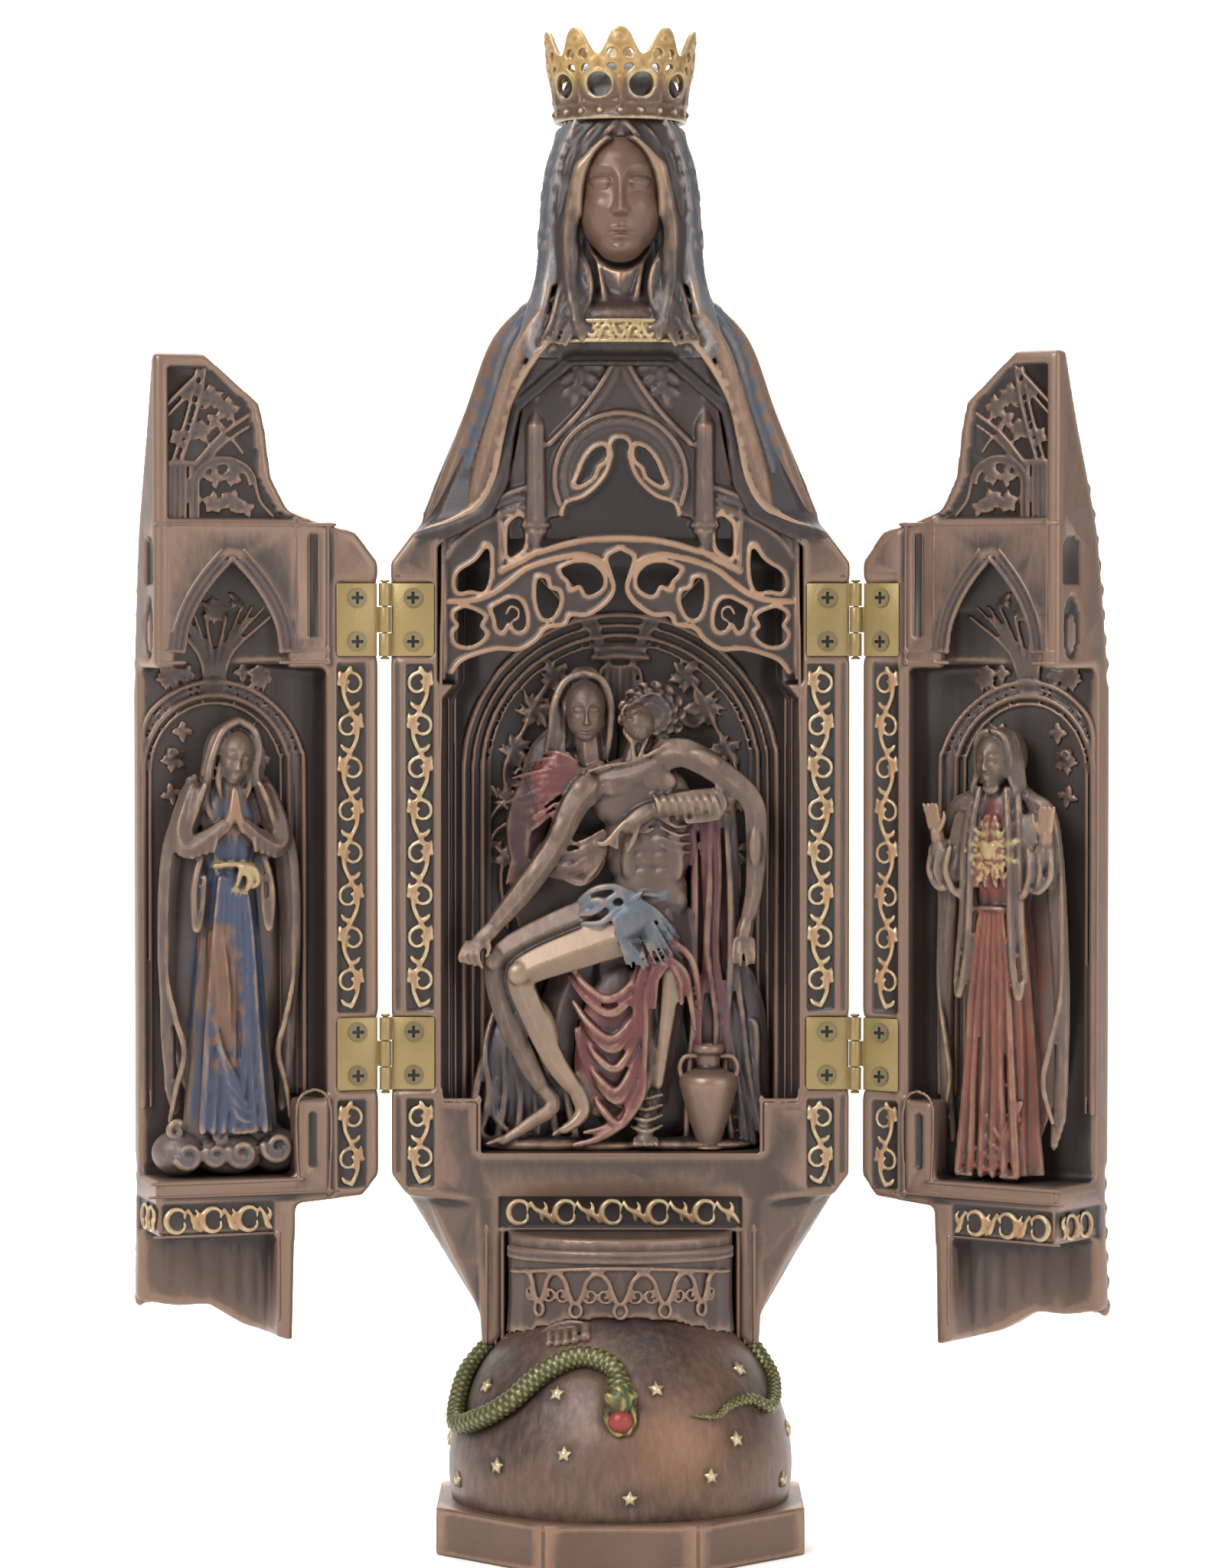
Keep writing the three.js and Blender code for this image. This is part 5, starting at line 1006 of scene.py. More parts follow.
# Pieta: the seated mother with her dead son across her lap, modelled in deep relief and cast in resin. Her
# gown is rubbed with red, his loincloth with pale blue, and the rest is left in the dark bronze.
NICHE_BACK_Y = 16.5
RELIEF_FRONT = -1.0
RELIEF_FACE_Y = 0.9
RELIEF_NEAREST_Y = 0.55
RELIEF_DEPTH = 0.84
MOTHER_HEAD = (-6.7, 5.0, 160.0)
SON_HEAD = (3.4, 3.2, 158.2)
GOWN_RED = "#81403f"
FLESH = "#7a6256"
# Painted highlight: a lit copy of the flesh paint, for the mother's shin and the son's nearer leg.
FLESH_HIGHLIGHT = "#b2957c"


def pleats(near, far, count, thick, sag, depth, stagger=0.0):
    """Folds spread between two smooth lines of points: each runs from one line to the other."""
    first, last = flowing(near, 12), flowing(far, 12)
    folds = []
    for k in range(count):
        share = (k + 0.5) / count
        start = first[int(share * (len(first) - 1))]
        end = last[int(share * (len(last) - 1))]
        end = end + (end - start) * stagger * math.sin(2.4 * k)
        middle = (start + end) / 2 + (0, -depth, -sag)
        folds.append([(*start, thick * 0.7), (*middle, thick), (*end, thick * 0.6)])
    return folds


cloak = [((-2, 14.4, 98), (23, 4.0, 26)), ((-1, 14.2, 126), (20.5, 3.8, 22)), ((-4, 13.6, 146), (15.5, 4.0, 14))]
veil = [
    [(-6.9, 6.4, 167.2, 0.8), (-10.6, 6.0, 165.6, 0.9), (-12.8, 5.8, 161, 0.85), (-13.3, 6.0, 155.5, 0.85),
     (-14.4, 6.4, 150.6, 0.8)],
    [(-6.9, 6.4, 167.2, 0.8), (-3.4, 6.0, 165.6, 0.9), (-1.8, 5.8, 161, 0.85), (-2.0, 6.2, 155.5, 0.8),
     (-2.6, 6.8, 151, 0.6)],
    [(-6.9, 9.6, 166.0, 3.4), (-10.6, 9.6, 159, 3.2), (-11.6, 9.6, 151, 3.2)],
    [(-6.9, 9.6, 166, 3.4), (-3.6, 9.6, 159, 3.0), (-3.4, 10, 151, 3)],
    [(-12.2, 6.6, 163, 0.5), (-12.0, 5.6, 156, 0.6), (-12.6, 5.4, 150.4, 0.5)],
    [(-10.9, 7, 160, 0.5), (-10.9, 5.6, 154.4, 0.5), (-11.2, 5.0, 150.6, 0.45)],
]
neck_folds = [[(-10.0 - k, 4.8 + 0.4 * k, 151.6 - 0.4 * k, 0.45), (-7.4, 3.2 + 0.3 * k, 148.6 - 1.5 * k, 0.55),
               (-3.6 + 0.6 * k, 4.2, 150 - k, 0.45)]
              for k in range(3)]
mother_flesh = [[(-6.4, 6.4, 156, 2.3), (-5.8, 6.2, 149.5, 2.5)],
                [(6.0, 1.6, 141.0, 1.7), (3.4, 1.0, 139.4, 1.9), (0.8, 0.9, 137.4, 1.45)]]
for k in range(4):
    mother_flesh.append([(2.6 - 0.9 * k, 0.3, 139.6 - 0.7 * k, 0.75),
                         (-0.4 - 0.8 * k, -0.1, 137.2 - 0.9 * k, 0.62),
                         (-1.6 - 0.9 * k + 0.9 * (k < 2), 0.2, 133.8 + 0.3 * k, 0.5)])
mother_flesh += [[(3.6, 0.4, 138.6, 0.75), (2.6, -0.1, 135.4, 0.62), (1.4, 0.4, 133.0, 0.5)]]
sleeve_core = [[(-10, 7.6, 149.6, 3.6), (-15.4, 7, 144.6, 4.8), (-18.2, 6.8, 138.0, 4.4), (-18.0, 7, 130, 3.4)],
               [(-15, 6, 131.5, 3.2), (-9, 4.2, 130, 3.2), (-4.0, 3.0, 133.4, 2.4)]]
ruched = pleats([(-8.6, 3.4, 150.6), (-8.8, 2.6, 147.6), (-9.6, 2.6, 144)],
                [(-14.4, 5.0, 152.2), (-20.4, 5.4, 146.0), (-22.0, 5.8, 139.4)], 8, 0.6, -0.8, 1.9, 0.1)
ruched += pleats([(-11, 2.8, 146.6), (-12.2, 2.4, 143), (-13, 2.6, 139.6)],
                 [(-20.6, 4.6, 141), (-21.4, 5.4, 137.6), (-20.2, 6.2, 134.4)], 4, 0.5, 0.4, 1.4, 0.12)
ruched += pleats([(-18.6, 3.4, 139.4), (-16.8, 3.0, 138.0)], [(-22.2, 6.4, 126.6), (-18.6, 5.2, 127.6)], 4, 0.6,
                 0.2, 0.4)
cuff = pleats([(-3.4, 1.6, 137.2), (-2.6, 1.2, 134.8), (-2.9, 1.6, 132.2)],
              [(-11.6, 3.0, 134.6), (-11.2, 2.0, 129.6), (-6.6, 2.0, 126.9)], 7, 0.5, 0.9, 1.3, 0.06)
cuff.append([(-10.6, 3.0, 127.8, 0.7), (-7.6, 2.0, 126.8, 0.8), (-4.8, 1.8, 128.6, 0.7), (-3.2, 2.0, 131.2, 0.5)])
forearm = [[(20.4, 4.4, 142.8, 2.7), (13, 2.2, 142.4, 2.6), (7.4, 1.6, 141.6, 1.9)]]
bangles = []
for k in range(8):
    x = 6.6 + 1.62 * k
    bangles.append([(x - 0.5, 2.4, 144.0 + 0.08 * k, 0.4), (x + 0.3, -0.35 + 0.14 * k, 143.0, 0.55),
                    (x + 0.9, -0.3 + 0.14 * k, 141.0, 0.55), (x + 1.1, 2.2, 139.0, 0.4)])
bangles += [[(18.6, 1.6, 145.4, 0.55), (20.0, 1.4, 142.0, 0.7), (18.4, 1.8, 139.4, 0.6), (13.0, 1.8, 138.6, 0.5)]]

skirt = [[(8.2, 7.2, 121, 5.4), (9.0, 6.4, 112, 5.2), (7.6, 8.0, 98, 3.8), (6.4, 8.6, 84, 3.0)],
         [(-6, 10.5, 116, 4.4), (-12, 11, 100, 4.8), (-14, 11.4, 84, 4.6)],
         [(-2, 10.4, 112, 5), (-1, 10, 96, 5.2), (0, 10, 82, 5)]]
swags = []
for k in range(8):
    low = 109.0 - 2.9 * k + 0.9 * math.sin(2.3 * k)
    swags.append([(-9.8 + 0.62 * k + 0.6 * math.sin(5 * k), 4.8 + 0.2 * k, low + 2.2 - 0.5 * k, 0.55),
                  (-6.8 + 0.5 * k, 2.9, low - 2.0 - 0.5 * k, 0.85),
                  (-2.2 + 0.35 * k, 1.6, low - 4.6 - 0.5 * k, 1.0),
                  (2.4 + 0.1 * k, 2.4, low - 1.4, 0.85), (4.4 + 0.1 * k, 3.6, low + 5.5, 0.55)])
swags += [
    [(9.6, 0.9, 112.2, 0.8), (6.6, 0.8, 110.4, 0.85), (5.0, 1.2, 105, 0.8), (4.8, 1.6, 97, 0.8),
     (4.2, 2.0, 89, 0.75), (1.4, 2.0, 83.4, 0.8)],
    [(9.4, 1.4, 114.4, 0.8), (5.4, 1.3, 112.2, 0.85), (3.2, 1.6, 106, 0.8), (3.0, 2.0, 98, 0.75)],
    [(9.6, 0.9, 112.2, 0.8), (12.4, 1.4, 109.4, 0.85), (13.6, 2.6, 104, 0.75), (14.4, 3.8, 98.6, 0.5)],
    [(10.4, 1.8, 115.4, 0.8), (14.0, 2.6, 111.4, 0.85), (15.2, 4.2, 103, 0.7)],
    [(8.8, 0.4, 110.8, 0.55), (7.0, 0.6, 108.0, 0.6), (6.6, 1.6, 103, 0.5)],
    [(10.2, 0.4, 110.6, 0.55), (11.6, 1.0, 107.6, 0.6), (11.8, 2.2, 103.6, 0.5)],
    [(4.6, 2.6, 93, 0.7), (4.2, 1.9, 86, 0.85), (0.6, 1.6, 80.6, 0.9), (-4.4, 1.8, 77.4, 0.8),
     (-8.8, 2.2, 76.2, 0.6)],
    [(2.4, 3.4, 87, 0.6), (0.4, 2.6, 82, 0.7), (-3.4, 2.2, 79.4, 0.7), (-6.8, 2.6, 78.6, 0.5)],
    [(-8.4, 5.6, 98, 0.6), (-6.8, 4.6, 92, 0.75), (-2.0, 3.0, 87.6, 0.85), (3.6, 3.0, 84.6, 0.6)],
    [(-8.0, 6.0, 93, 0.6), (-5.6, 4.8, 88.6, 0.7), (-1.6, 3.6, 84.8, 0.75), (2.0, 3.6, 82.6, 0.5)],
]
foot = [[(5.4, 7, 84, 2.1), (4.8, 5.0, 80.2, 2.0), (4.8, 3.0, 78.0, 1.6), (4.8, 2.0, 77.2, 1.1)]]
foot += [[(3.0 + 0.95 * k, 2.4, 77.4, 0.55), (2.8 + 1.05 * k, 0.9, 76.3, 0.55)] for k in range(5)]
bands = [[(2.2, 3.8, 79.6 + 2.0 * k, 0.4), (5.0, 1.8 + 0.75 * k, 78.8 + 2.1 * k, 0.5),
          (8.0, 3.8, 79.8 + 2.0 * k, 0.4)] for k in range(4)]
shin = [[(9.6, 2.4, 109.6, 1.7), (9.4, 2.8, 104, 1.7), (8.4, 3.6, 96, 1.35), (7.4, 4.6, 88, 1.0)]]
right_cloak, red_cloak = [], []
for k in range(6):
    x = 14.2 + 1.6 * k
    bend = 0.9 * math.sin(1.9 * k)
    (red_cloak if k < 4 else right_cloak).append([(x - 0.4, 6.6, 142.4, 0.6),
                                                  (x + 0.2 + 0.5 * bend, 6.0 + 0.8 * (k % 2), 128, 0.8),
                                                  (x + bend, 5.8 + 0.9 * (k % 2), 113, 0.9),
                                                  (x + 0.3 * k - bend, 6.6 + 0.3 * k, 100, 0.72),
                                                  (x - 1 + 0.8 * k, 7.4, 88, 0.7),
                                                  (x - 1.4 + 1.4 * k, 8, 76.6, 0.6)])
right_cloak += [[(18 + 2.4 * k, 8.8, 112 - 4 * k, 0.6), (19.4 + 2.3 * k, 8.4, 98, 0.8),
                 (20.5 + 2.0 * k, 8.2, 87, 0.8), (21.5 + 2.2 * k, 8.0, 76.6, 0.6)] for k in range(4)]
left_cloak = []
for k in range(6):
    x = -27.0 + 3.0 * k
    left_cloak.append([(x + 3, 11.2, 103 - 1.5 * k, 0.6), (x + 0.8 + math.sin(2 * k), 9.2, 94, 0.8),
                       (x + 1.6, 8.2, 85, 0.9), (x - 0.8 + 0.9 * k, 7.0, 76.6, 0.8)])
left_cloak += [[(-26.6, 9.2, 92, 0.8), (-28.2, 8.2, 84, 0.9), (-26.2, 6.8, 77.2, 0.9), (-19, 6.0, 77.8, 0.7)],
               [(-24, 8.8, 88, 0.6), (-24.6, 7.8, 82, 0.7), (-22, 6.6, 78.8, 0.6)]]
folds_behind = [((-18.5, 11.4, 88), (9.5, 3.4, 14)), ((22.5, 11.2, 92), (6.5, 3.2, 20))]
rocks = [((-16, 6.8, 76), (11, 4.4, 1.6)), ((12, 7.2, 76), (13.6, 4.4, 1.4)), ((-4, 6.2, 75.8), (8, 3.4, 1.2))]
curls = [[(-17 - 3.4 * k, 15.6, 134 + 4.5 * k, 0.5), (-20.5 - 2.4 * k, 15.4, 138 + 3.5 * k, 0.5),
          (-24.4 - 1.2 * k, 15.6, 136 + 2 * k, 0.45), (-26.2, 15.8, 131 + 3 * k, 0.4)] for k in range(3)]

son = [
    [(4.4, 5.4, 155.4, 2.2), (2.4, 4.6, 150.0, 2.3)],
    [(-3.0, 4.6, 146.8, 3.0), (2, 4.0, 147.4, 3.2), (7.4, 4.6, 149.8, 3.1)],
    [(-5.8, 3.6, 145.6, 3.3), (-9.1, 2.6, 141.6, 3.0), (-12.4, 2.0, 134.4, 2.5), (-17.8, 1.6, 126.6, 2.5),
     (-24.0, 2.2, 119.0, 1.8)],
    [(-24.0, 2.2, 118.6, 1.6), (-26.4, 2.2, 116.2, 1.8), (-28.2, 2.4, 114.0, 1.5)],
    [(7.8, 4.6, 151.0, 3.3), (12.6, 3.4, 151.8, 3.2), (19.4, 3.0, 148.0, 2.8), (25.2, 3.2, 142.8, 2.5),
     (26.3, 3.0, 136, 2.4), (25.8, 3.2, 125.6, 1.9), (24.6, 3.6, 120, 1.5)],
    [(24.6, 3.6, 120, 1.35), (23.9, 3.2, 117.2, 1.7), (23.6, 3.6, 114.6, 1.2)],
    [(2.4, 3.6, 117.6, 4.4), (-7, 2.8, 114.4, 4.3), (-16.6, 2.2, 110.8, 3.6), (-19.2, 2.4, 108.2, 3.0),
     (-16.6, 3.0, 101, 2.8), (-12.4, 3.6, 92, 2.35), (-8.4, 4.6, 86.4, 1.6)],
    [(-8.4, 4.6, 86.6, 1.7), (-7.2, 4.4, 83.0, 1.7), (-8.6, 3.4, 80.6, 1.3), (-11.0, 2.8, 79.0, 0.9)],
    [(-3, 6.4, 121.4, 4.0), (-13, 5.8, 117.8, 3.6), (-21.8, 4.8, 113.4, 3.2), (-23.8, 5.0, 109.6, 2.9),
     (-22.0, 5.6, 101, 2.6), (-18.2, 6.0, 92.6, 2.35), (-15.0, 6.0, 86.6, 1.6)],
    [(-15.0, 6.0, 86.8, 1.7), (-13.2, 4.8, 83.4, 1.7), (-17.6, 3.4, 80.2, 1.4), (-22.6, 2.4, 76.9, 0.9)],
]
for k in range(4):
    son.append([(-26.4 - 1.05 * k, 1.4 + 0.2 * k, 115.6 - 0.1 * k, 0.6),
                (-27.4 - 1.15 * k, 0.0 + 0.2 * k, 113.0 - 0.1 * k, 0.55),
                (-26.6 - 1.25 * k, 0.2 + 0.2 * k, 110.6 + 0.3 * k, 0.42)])
    son.append([(22.2 + 1.1 * k, 2.6, 115.8, 0.55), (21.8 + 1.3 * k, 1.6 - 0.2 * (k % 2), 113.0, 0.5),
                (21.9 + 1.25 * k, 2.2, 110.6 + 0.5 * abs(k - 1.5), 0.4)])
son.append([(-25.8, 1.4, 116.8, 0.6), (-25.2, 0.6, 114.4, 0.52), (-25.8, 1.0, 112.6, 0.42)])
for k in range(5):
    son.append([(-21.0 - 0.55 * k, 3.6 - 0.45 * k, 78.2 - 0.2 * k, 0.5),
                (-24.2 - 0.35 * k, 2.8 - 0.4 * k, 76.5, 0.42)])
    son.append([(-10.4 - 0.3 * k, 3.6 - 0.3 * k, 79.6 - 0.1 * k, 0.45),
                (-12.2 - 0.2 * k, 3.0 - 0.3 * k, 78.2, 0.4)])
trunk = [((3.8, 5.8, 143.2), (10.2, 4.1, 8.0), (0, 12, 0)), ((5.2, 6.0, 134), (8.8, 3.9, 9.6), (0, -4, 0)),
         ((5.6, 5.9, 125.0), (7.4, 4.3, 8.2))]
muscles = [((-0.6, 2.5, 145.6), (3.4, 1.5, 2.3), (0, -10, 0)), ((7.2, 2.6, 146.8), (3.8, 1.5, 2.4), (0, 16, 0)),
           ((9.8, 2.8, 152.6), (2.6, 1.8, 2.1)),
           ((-7.6, 1.8, 144.4), (2.2, 1.7, 2.6)), ((-11.6, 0.8, 137), (1.7, 1.3, 3.2), (0, 22, 0)),
           ((16.4, 1.2, 150.8), (3.4, 1.6, 1.6), (0, 26, 0)),
           ((-16.6, 0.4, 128.6), (1.5, 1.3, 3.4), (0, 35, 0)), ((26.0, 1.4, 134), (1.4, 1.3, 4.2))]
for row in range(3):
    for side in (-1, 1):
        muscles.append(((5.8 + 0.35 * row + side * 1.8, 2.75 + 0.1 * row, 134.6 - 3.1 * row), (2.0, 1.1, 1.75)))
muscles += [((10.4, 2.9, 132), (1.9, 1.2, 5.0), (0, -6, 0)), ((1.6, 3.0, 131), (1.5, 1.1, 4.0)),
            ((9.6, 4.6, 123.4), (3.4, 2.3, 3.6), (0, -20, 0))]
ribs = [[(1.0, 2.2, 139.4 - 1.6 * k, 0.35), (4.2, 1.5, 138.0 - 1.4 * k, 0.42), (6.4, 1.6, 138.6 - 1.3 * k, 0.38)]
        for k in range(2)]
ribs += [[(8.2, 1.7, 139.0 - 1.7 * k, 0.38), (11.0, 2.1, 137.6 - 1.6 * k, 0.45),
          (13.4, 3.8, 138.0 - 1.8 * k, 0.35)] for k in range(4)]
collar = [[(1.6, 1.6, 150.0, 0.4), (-2.4, 1.2, 149.4, 0.5), (-6.0, 1.6, 148.4, 0.4)],
          [(3.6, 1.7, 150.6, 0.4), (6.4, 1.3, 152.0, 0.5), (9.0, 1.8, 153.6, 0.4)],
          [(2.2, 2.0, 154.6, 0.5), (2.6, 1.4, 150.6, 0.5)], [(5.4, 2.8, 155.4, 0.45), (3.6, 1.5, 150.8, 0.45)]]
kneecaps = [((-19.6, 0.0, 109.4), (2.2, 1.5, 2.3)), ((-24.2, 2.7, 112.0), (2.0, 1.5, 2.3)),
            ((-6.8, 4.0, 85.6), (0.9, 0.9, 1.1)), ((-13.6, 4.6, 85.8), (0.9, 0.9, 1.1))]
calves = [((-14.6, 3.4, 98.8), (2.4, 2.3, 6.0), (0, -18, 0)), ((-20.4, 5.4, 98.4), (2.4, 2.1, 6.0), (0, -16, 0))]

cloth = [((6.0, 4.9, 117.0), (6.2, 5.0, 5.6), (0, 10, 0)), ((-1.6, 4.4, 121.9), (6.2, 3.7, 3.3), (0, 8, 0))]
cloth_folds = pleats([(-2.2, -0.2, 121.2), (0.8, -0.7, 122.6), (4.4, 0.4, 124.0)],
                     [(0.8, -0.7, 111.6), (4.6, -1.0, 110.9), (8.8, 0.0, 112.6), (12.0, 2.6, 117.0)], 11, 0.5,
                     -0.9, 1.1, 0.04)
cloth_folds += [
    [(-7.8, 1.8, 123.4, 0.6), (-5.0, 0.4, 125.6, 0.75), (-1.2, -0.1, 126.2, 0.75), (2.4, 0.4, 125.0, 0.6),
     (8, 2.0, 124.4, 0.5)],
    [(-7.6, 1.4, 120.8, 0.6), (-4.6, 0.0, 121.6, 0.75), (-1.2, -0.3, 124.4, 0.75), (2.0, 0.0, 124.6, 0.6)],
    [(-0.6, -0.3, 125.6, 0.6), (1.8, -0.5, 123.4, 0.7), (4.0, -0.2, 125.2, 0.5)],
    [(-7.2, 1.4, 119.0, 0.6), (-3.8, -0.1, 119.2, 0.8), (-0.6, -0.5, 121.8, 0.7)],
    [(-7.4, 1.4, 122.2, 0.6), (-4.4, -0.2, 123.6, 0.8), (-1.6, -0.4, 122.4, 0.7)],
]

son_hair = []
for k in range(11):
    turn = math.radians(-75 + 27 * k)
    for reach, back in ((1.5, -0.7), (2.9, -0.4), (4.1, 0.4), (5.3, 1.5)):
        x, z = 6.0 + reach * math.cos(turn + 0.2 * back), 159.2 + reach * math.sin(turn + 0.2 * back)
        sway = math.radians(70) + turn
        son_hair.append([(x - 1.3 * math.cos(sway), 4.6 + back, z - 1.3 * math.sin(sway), 0.45),
                         (x + 0.6 * math.cos(turn), 3.0 + back, z + 0.6 * math.sin(turn), 0.6),
                         (x + 1.3 * math.cos(sway), 4.0 + back, z + 1.3 * math.sin(sway), 0.5),
                         (x + 1.6 * math.cos(sway + 1), 4.4 + back, z + 1.6 * math.sin(sway + 1), 0.35)])
hair_mass = [((6.6, 5.4, 159.6), (4.9, 3.3, 5.2))]
beard = [[(1.2, 3.0, 156.4, 0.5), (1.6, 2.2, 154.8, 0.6), (3.0, 2.4, 153.6, 0.45)],
         [(2.4, 2.6, 156.8, 0.4), (3.0, 2.2, 154.8, 0.5), (4.2, 2.8, 154.0, 0.4)]]
wreath = []
for step in range(13):
    turn = 2 * math.pi * step / 12
    wreath.append((4.2 + 3.8 * math.cos(turn), 2.0 + 1.6 * math.cos(turn + 0.6),
                   161.4 + 1.2 * math.sin(turn) + 1.6 * math.cos(turn), 0.34))
wreath = [wreath, [(x + 0.3 * math.sin(3 * i), y - 0.4, z + 0.55 * math.cos(2.5 * i), 0.3)
                   for i, (x, y, z, r) in enumerate(wreath)]]

groups = [
    ("#453739", curls, cloak + rocks), ("#564a4c", left_cloak, folds_behind), ("#5f5152", right_cloak, []),
    ("#743f42", red_cloak, [((17.6, 10.8, 112), (5.4, 3.2, 28))]),
    ("#6a5850", veil, []), (GOWN_RED, ruched + swags, []),
    ("#4a2629", sleeve_core[:1], [((-2.0, 6.4, 96), (6.6, 3.4, 15), (0, 10, 0)),
                                  ((4.2, 5.6, 98), (3.0, 3.0, 14))]),
    ("#6d5349", sleeve_core[1:] + cuff + neck_folds, []),
    ("#8a7464", forearm + bangles, []), ("#4d3a39", skirt, []), ("#6c5a50", foot + bands, []),
    # Painted highlight on the mother's shin and, below, on the son's nearer leg.
    (FLESH_HIGHLIGHT, shin, []),
    (FLESH, mother_flesh + son[:6] + son[8:10] + son[10:] + ribs + collar,
     trunk + muscles + calves[1:] + kneecaps[1:2]),
    (FLESH_HIGHLIGHT, son[6:8], kneecaps[:1] + calves[:1]), ("#727e8a", cloth_folds, []), ("#46505b", [], cloth),
    ("#4d3f3a", son_hair + wreath + beard, hair_mass),
]


def pressed(places):
    """Places of the free modelling brought into the depth of the niche."""
    flattened = RELIEF_FACE_Y + RELIEF_DEPTH * (places[:, 1] - RELIEF_FRONT)
    places[:, 1] = np.maximum(np.minimum(flattened, NICHE_BACK_Y), RELIEF_NEAREST_Y)
    places[:, 2] = np.maximum(places[:, 2], NICHE_FLOOR_Z + 0.1)
    return places


pieta = clay("pieta_relief", *shapes_of(groups), 0.36, 2, roundness=1)
places = places_of(pieta)
paint = nearest_paint(places, groups)
set_places(pieta, pressed(places))
normals = normals_of(pieta)
# Painted shade: the paint darkens deep in the niche and on faces turned aside from the front.
shade_by_depth = eased(places_of(pieta)[:, 1], 6.5, 13)
shade_turned_aside = eased(normals[:, 1], -0.75, -0.05)
paint = mixed(paint, tint("#302726"), np.maximum(0.75 * shade_by_depth, 0.75 * shade_turned_aside))
# Painted highlight: faces turned forwards, up and a little to the left, towards the key light, are painted up to
# half again as bright.
rub_and_highlight = eased(normals @ (-0.3, -0.75, 0.59), 0.8, 0.97)
paint[:, :3] *= 1 + 0.5 * rub_and_highlight[:, None]
paint = np.minimum(paint, 1)
placed(mark(pieta, paint, reach=0.9, broad=44), "shrine", mantle_finish, "bronze_resin", "pieta")

small_head = scaled_copy(thinned(mesh_object("small_head", seated(head_skin, MM, (0, 0, 0))), 0.28))
both_heads = bmesh.new()
both_heads.from_mesh(seated(small_head, 0.44, MOTHER_HEAD, (8, 0, 3)))
both_heads.from_mesh(seated(small_head, 0.36, SON_HEAD, (-20, -34, -24)))
faces = cast(both_heads, "pieta_faces")
set_places(faces, pressed(places_of(faces)))
placed(mark(faces, "#7a6252", reach=0.4, broad=24, keep=0.55), "shrine", mantle_finish, "bronze_resin", "pieta")

JAR_PLACE = (17.1, 6.4)
JAR_PROFILE = [(0, 0), (2.7, 0), (2.8, 0.5), (2.3, 1.0), (2.7, 2.4), (4.2, 7.0), (5.5, 11.6), (5.7, 13.0),
               (5.2, 14.3), (3.6, 15.1), (2.3, 15.8),
               (2.1, 17.0), (2.2, 18.2), (2.9, 18.8), (3.0, 19.6), (2.6, 20.2), (1.9, 20.0), (1.7, 18.6),
               (0, 18.4)]
bm = bmesh.new()
ring = [bm.verts.new((JAR_PLACE[0] + radius, JAR_PLACE[1], NICHE_FLOOR_Z + 0.35 + up))
        for radius, up in flowing(JAR_PROFILE, 3)]
edges = [bm.edges.new(pair) for pair in zip(ring, ring[1:])]
bmesh.ops.spin(bm, geom=ring + edges, cent=(*JAR_PLACE, 0), axis=(0, 0, 1), angle=2 * math.pi, steps=48,
               use_merge=True)
bmesh.ops.remove_doubles(bm, verts=bm.verts, dist=0.01)
bmesh.ops.recalc_face_normals(bm, faces=bm.faces)
handles = [[(JAR_PLACE[0] + side * x, JAR_PLACE[1], z, 0.5)
            for x, z in ((2.4, 93.2), (4.6, 93.0), (5.6, 91.0), (5.0, 88.6))] for side in (-1, 1)]
handle_mesh = rods("jar_handles", [rounded(stroke) for stroke in handles], 2)
handle_mesh.transform(Matrix.Scale(1 / MM, 4))
bm.from_mesh(handle_mesh)
jar = cast(bm, "jar")
placed(mark(jar, "#9a7d6c", reach=0.5, broad=10), "shrine", bronze, "bronze_resin", "pieta")


# Doors: two hollow shells, mirror images, whose outsides carry the gown's long folds down to a wavy hem.
# Inside, each is a flat rim round a panel of tracery, a pointed arch and a niche for a figure.
HINGE_X = 45.1
DOORS = {-1: ("left", 162), 1: ("right", 144)}
DOOR_NICHE_EDGE = 33.8
CANOPY_NICHE_EDGE = 27
CANOPY_FOOT_Z = 168.3
DOOR_WALL = 3.9
BACK_POWER = 2.4
PARTING = [(37.9, 26.7), (65.7, 27.5), (66.9, 40.7), (70.9, 44), (188.4, 44), (194.3, 39.4), (196.1, 32.3),
           (198.3, 26.2), (204.5, 22.9), (213.7, 21.7), (218.5, 20.6), (227.9, 9.7)]
DOOR_FRONT = [(37.9, 21), (66.9, 19), (169.9, 19), (184.9, 17.1), (195, 15), (205, 11.4), (214.9, 7.6),
              (227.9, 3.4)]
SCROLL_GOLD = "#cf9f74"
door_light = patina("door_light", "#463833", "#c09c84", brushed=0.75)


def read_table(table, place):
    return np.interp(place, [row[0] for row in table], [row[1] for row in table])


def door_turn(side, opening):
    """From where a closed door is to where it stands open."""
    axle = Matrix.Translation((side * HINGE_X, 0, 0))
    return axle @ Matrix.Rotation(side * math.radians(opening), 4, "Z") @ axle.inverted()


def hung(mesh, name, side, material, slot, paint, reach, broad, *nodes):
    """Puts a mesh drawn on the closed right door, in millimetres, on one of the doors as it stands open."""
    label, opening = DOORS[side]
    bm = bmesh.new()
    bm.from_mesh(mesh)
    if side < 0:
        bmesh.ops.scale(bm, verts=bm.verts, vec=(-1, 1, 1))
        bmesh.ops.reverse_faces(bm, faces=bm.faces)
    bmesh.ops.transform(bm, matrix=door_turn(side, opening), verts=bm.verts)
    piece = cast(bm, f"{name}_{label}")
    mark(piece, paint, reach, broad)
    return placed(piece, f"{label}_door", material, slot, *nodes)


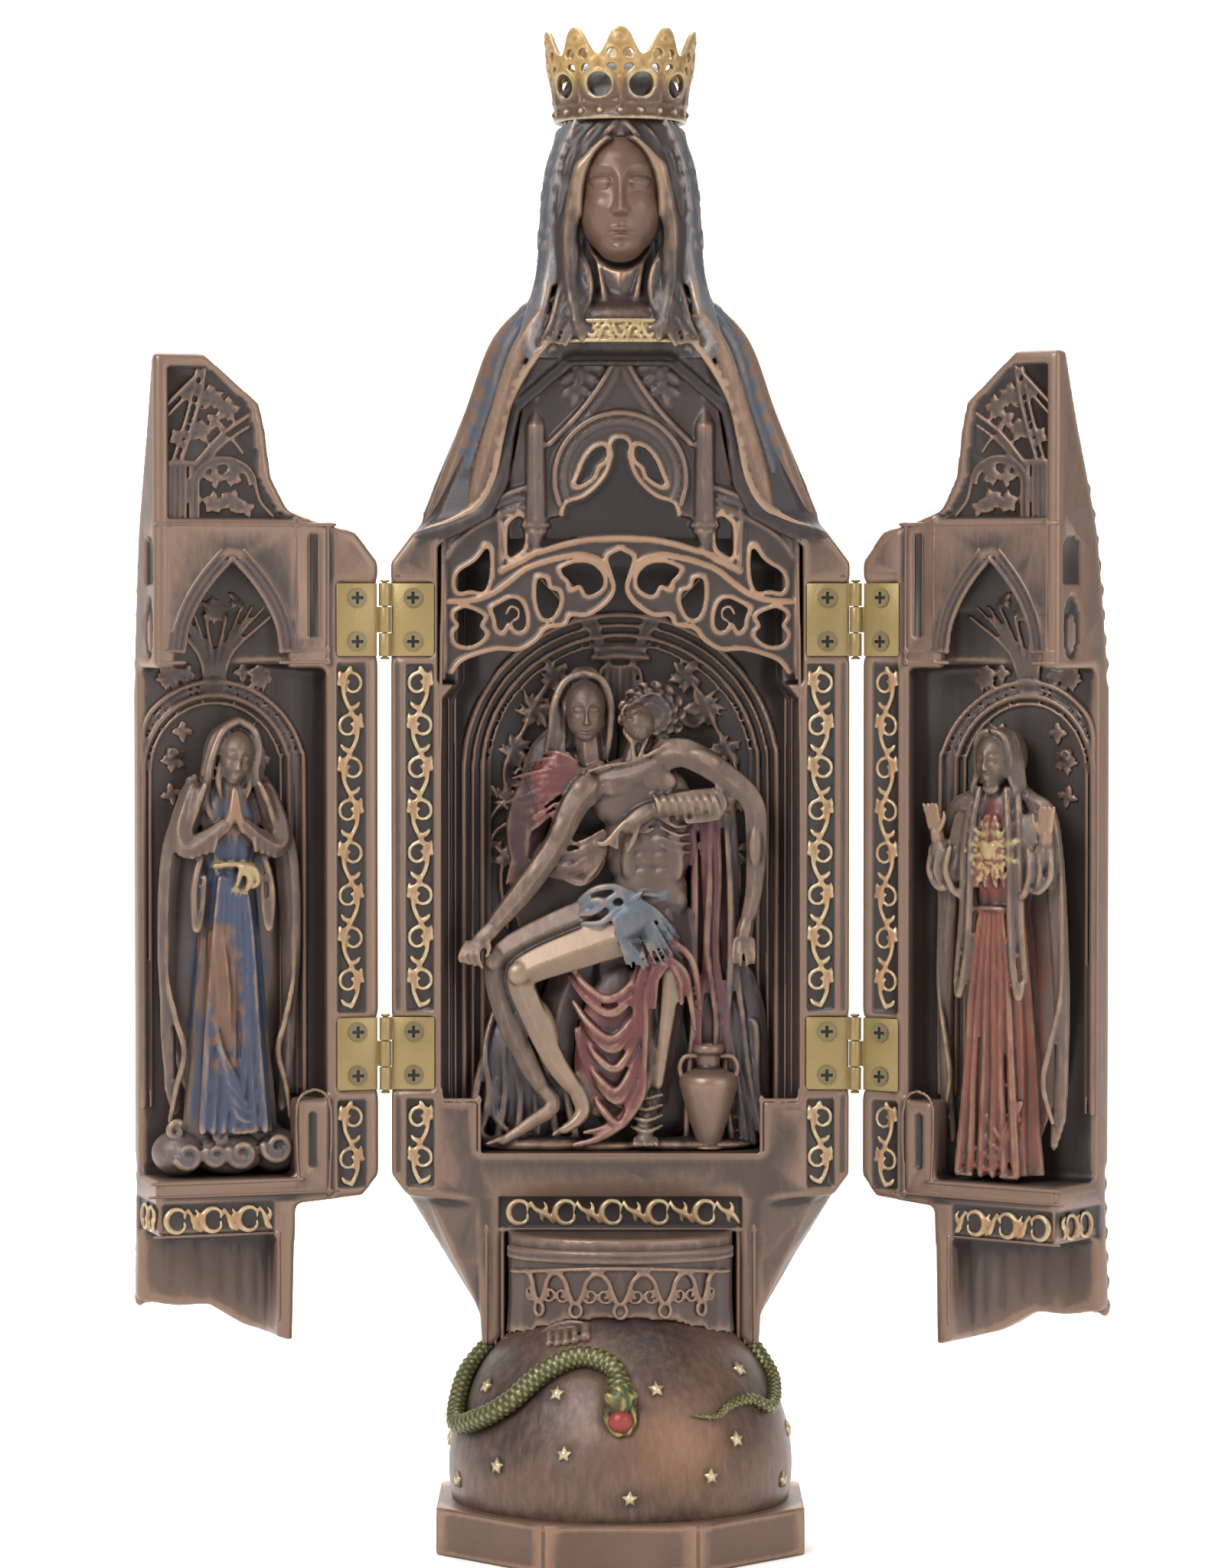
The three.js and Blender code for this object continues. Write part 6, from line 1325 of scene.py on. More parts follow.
bm = plain_copy("door_right")
bmesh.ops.transform(bm, matrix=door_turn(1, DOORS[1][1]).inverted(), verts=bm.verts)
shell = one_skin(cast(bm, "door_shell"), 0.7, 3)
places = places_of(shell)
normals = normals_of(shell)
u, y, z = places.T
edge = read_table(PARTING, z)
front = read_table(DOOR_FRONT, z)
inner_face = (normals[:, 1] > 0.6) & (y > -1)
seam_face = (normals[:, 0] < -0.6) & (u < 1.2)
panel = within(u, 3.0, 60, 0.3) * within(edge - u, 2.4, 60, 0.3) * within(z, 196.6, 225.2, 0.3) * inner_face
spandrel = within(u, 3.4, 26.4, 0.3) * within(z, 172, 194, 0.3) * (y > -3) * inner_face
long_strip = within(u, 35.9, 41.0, 0.3) * within(z, 102.6, 168.9, 0.3) * inner_face
low_strip = within(u, 35.9, 41.0, 0.3) * within(z, 68.6, 85.4, 0.3) * inner_face
band_strip = within(u, 1.2, 23.2, 0.3) * within(z, 60.4, 66.2, 0.3) * inner_face
pilaster_slot = within(u, 30.5, 31.8, 0.3) * within(z, 174.2, 193.4, 0.3) * inner_face
step_slot = within(u, 30.0, 31.4, 0.3) * within(z, 73.2, 83.4, 0.3) * inner_face
lines = (ridge(u - 34.3, 0.5) * (z < 196) * (z > 67.5) + ridge(z - 67.2, 0.5) * (u < 34)) * inner_face
moved = places.copy()
slots = np.maximum.reduce([long_strip, low_strip, band_strip, pilaster_slot, step_slot])
moved[:, 1] -= 1.5 * panel + 0.7 * slots + 0.4 * lines
seam_high = within(-y, 2.6, 8.4, 0.3) * (z < 193.4 - 0.18 * (y + 5.5) ** 2) * (z > 184.2)
seam_low = (1 - eased(np.hypot((y + 5.5) / 3.2, (z - 176) / 6.6), 0.86, 0.98)) * (
    np.hypot((y + 5.5) / 1.4, (z - 175) / 3.6) > 1)
seam_gold = within(-y, 0.8, front - 2.6, 0.3) * within(z, 60.4, 66.2, 0.3)
moved[:, 0] += 0.6 * np.maximum.reduce([seam_high, seam_low, seam_gold]) * seam_face
outward = (normals[:, 1] * (y + 3) + normals[:, 0] * (u - 6) * 0.4 > 0.5) & (np.abs(y) > 1.5) & (
    ((u / edge) ** BACK_POWER + (np.abs(y) / front) ** BACK_POWER) > 0.62)
around = u / 44
fall = eased(z, 38, 200)
phase = (21 * around * (1.15 - 0.3 * fall) + 1.5 * np.sin(z / 24 + 4 * around)
         + 0.9 * np.sin(z / 11 + 9 * around) * (1 - fall))
crease = (0.5 - 0.5 * np.sin(phase)) ** 1.7 * 0.95 + 0.4 * (1 - np.abs(np.sin(z / 13 + 3 * around))) ** 3
hold = eased(np.abs(y), 1.6, 4.5) * eased(u, 2.6, 4.2)
moved -= normals * (crease * outward * hold)[:, None]
set_places(shell, moved)
# Painted shade: inside the door the paint darkens towards the back of its niche. The sunk panels and strips take
# the same dark brown.
deep = eased(-y, 3, 8) * ~outward * (z > 67)
sunk = np.maximum.reduce([long_strip, low_strip, band_strip, panel, spandrel])
shell_paint_and_shade = mixed(tint("#67544d"), tint("#4c403d"), np.maximum(deep, sunk))
outer = eased(u, 40.8, 43.8) + seam_face + (z > 60) * inner_face * eased(edge - u, 2.4, 1.6)
shell_paint_and_shade = mixed(shell_paint_and_shade, tint("#84695b"), np.clip(outer, 0, 1))
shell_paint_and_shade = mixed(shell_paint_and_shade, tint("#80685a"), (z < 60) * ~outward)
shell_paint_and_shade = mixed(shell_paint_and_shade, mixed(tint("#7a6a66"), tint("#5d6c86"), 0.5 + 0.5 * np.sin(3 * around + z / 40)),
              outward * 0.9)
shell_mesh = scaled_copy(shell)


def door_back(u, z, lift=0.5):
    """Depth of the niche's back at a place, brought forward by lift."""
    reach = DOOR_NICHE_EDGE if z < CANOPY_FOOT_Z else CANOPY_NICHE_EDGE
    depth = float(read_table(DOOR_FRONT, z)) - DOOR_WALL
    share = max(1 - (min(abs(u), reach * 0.98) / reach) ** BACK_POWER, 0)
    return -(4 + (depth - 4) * share ** (1 / BACK_POWER)) + lift


def on_back(rows, thick):
    """A stroke drawn in u and z over the niche's curved back."""
    return [(u, door_back(u, z), z, thick) for u, z in flowing(rows, 3)]


def level_stroke(rows, y, thick):
    return [(u, y, z, thick) for u, z in rows]


def curl(centre, radius, start, turns, y, thick):
    """A spiral that closes in on its centre, thinning as it goes."""
    rows = []
    count = max(int(abs(turns) * 12), 4)
    for step in range(count + 1):
        share = step / count
        turn = math.radians(start) + 2 * math.pi * turns * share
        reach = radius * (1 - 0.72 * share)
        rows.append((centre[0] + reach * math.cos(turn), y, centre[1] + reach * math.sin(turn),
                     thick * (1 - 0.25 * share)))
    return rows


def vine(centre, low, high, half, count, y, thick):
    """An upright running scroll: a wavy stem with a curl in each bend and a pair of leaves between."""
    pitch = (high - low) / count
    strokes = []
    stem = []
    for step in range(6 * count + 1):
        at = low + (high - low) * step / (6 * count)
        stem.append((centre + 0.62 * half * math.sin(math.pi * (at - low) / pitch), y, at, thick))
    strokes.append(stem)
    for k in range(count):
        way = 1 if k % 2 == 0 else -1
        middle = low + (k + 0.5) * pitch
        strokes.append(curl((centre - way * 0.12 * half, middle + 0.1 * pitch), 0.33 * pitch,
                            180 if way < 0 else 0, way * 1.15, y - 0.05, thick * 0.95))
        tip = (centre - way * 0.8 * half, y, middle - 0.32 * pitch, thick * 0.7)
        strokes.append([(centre, y, middle - 0.46 * pitch, thick),
                        (centre - way * 0.5 * half, y - 0.1, middle - 0.42 * pitch, thick * 1.1), tip])
        strokes.append([(centre + way * 0.55 * half, y, middle + 0.1 * pitch, thick),
                        (centre + way * 0.95 * half, y - 0.1, middle + 0.24 * pitch, thick * 0.9),
                        (centre + way * 0.9 * half, y, middle + 0.42 * pitch, thick * 0.6)])
    return strokes


def chain(low, high, middle, half, count, y, thick):
    """A level band of open rings with curled ends, joined by slanting stems with a leaf on each."""
    pitch = (high - low) / count
    strokes = []
    for k in range(count):
        at = low + (k + 0.36) * pitch
        sweep = [(t, math.radians(180 + t), 1 - 0.42 * (abs(t) / 165) ** 4) for t in range(-165, 166, 30)]
        strokes.append([(at + reach * half * math.cos(turn), y, middle + reach * half * math.sin(turn),
                         thick * (1.45 - 0.005 * abs(t)))
                        for t, turn, reach in sweep])
        strokes.append([(at + 0.85 * half, y, middle + 0.95 * half, thick * 0.5),
                        (at + 1.2 * half, y - 0.1, middle + 0.3 * half, thick),
                        (at + pitch - 1.7 * half, y - 0.1, middle - 0.2 * half, thick * 1.2),
                        (at + pitch - 1.15 * half, y, middle - 0.95 * half, thick * 0.5)])
        for way in (-1, 1):
            leaf = at + 0.5 * pitch + 0.1 * way * half
            strokes.append([(leaf, y - 0.1, middle, thick),
                            (leaf + 0.1 * way * half, y, middle + 0.5 * way * half, thick * 0.8),
                            (leaf - 0.15 * way * half, y, middle + 0.9 * way * half, thick * 0.4)])
    return strokes


def leafage(centre, reach, count, start, y, thick):
    """Small lobed leaves that fan out from a point."""
    strokes = []
    for k in range(count):
        turn = math.radians(start + 360 * k / max(count - 1, 1))
        dx, dz = math.cos(turn), math.sin(turn)
        x, z = centre
        strokes.append([(x, y, z, thick * 0.7),
                        (x + 0.5 * reach * dx - 0.15 * reach * dz, y - 0.1,
                         z + 0.5 * reach * dz + 0.15 * reach * dx, thick),
                        (x + reach * dx, y, z + reach * dz, thick * 0.6)])
        strokes.append([(x + 0.45 * reach * dx, y, z + 0.45 * reach * dz, thick * 0.7),
                        (x + 0.75 * reach * dx + 0.3 * reach * dz, y, z + 0.75 * reach * dz - 0.3 * reach * dx,
                         thick * 0.6)])
    return strokes


FACE = -0.45
PANEL_FLOOR = -1.5
SPANDREL_MIDDLE = 15.2
NICHE_MIDDLE = 14.9
ARCH_SPRING_Z = 148.4
PANEL_LEAVES = [
    ((11.4, 219.6), 2.7, 6, 20), ((14.6, 217.4), 2.6, 6, 80), ((9.4, 213.2), 2.3, 6, 10),
    ((12.3, 215.0), 2.2, 5, 50),
    ((4.8, 212), 1.7, 5, 30), ((12.2, 204.4), 2.0, 5, 0), ((15.6, 204.8), 2.1, 6, 40),
    ((11.8, 199.6), 2.2, 6, 15),
    ((15.4, 200), 2.4, 6, 70), ((18.2, 198.6), 1.9, 5, 20),
]
NICHE_LEAVES = [
    ((14.9, 179.5), 2.8, 8, 0), ((10.6, 181.6), 2.4, 6, 30), ((19.2, 181.6), 2.4, 6, 10),
    ((6.2, 166.6), 2.8, 7, 10),
    ((23.8, 166.6), 2.8, 7, 40), ((9.6, 167.2), 1.9, 5, 70), ((20.4, 167.4), 1.9, 5, 0),
    ((7.0, 150.6), 2.6, 6, 40),
    ((23.4, 150.6), 2.6, 6, 0), ((6.6, 144), 2.2, 5, 10), ((24, 144), 2.2, 5, 60), ((8.8, 156), 2.1, 5, 0),
    ((21.2, 156), 2.1, 5, 40),
]
tracery = []
arch_line = [(5.8, 171.6), (6.6, 176.4), (8.8, 181.2), (11.8, 185.4), (15.3, 189.2)]
for offset, thick in ((0, 0.55), (1.3, 0.45), (2.5, 0.55)):
    for sign in (1, -1):
        rows = [(15.3 + sign * (u - 15.3 - offset * 0.9), z + offset * (0.25 + 0.35 * (z - 171) / 18))
                for u, z in arch_line]
        tracery.append(level_stroke(rows, FACE, thick))
FACE_LINES = [
    (0, 0.55, [(2.2, 195.6), (33.4, 195.6)]), (-0.1, 0.4, [(3.0, 194.1), (27.4, 194.1)]),
    (0, 0.5, [(27.6, 195.2), (27.6, 171.8)]), (0, 0.4, [(34.0, 194.4), (34.0, 170.4)]),
    (0, 0.5, [(24.8, 171.6), (34.0, 171.6)]), (0, 0.5, [(24.8, 169.4), (34.0, 169.4)]),
    (0, 0.5, [(0.9, 171.6), (5.9, 171.6)]), (0, 0.5, [(0.9, 169.4), (5.9, 169.4)]),
    (0, 0.45, [(2.6, 195), (2.6, 172.4)]),
    (0, 0.3, [(30.2, 174.2), (30.2, 193.6)]), (0, 0.3, [(32.2, 174.2), (32.2, 193.6)]),
]
SPANDREL_LINES = [
    (0.4, [(11.4, 192.4), (7.2, 192.6), (3.6, 192.2), (7.6, 188.4), (11.4, 179.0), (11.4, 192.4)]),
    (0.6, [(5.6, 191.2), (7.6, 189.6), (9.4, 191.0)]), (0.6, [(7.6, 189.6), (9.0, 187.4), (10.4, 184.6)]),
    (0.45, [(10.6, 188.6), (9.0, 187.4), (8.0, 186.0)]),
]
PANEL_LINES = [
    (0.5, [(3.3, 218.6), (9.6, 224.6)]), (0.4, [(3.3, 216.4), (8.8, 221.8)]),
    (0.55, [(10.2, 224.9), (8.6, 217), (5.6, 207.6)]), (0.45, [(8.6, 224.6), (7.0, 217), (4.2, 208.2)]),
    (0.55, [(19.2, 216.6), (13.4, 212.6), (8.4, 207.2)]), (0.45, [(18.8, 214.2), (14, 211), (9.6, 206.6)]),
    (0.55, [(3.2, 207.2), (7.8, 207.2)]), (0.4, [(11.4, 209.4), (14.6, 212.2), (17.6, 209.2)]),
]
tracery += [level_stroke(line, FACE + lift, thick) for lift, thick, line in FACE_LINES]
for sign in (1, -1):
    for thick, line in SPANDREL_LINES:
        tracery.append(level_stroke([(SPANDREL_MIDDLE + sign * du, z) for du, z in line], FACE - 0.7, thick))
tracery += [level_stroke(line, PANEL_FLOOR, thick) for thick, line in PANEL_LINES]
for k in range(5):
    tracery.append(level_stroke([(3.2 + 1.05 * k, 196.8), (3.2 + 1.05 * k, 206.8)], PANEL_FLOOR + 0.1, 0.34))
for radius, thick in ((6.2, 0.5), (5.0, 0.4)):
    tracery.append([(13.9 + radius * math.cos(t), PANEL_FLOOR, 203 + 5.2 * radius / 6.2 * math.sin(t), thick)
                    for t in np.linspace(0, math.pi, 13)])
    tracery.append(level_stroke([(13.9 - radius, 203), (13.9 - radius, 196.8)], PANEL_FLOOR, thick))
tracery.append(level_stroke([(20.1, 203), (21, 200), (23.4, 197.2)], PANEL_FLOOR, 0.5))
for leaf in PANEL_LEAVES:
    tracery += leafage(*leaf, PANEL_FLOOR, 0.52)
for radius, thick, lift in ((13.9, 0.7, 0.3), (12.4, 0.45, 0.2), (16.4, 0.6, 0.35), (15.2, 0.4, 0.2)):
    rows = [(NICHE_MIDDLE - radius, z) for z in (86, 118, ARCH_SPRING_Z)]
    rows += [(NICHE_MIDDLE + radius * math.cos(t), ARCH_SPRING_Z + 14.6 * radius / 13.9 * math.sin(t))
             for t in np.linspace(math.pi, 0, 15)]
    rows += [(NICHE_MIDDLE + radius, z) for z in (118, 88)]
    rows = [(max(min(u, 33.2), 1.0), z) for u, z in rows]
    tracery.append([(u, door_back(u, z, lift + 0.3), z, thick) for u, z in rows])
for k in range(6):
    spread = (k - 2.5) * 1.15
    ends = ((0.55, 163.8), (1.1, 171), (3.4, 178))
    tracery.append(on_back([(NICHE_MIDDLE + share * spread, z) for share, z in ends], 0.5))
for sign in (-1, 1):
    for reach in (3.2, 5.2, 7.2):
        ends = ((1.0, 168), (0.4 * reach + 1.2, 174), (reach + 1.6, 180))
        tracery.append(on_back([(NICHE_MIDDLE + sign * du, z) for du, z in ends], 0.42))
for (u, z), *leaf in NICHE_LEAVES:
    tracery += leafage((u, z), *leaf, door_back(u, min(z, 184), 0.45), 0.55)
for sign in (-1, 1):
    tracery.append(curl((NICHE_MIDDLE + sign * 8.3, 151.8), 1.1, 0, 1, door_back(NICHE_MIDDLE, 151.8), 0.42))
ledge = [level_stroke([(0.8, 70.5), (27.6, 70.5)], FACE + 0.1, 0.5),
         level_stroke([(0.8, 68.0), (33.9, 68.0)], FACE + 0.1, 0.42),
         level_stroke([(27.9, 71.0), (27.9, 85.6), (34.0, 85.6), (34.0, 68.4)], FACE + 0.1, 0.4)]
rim_bead = [level_stroke([(24.0, 60), (24.0, 44.6)], FACE + 0.1, 0.42),
            level_stroke([(1, 60.4), (23.8, 60.4)], FACE - 0.2, 0.36)]
tracery_skin = scaled_copy(clay("door_tracery", tracery + ledge + rim_bead, (), 0.36, 1, roundness=1))

STRIP_MIDDLE = 38.4
STRIP_FOOT, STRIP_HEAD = 103.2, 168.4
DOOR_GOLD_Y = -0.62
scrolls = vine(STRIP_MIDDLE, STRIP_FOOT, STRIP_HEAD, 2.3, 8, DOOR_GOLD_Y, 0.5)
scrolls += vine(STRIP_MIDDLE, 69.0, 85.0, 2.2, 2, DOOR_GOLD_Y, 0.5)
scrolls += chain(1.8, 23.0, 63.3, 2.3, 3, DOOR_GOLD_Y, 0.5)
scroll_skin = scaled_copy(clay("door_scrolls", scrolls, (), 0.3, 1, roundness=1))
seam_scroll = [[(0.42, y - 7.2, z, thick) for y, _, z, thick in stroke]
               for stroke in chain(-5.6, 4.6, 63.3, 2.3, 2, 0, 0.42)]
seam_skin = scaled_copy(clay("seam_scrolls", seam_scroll, (), 0.3, 1, roundness=1))

border = []
for k in range(34):
    z = 47 + 4.7 * k
    front = float(read_table(DOOR_FRONT, z))
    out = front - 0.2 if z < 170 else front - 0.4
    border.append([(1.2, -out + 0.3, z - 1.6, 0.9), (1.5, -out - 0.1, z + 0.4, 1.2),
                   (3.0, -out + 0.6, z + 2.4, 0.8)])
    border.append([(3.0, -out + 0.6, z - 1.4, 0.6), (4.2, -out + 0.8, z + 0.6, 0.7),
                   (5.4, -out + 1.3, z + 2.6, 0.45)])
border_skin = scaled_copy(clay("door_border", border, (), 0.5, 2, roundness=1))

for side, (label, _) in DOORS.items():
    hung(shell_mesh, "door_shell", side, bronze, "bronze_resin", shell_paint_and_shade, 0.3, 12, f"door_{label}")
    hung(tracery_skin, "door_tracery", side, bronze, "bronze_resin", "#6b5750", 0.3, 8, f"door_{label}")
    hung(scroll_skin, "door_scrolls", side, gilt, "gilt_resin", SCROLL_GOLD, 0.4, 6, f"door_{label}")
    hung(seam_skin, "seam_scrolls", side, gilt, "gilt_resin", SCROLL_GOLD, 0.4, 6, f"door_{label}")
    hung(border_skin, "door_border", side, door_light, "bronze_resin", "#84695c", 0.4, 6, f"door_{label}")


# Dressing of the body: gold scrollwork laid in the sunk strips, pierced lace and folds on the gown under the
# niche, a wavy hem, and the low relief of arches, flutes and leaves that lines the niche.
BODY_GOLD_Y = 0.85
scrolls = []
for side in (-1, 1):
    for low, high, count in ((STRIP_FOOT, STRIP_HEAD, 8), (69.2, 84.8, 2)):
        climbing = vine(STRIP_MIDDLE, low, high, 2.3, count, BODY_GOLD_Y, 0.5)
        scrolls += [[(side * x, y, z, r) for x, y, z, r in stroke] for stroke in climbing]
scrolls += chain(-22.4, 22.4, 63.5, 2.3, 5, BODY_GOLD_Y, 0.52)
gold_scrolls = clay("body_scrolls", scrolls, (), 0.32, 1, roundness=1)
placed(mark(gold_scrolls, SCROLL_GOLD, reach=0.4, broad=6), "shrine", gilt, "gilt_resin", "body")

DRUM_FRONT = 15.8
DRUM_HALF = 21.5
DRUM_HEIGHT = 29
DRUM_LEVELS = (0, 0.08, 0.3, 0.76)


def on_drum(x, z, lift=0.3):
    """A point over the rounded front of the gown."""
    share = (z - HEM_Z) / DRUM_HEIGHT
    across = DRUM_HALF * np.interp(share, DRUM_LEVELS, (1.03, 1.02, 1, 1))
    forward = DRUM_FRONT * np.interp(share, DRUM_LEVELS, (1.02, 1, 0.96, 0.92))
    turn = math.acos(max(min(x / across, 0.999), -0.999))
    return (x + lift * math.cos(turn), -(forward + lift) * math.sin(turn), z)


def laid(rows, thick, lift=0.3):
    return [(*on_drum(x, z, lift), thick) for x, z in flowing(rows, 3)]


LACE_PITCH = 9.2


def round_gown(rows, thick):
    """A stroke drawn flat, laid round the front of the gown."""
    return laid([(20.2 * math.sin(run / DRUM_HALF), z) for run, z in rows], thick)


lace = []
for k in range(-2, 3):
    middle = LACE_PITCH * k
    lace.append(round_gown([(middle + 1.3 * math.cos(t), 46.5 + 1.3 * math.sin(t))
                            for t in np.linspace(0, 2 * math.pi, 11)], 0.44))
    for side in (-1, 1):
        curve = ((0.6, 47.9), (1.6, 49.8), (2.3, 51.9), (3.5, 53.2), (4.6, 53.5))
        lace.append(round_gown([(middle + side * run, z) for run, z in curve], 0.56))
        turns = np.linspace(0, 1, 12)
        snail = [(3.1 - 1.65 * (1 - 0.8 * t) * math.cos(7.8 * t),
                  49.4 - 1.65 * (1 - 0.8 * t) * math.sin(7.8 * t)) for t in turns]
        lace.append(round_gown([(middle + side * run, z) for run, z in snail], 0.33))
lace.append(laid([(x, 54.6 - 0.004 * x * x) for x in np.linspace(-20.4, 20.4, 15)], 0.5))
lace_piece = clay("gown_lace", lace, (), 0.3, 1, roundness=1)
placed(mark(lace_piece, "#a07f6c", reach=0.3, broad=6), "shrine", door_light, "bronze_resin", "body")

roll = [laid([(x, 56.0 + dz) for x in np.linspace(-21.0, 21.0, 15)], 0.8, 0.1) for dz in (0, 1.2)]
hem = []
wave = [(-21.8, 39.0), (-16, 40.2), (-12.4, 42.4), (-8.4, 43.0), (-4.6, 41.8), (2, 40.2), (9, 38.8),
        (15.4, 38.4), (21.8, 38.6)]
for lift, dz in ((0.5, 0), (0.1, 0.9), (0.4, 1.9)):
    hem.append(laid([(x, max(z + dz * (1 - abs(x) / 30), 38.3)) for x, z in wave], 0.55, lift))
sides = []
for side in (-1, 1):
    for x, y in ((22.6, 0.8), (24.0, 0.6)):
        sides.append([(side * x, y, 59.4, 0.42), (side * x, y, 39, 0.42)])
    sides.append([(side * 25.7, 0.4, 60, 0.5), (side * 25.7, 0.4, 39.4, 0.5)])
    sides.append([(side * 34, 0.5, 186, 0.4), (side * 34.6, 0.5, 150, 0.4), (side * 34.8, 0.5, 87, 0.4)])
    sides.append([(side * 34.4, 0.55, 86, 0.42), (side * 34.4, 0.55, 68.0, 0.42)])
    for x in (29.8, 31.8):
        sides.append([(side * x, 0.5, 84, 0.3), (side * x, 0.5, 73.4, 0.3)])
    sides.append([(side * 30.8, 0.5, 84.8, 0.3), (side * 29.8, 0.5, 84, 0.3)])
ledges = []
for x, z in ((27, 74.6), (26.8, 71.4), (34, 67.8), (24, 60.2)):
    ledges.append([(-x, 0.5, z, 0.42), (x, 0.5, z, 0.42)])
for side in (-1, 1):
    ledges += [[(side * 27.1, 0.5, 71.6, 0.42), (side * 27.1, 0.5, 85.2, 0.42)],
               [(side * 27.1, 0.5, 85.2, 0.42), (side * 34.2, 0.5, 85.2, 0.42)]]
trim = clay("body_trim", roll + hem + sides + ledges, (), 0.36, 1, roundness=1)
placed(mark(trim, "#7a625a", reach=0.3, broad=8), "shrine", bronze, "bronze_resin", "body")

NICHE_DEPTH = 18
NICHE_HEAD_STEP = 2.5
NICHE_HEAD_Z = 165


def niche_back(x, z, lift=0.5):
    """Depth of the niche's back at a place, brought forward by lift."""
    reach = NICHE_HALF_WIDTH - (NICHE_HEAD_STEP if z > NICHE_HEAD_Z else 0)
    depth = NICHE_DEPTH * float(np.interp(z, (74, 188, 195, 203, 211), (1, 0.95, 0.75, 0.6, 0.45)))
    share = min(abs(x) / reach, 0.985)
    return depth * (1 - share**3) ** (1 / 3) - lift


def on_niche(rows, thick, lift=0.5):
    return [(x, niche_back(x, z, lift), z, thick) for x, z in flowing(rows, 3)]


LINING_LEAVES = [
    ((16.5, 160), 4.2, 7, 0), ((20.5, 152), 3.6, 6, 30), ((12.5, 166.5), 3.4, 6, 50), ((22.0, 143), 3.4, 6, 10),
    ((22.5, 132), 3.0, 5, 40),
]
LINING_STEM = [(22, 118), (23.2, 128), (20.6, 138), (22.6, 148), (18.8, 156), (15.6, 163), (10.8, 168.4)]
lining = []
for half, top, thick, lift in ((30.4, 178.4, 0.7, 0.4), (28.6, 176.4, 0.5, 0.3), (26.8, 174.4, 0.6, 0.4),
                               (25.4, 172.8, 0.4, 0.3)):
    rows = [(-half, 76.5), (-half, 112), (-half, 148)]
    rows += [(half * math.cos(t), 148 + (top - 148) * math.sin(t)) for t in np.linspace(math.pi, 0, 19)]
    rows += [(half, 112), (half, 76.5)]
    lining.append([(x, niche_back(x, z, lift), z, thick) for x, z in rows])
for side in (-1, 1):
    for x in (32.0, 33.2):
        lining.append(on_niche([(side * x, 86), (side * x, 164)], 0.4, 0.4))
    for k in range(4):
        lining.append(on_niche([(side * 2.2, 168 + k), (side * (6 + 2.4 * k), 180 + k),
                                (side * (15 + 2.2 * k), 190 + 0.5 * k)], 0.42, 0.4))
for k in range(7):
    x = (k - 3) * 1.35
    lining.append(on_niche([(x, 150), (x, 166), (0.6 * x, 168.6)], 0.5, 0.5))
lining.append(on_niche([(-5.4, 170), (0, 170.4), (5.4, 170)], 0.8, 0.5))
lining.append(on_niche([(-4.8, 171.6), (0, 172), (4.8, 171.6)], 0.6, 0.5))
for side in (-1, 1):
    for (x, z), *leaf in LINING_LEAVES:
        lining += leafage((side * x, z), *leaf, niche_back(x, z, 0.4), 0.6)
    lining.append([(side * x, niche_back(x, z), z, 0.55) for x, z in LINING_STEM])
    lining.append(curl((side * 14.0, 158.4), 2.4, 90, side * 1.3, niche_back(14, 158, 0.5), 0.55))
    lining.append(curl((side * 19.6, 147.4), 2.2, 90, -side * 1.3, niche_back(19.6, 147, 0.5), 0.5))
lining_piece = clay("niche_lining", lining, (), 0.42, 1, roundness=1)
placed(mark(lining_piece, "#5b4b46", reach=0.3, broad=8), "shrine", bronze, "bronze_resin", "body")


# Figures in the doors: a veiled lady at prayer on a bank of clouds, and a bearded figure in a long robe with
# both hands raised. Each is cast in relief, painted in the door's bronze and glued into the niche.
FIGURE_Y = -8
FIGURE_DEEPEST_Y = -14.0
FIGURE_NEAREST_Y = -0.6
FIGURE_FOOT_Z = 71.4
FACE_PAINT = "#7a6254"


def robe(name, u, rows, amount, folds, start=0.3):
    """A pleated gown: rows of height, half-width and half-depth from the hem up; a closed mesh in millimetres."""
    bm = bmesh.new()
    rings = []
    around = 96
    table = np.array(rows, float)
    for z in np.linspace(table[0, 0], table[-1, 0], 126):
        wide, deep = (np.interp(z, table[:, 0], table[:, k]) for k in (1, 2))
        share = (z - table[0, 0]) / (table[-1, 0] - table[0, 0])
        ring = []
        for k in range(around):
            turn = 2 * math.pi * k / around
            sway = 0.5 * math.sin(1.7 * turn + 3 * share) + 0.35 * math.sin(4 * share + 3.1 * turn)
            depth = amount * (1 - 0.75 * share)
            fold = 1 - depth * (0.5 + 0.5 * math.cos(folds * turn + 3 * sway + start)) ** 1.5
            ring.append(bm.verts.new((u + wide * fold * math.cos(turn), FIGURE_Y + deep * fold * math.sin(turn),
                                      z)))
        rings.append(ring)
    for low, high in zip(rings, rings[1:]):
        for k in range(around):
            bm.faces.new((low[k], low[(k + 1) % around], high[(k + 1) % around], high[k]))
    bm.faces.new(rings[0][::-1])
    bm.faces.new(rings[-1])
    bmesh.ops.recalc_face_normals(bm, faces=bm.faces)
    mesh = bpy.data.meshes.new(name)
    bm.to_mesh(mesh)
    bm.free()
    return mesh


def spread(u, rows):
    """Strokes given as u offset, y, z, radius, for both sides of a figure's middle."""
    return [[(u + side * du, y, z, r) for du, y, z, r in rows] for side in (-1, 1)]


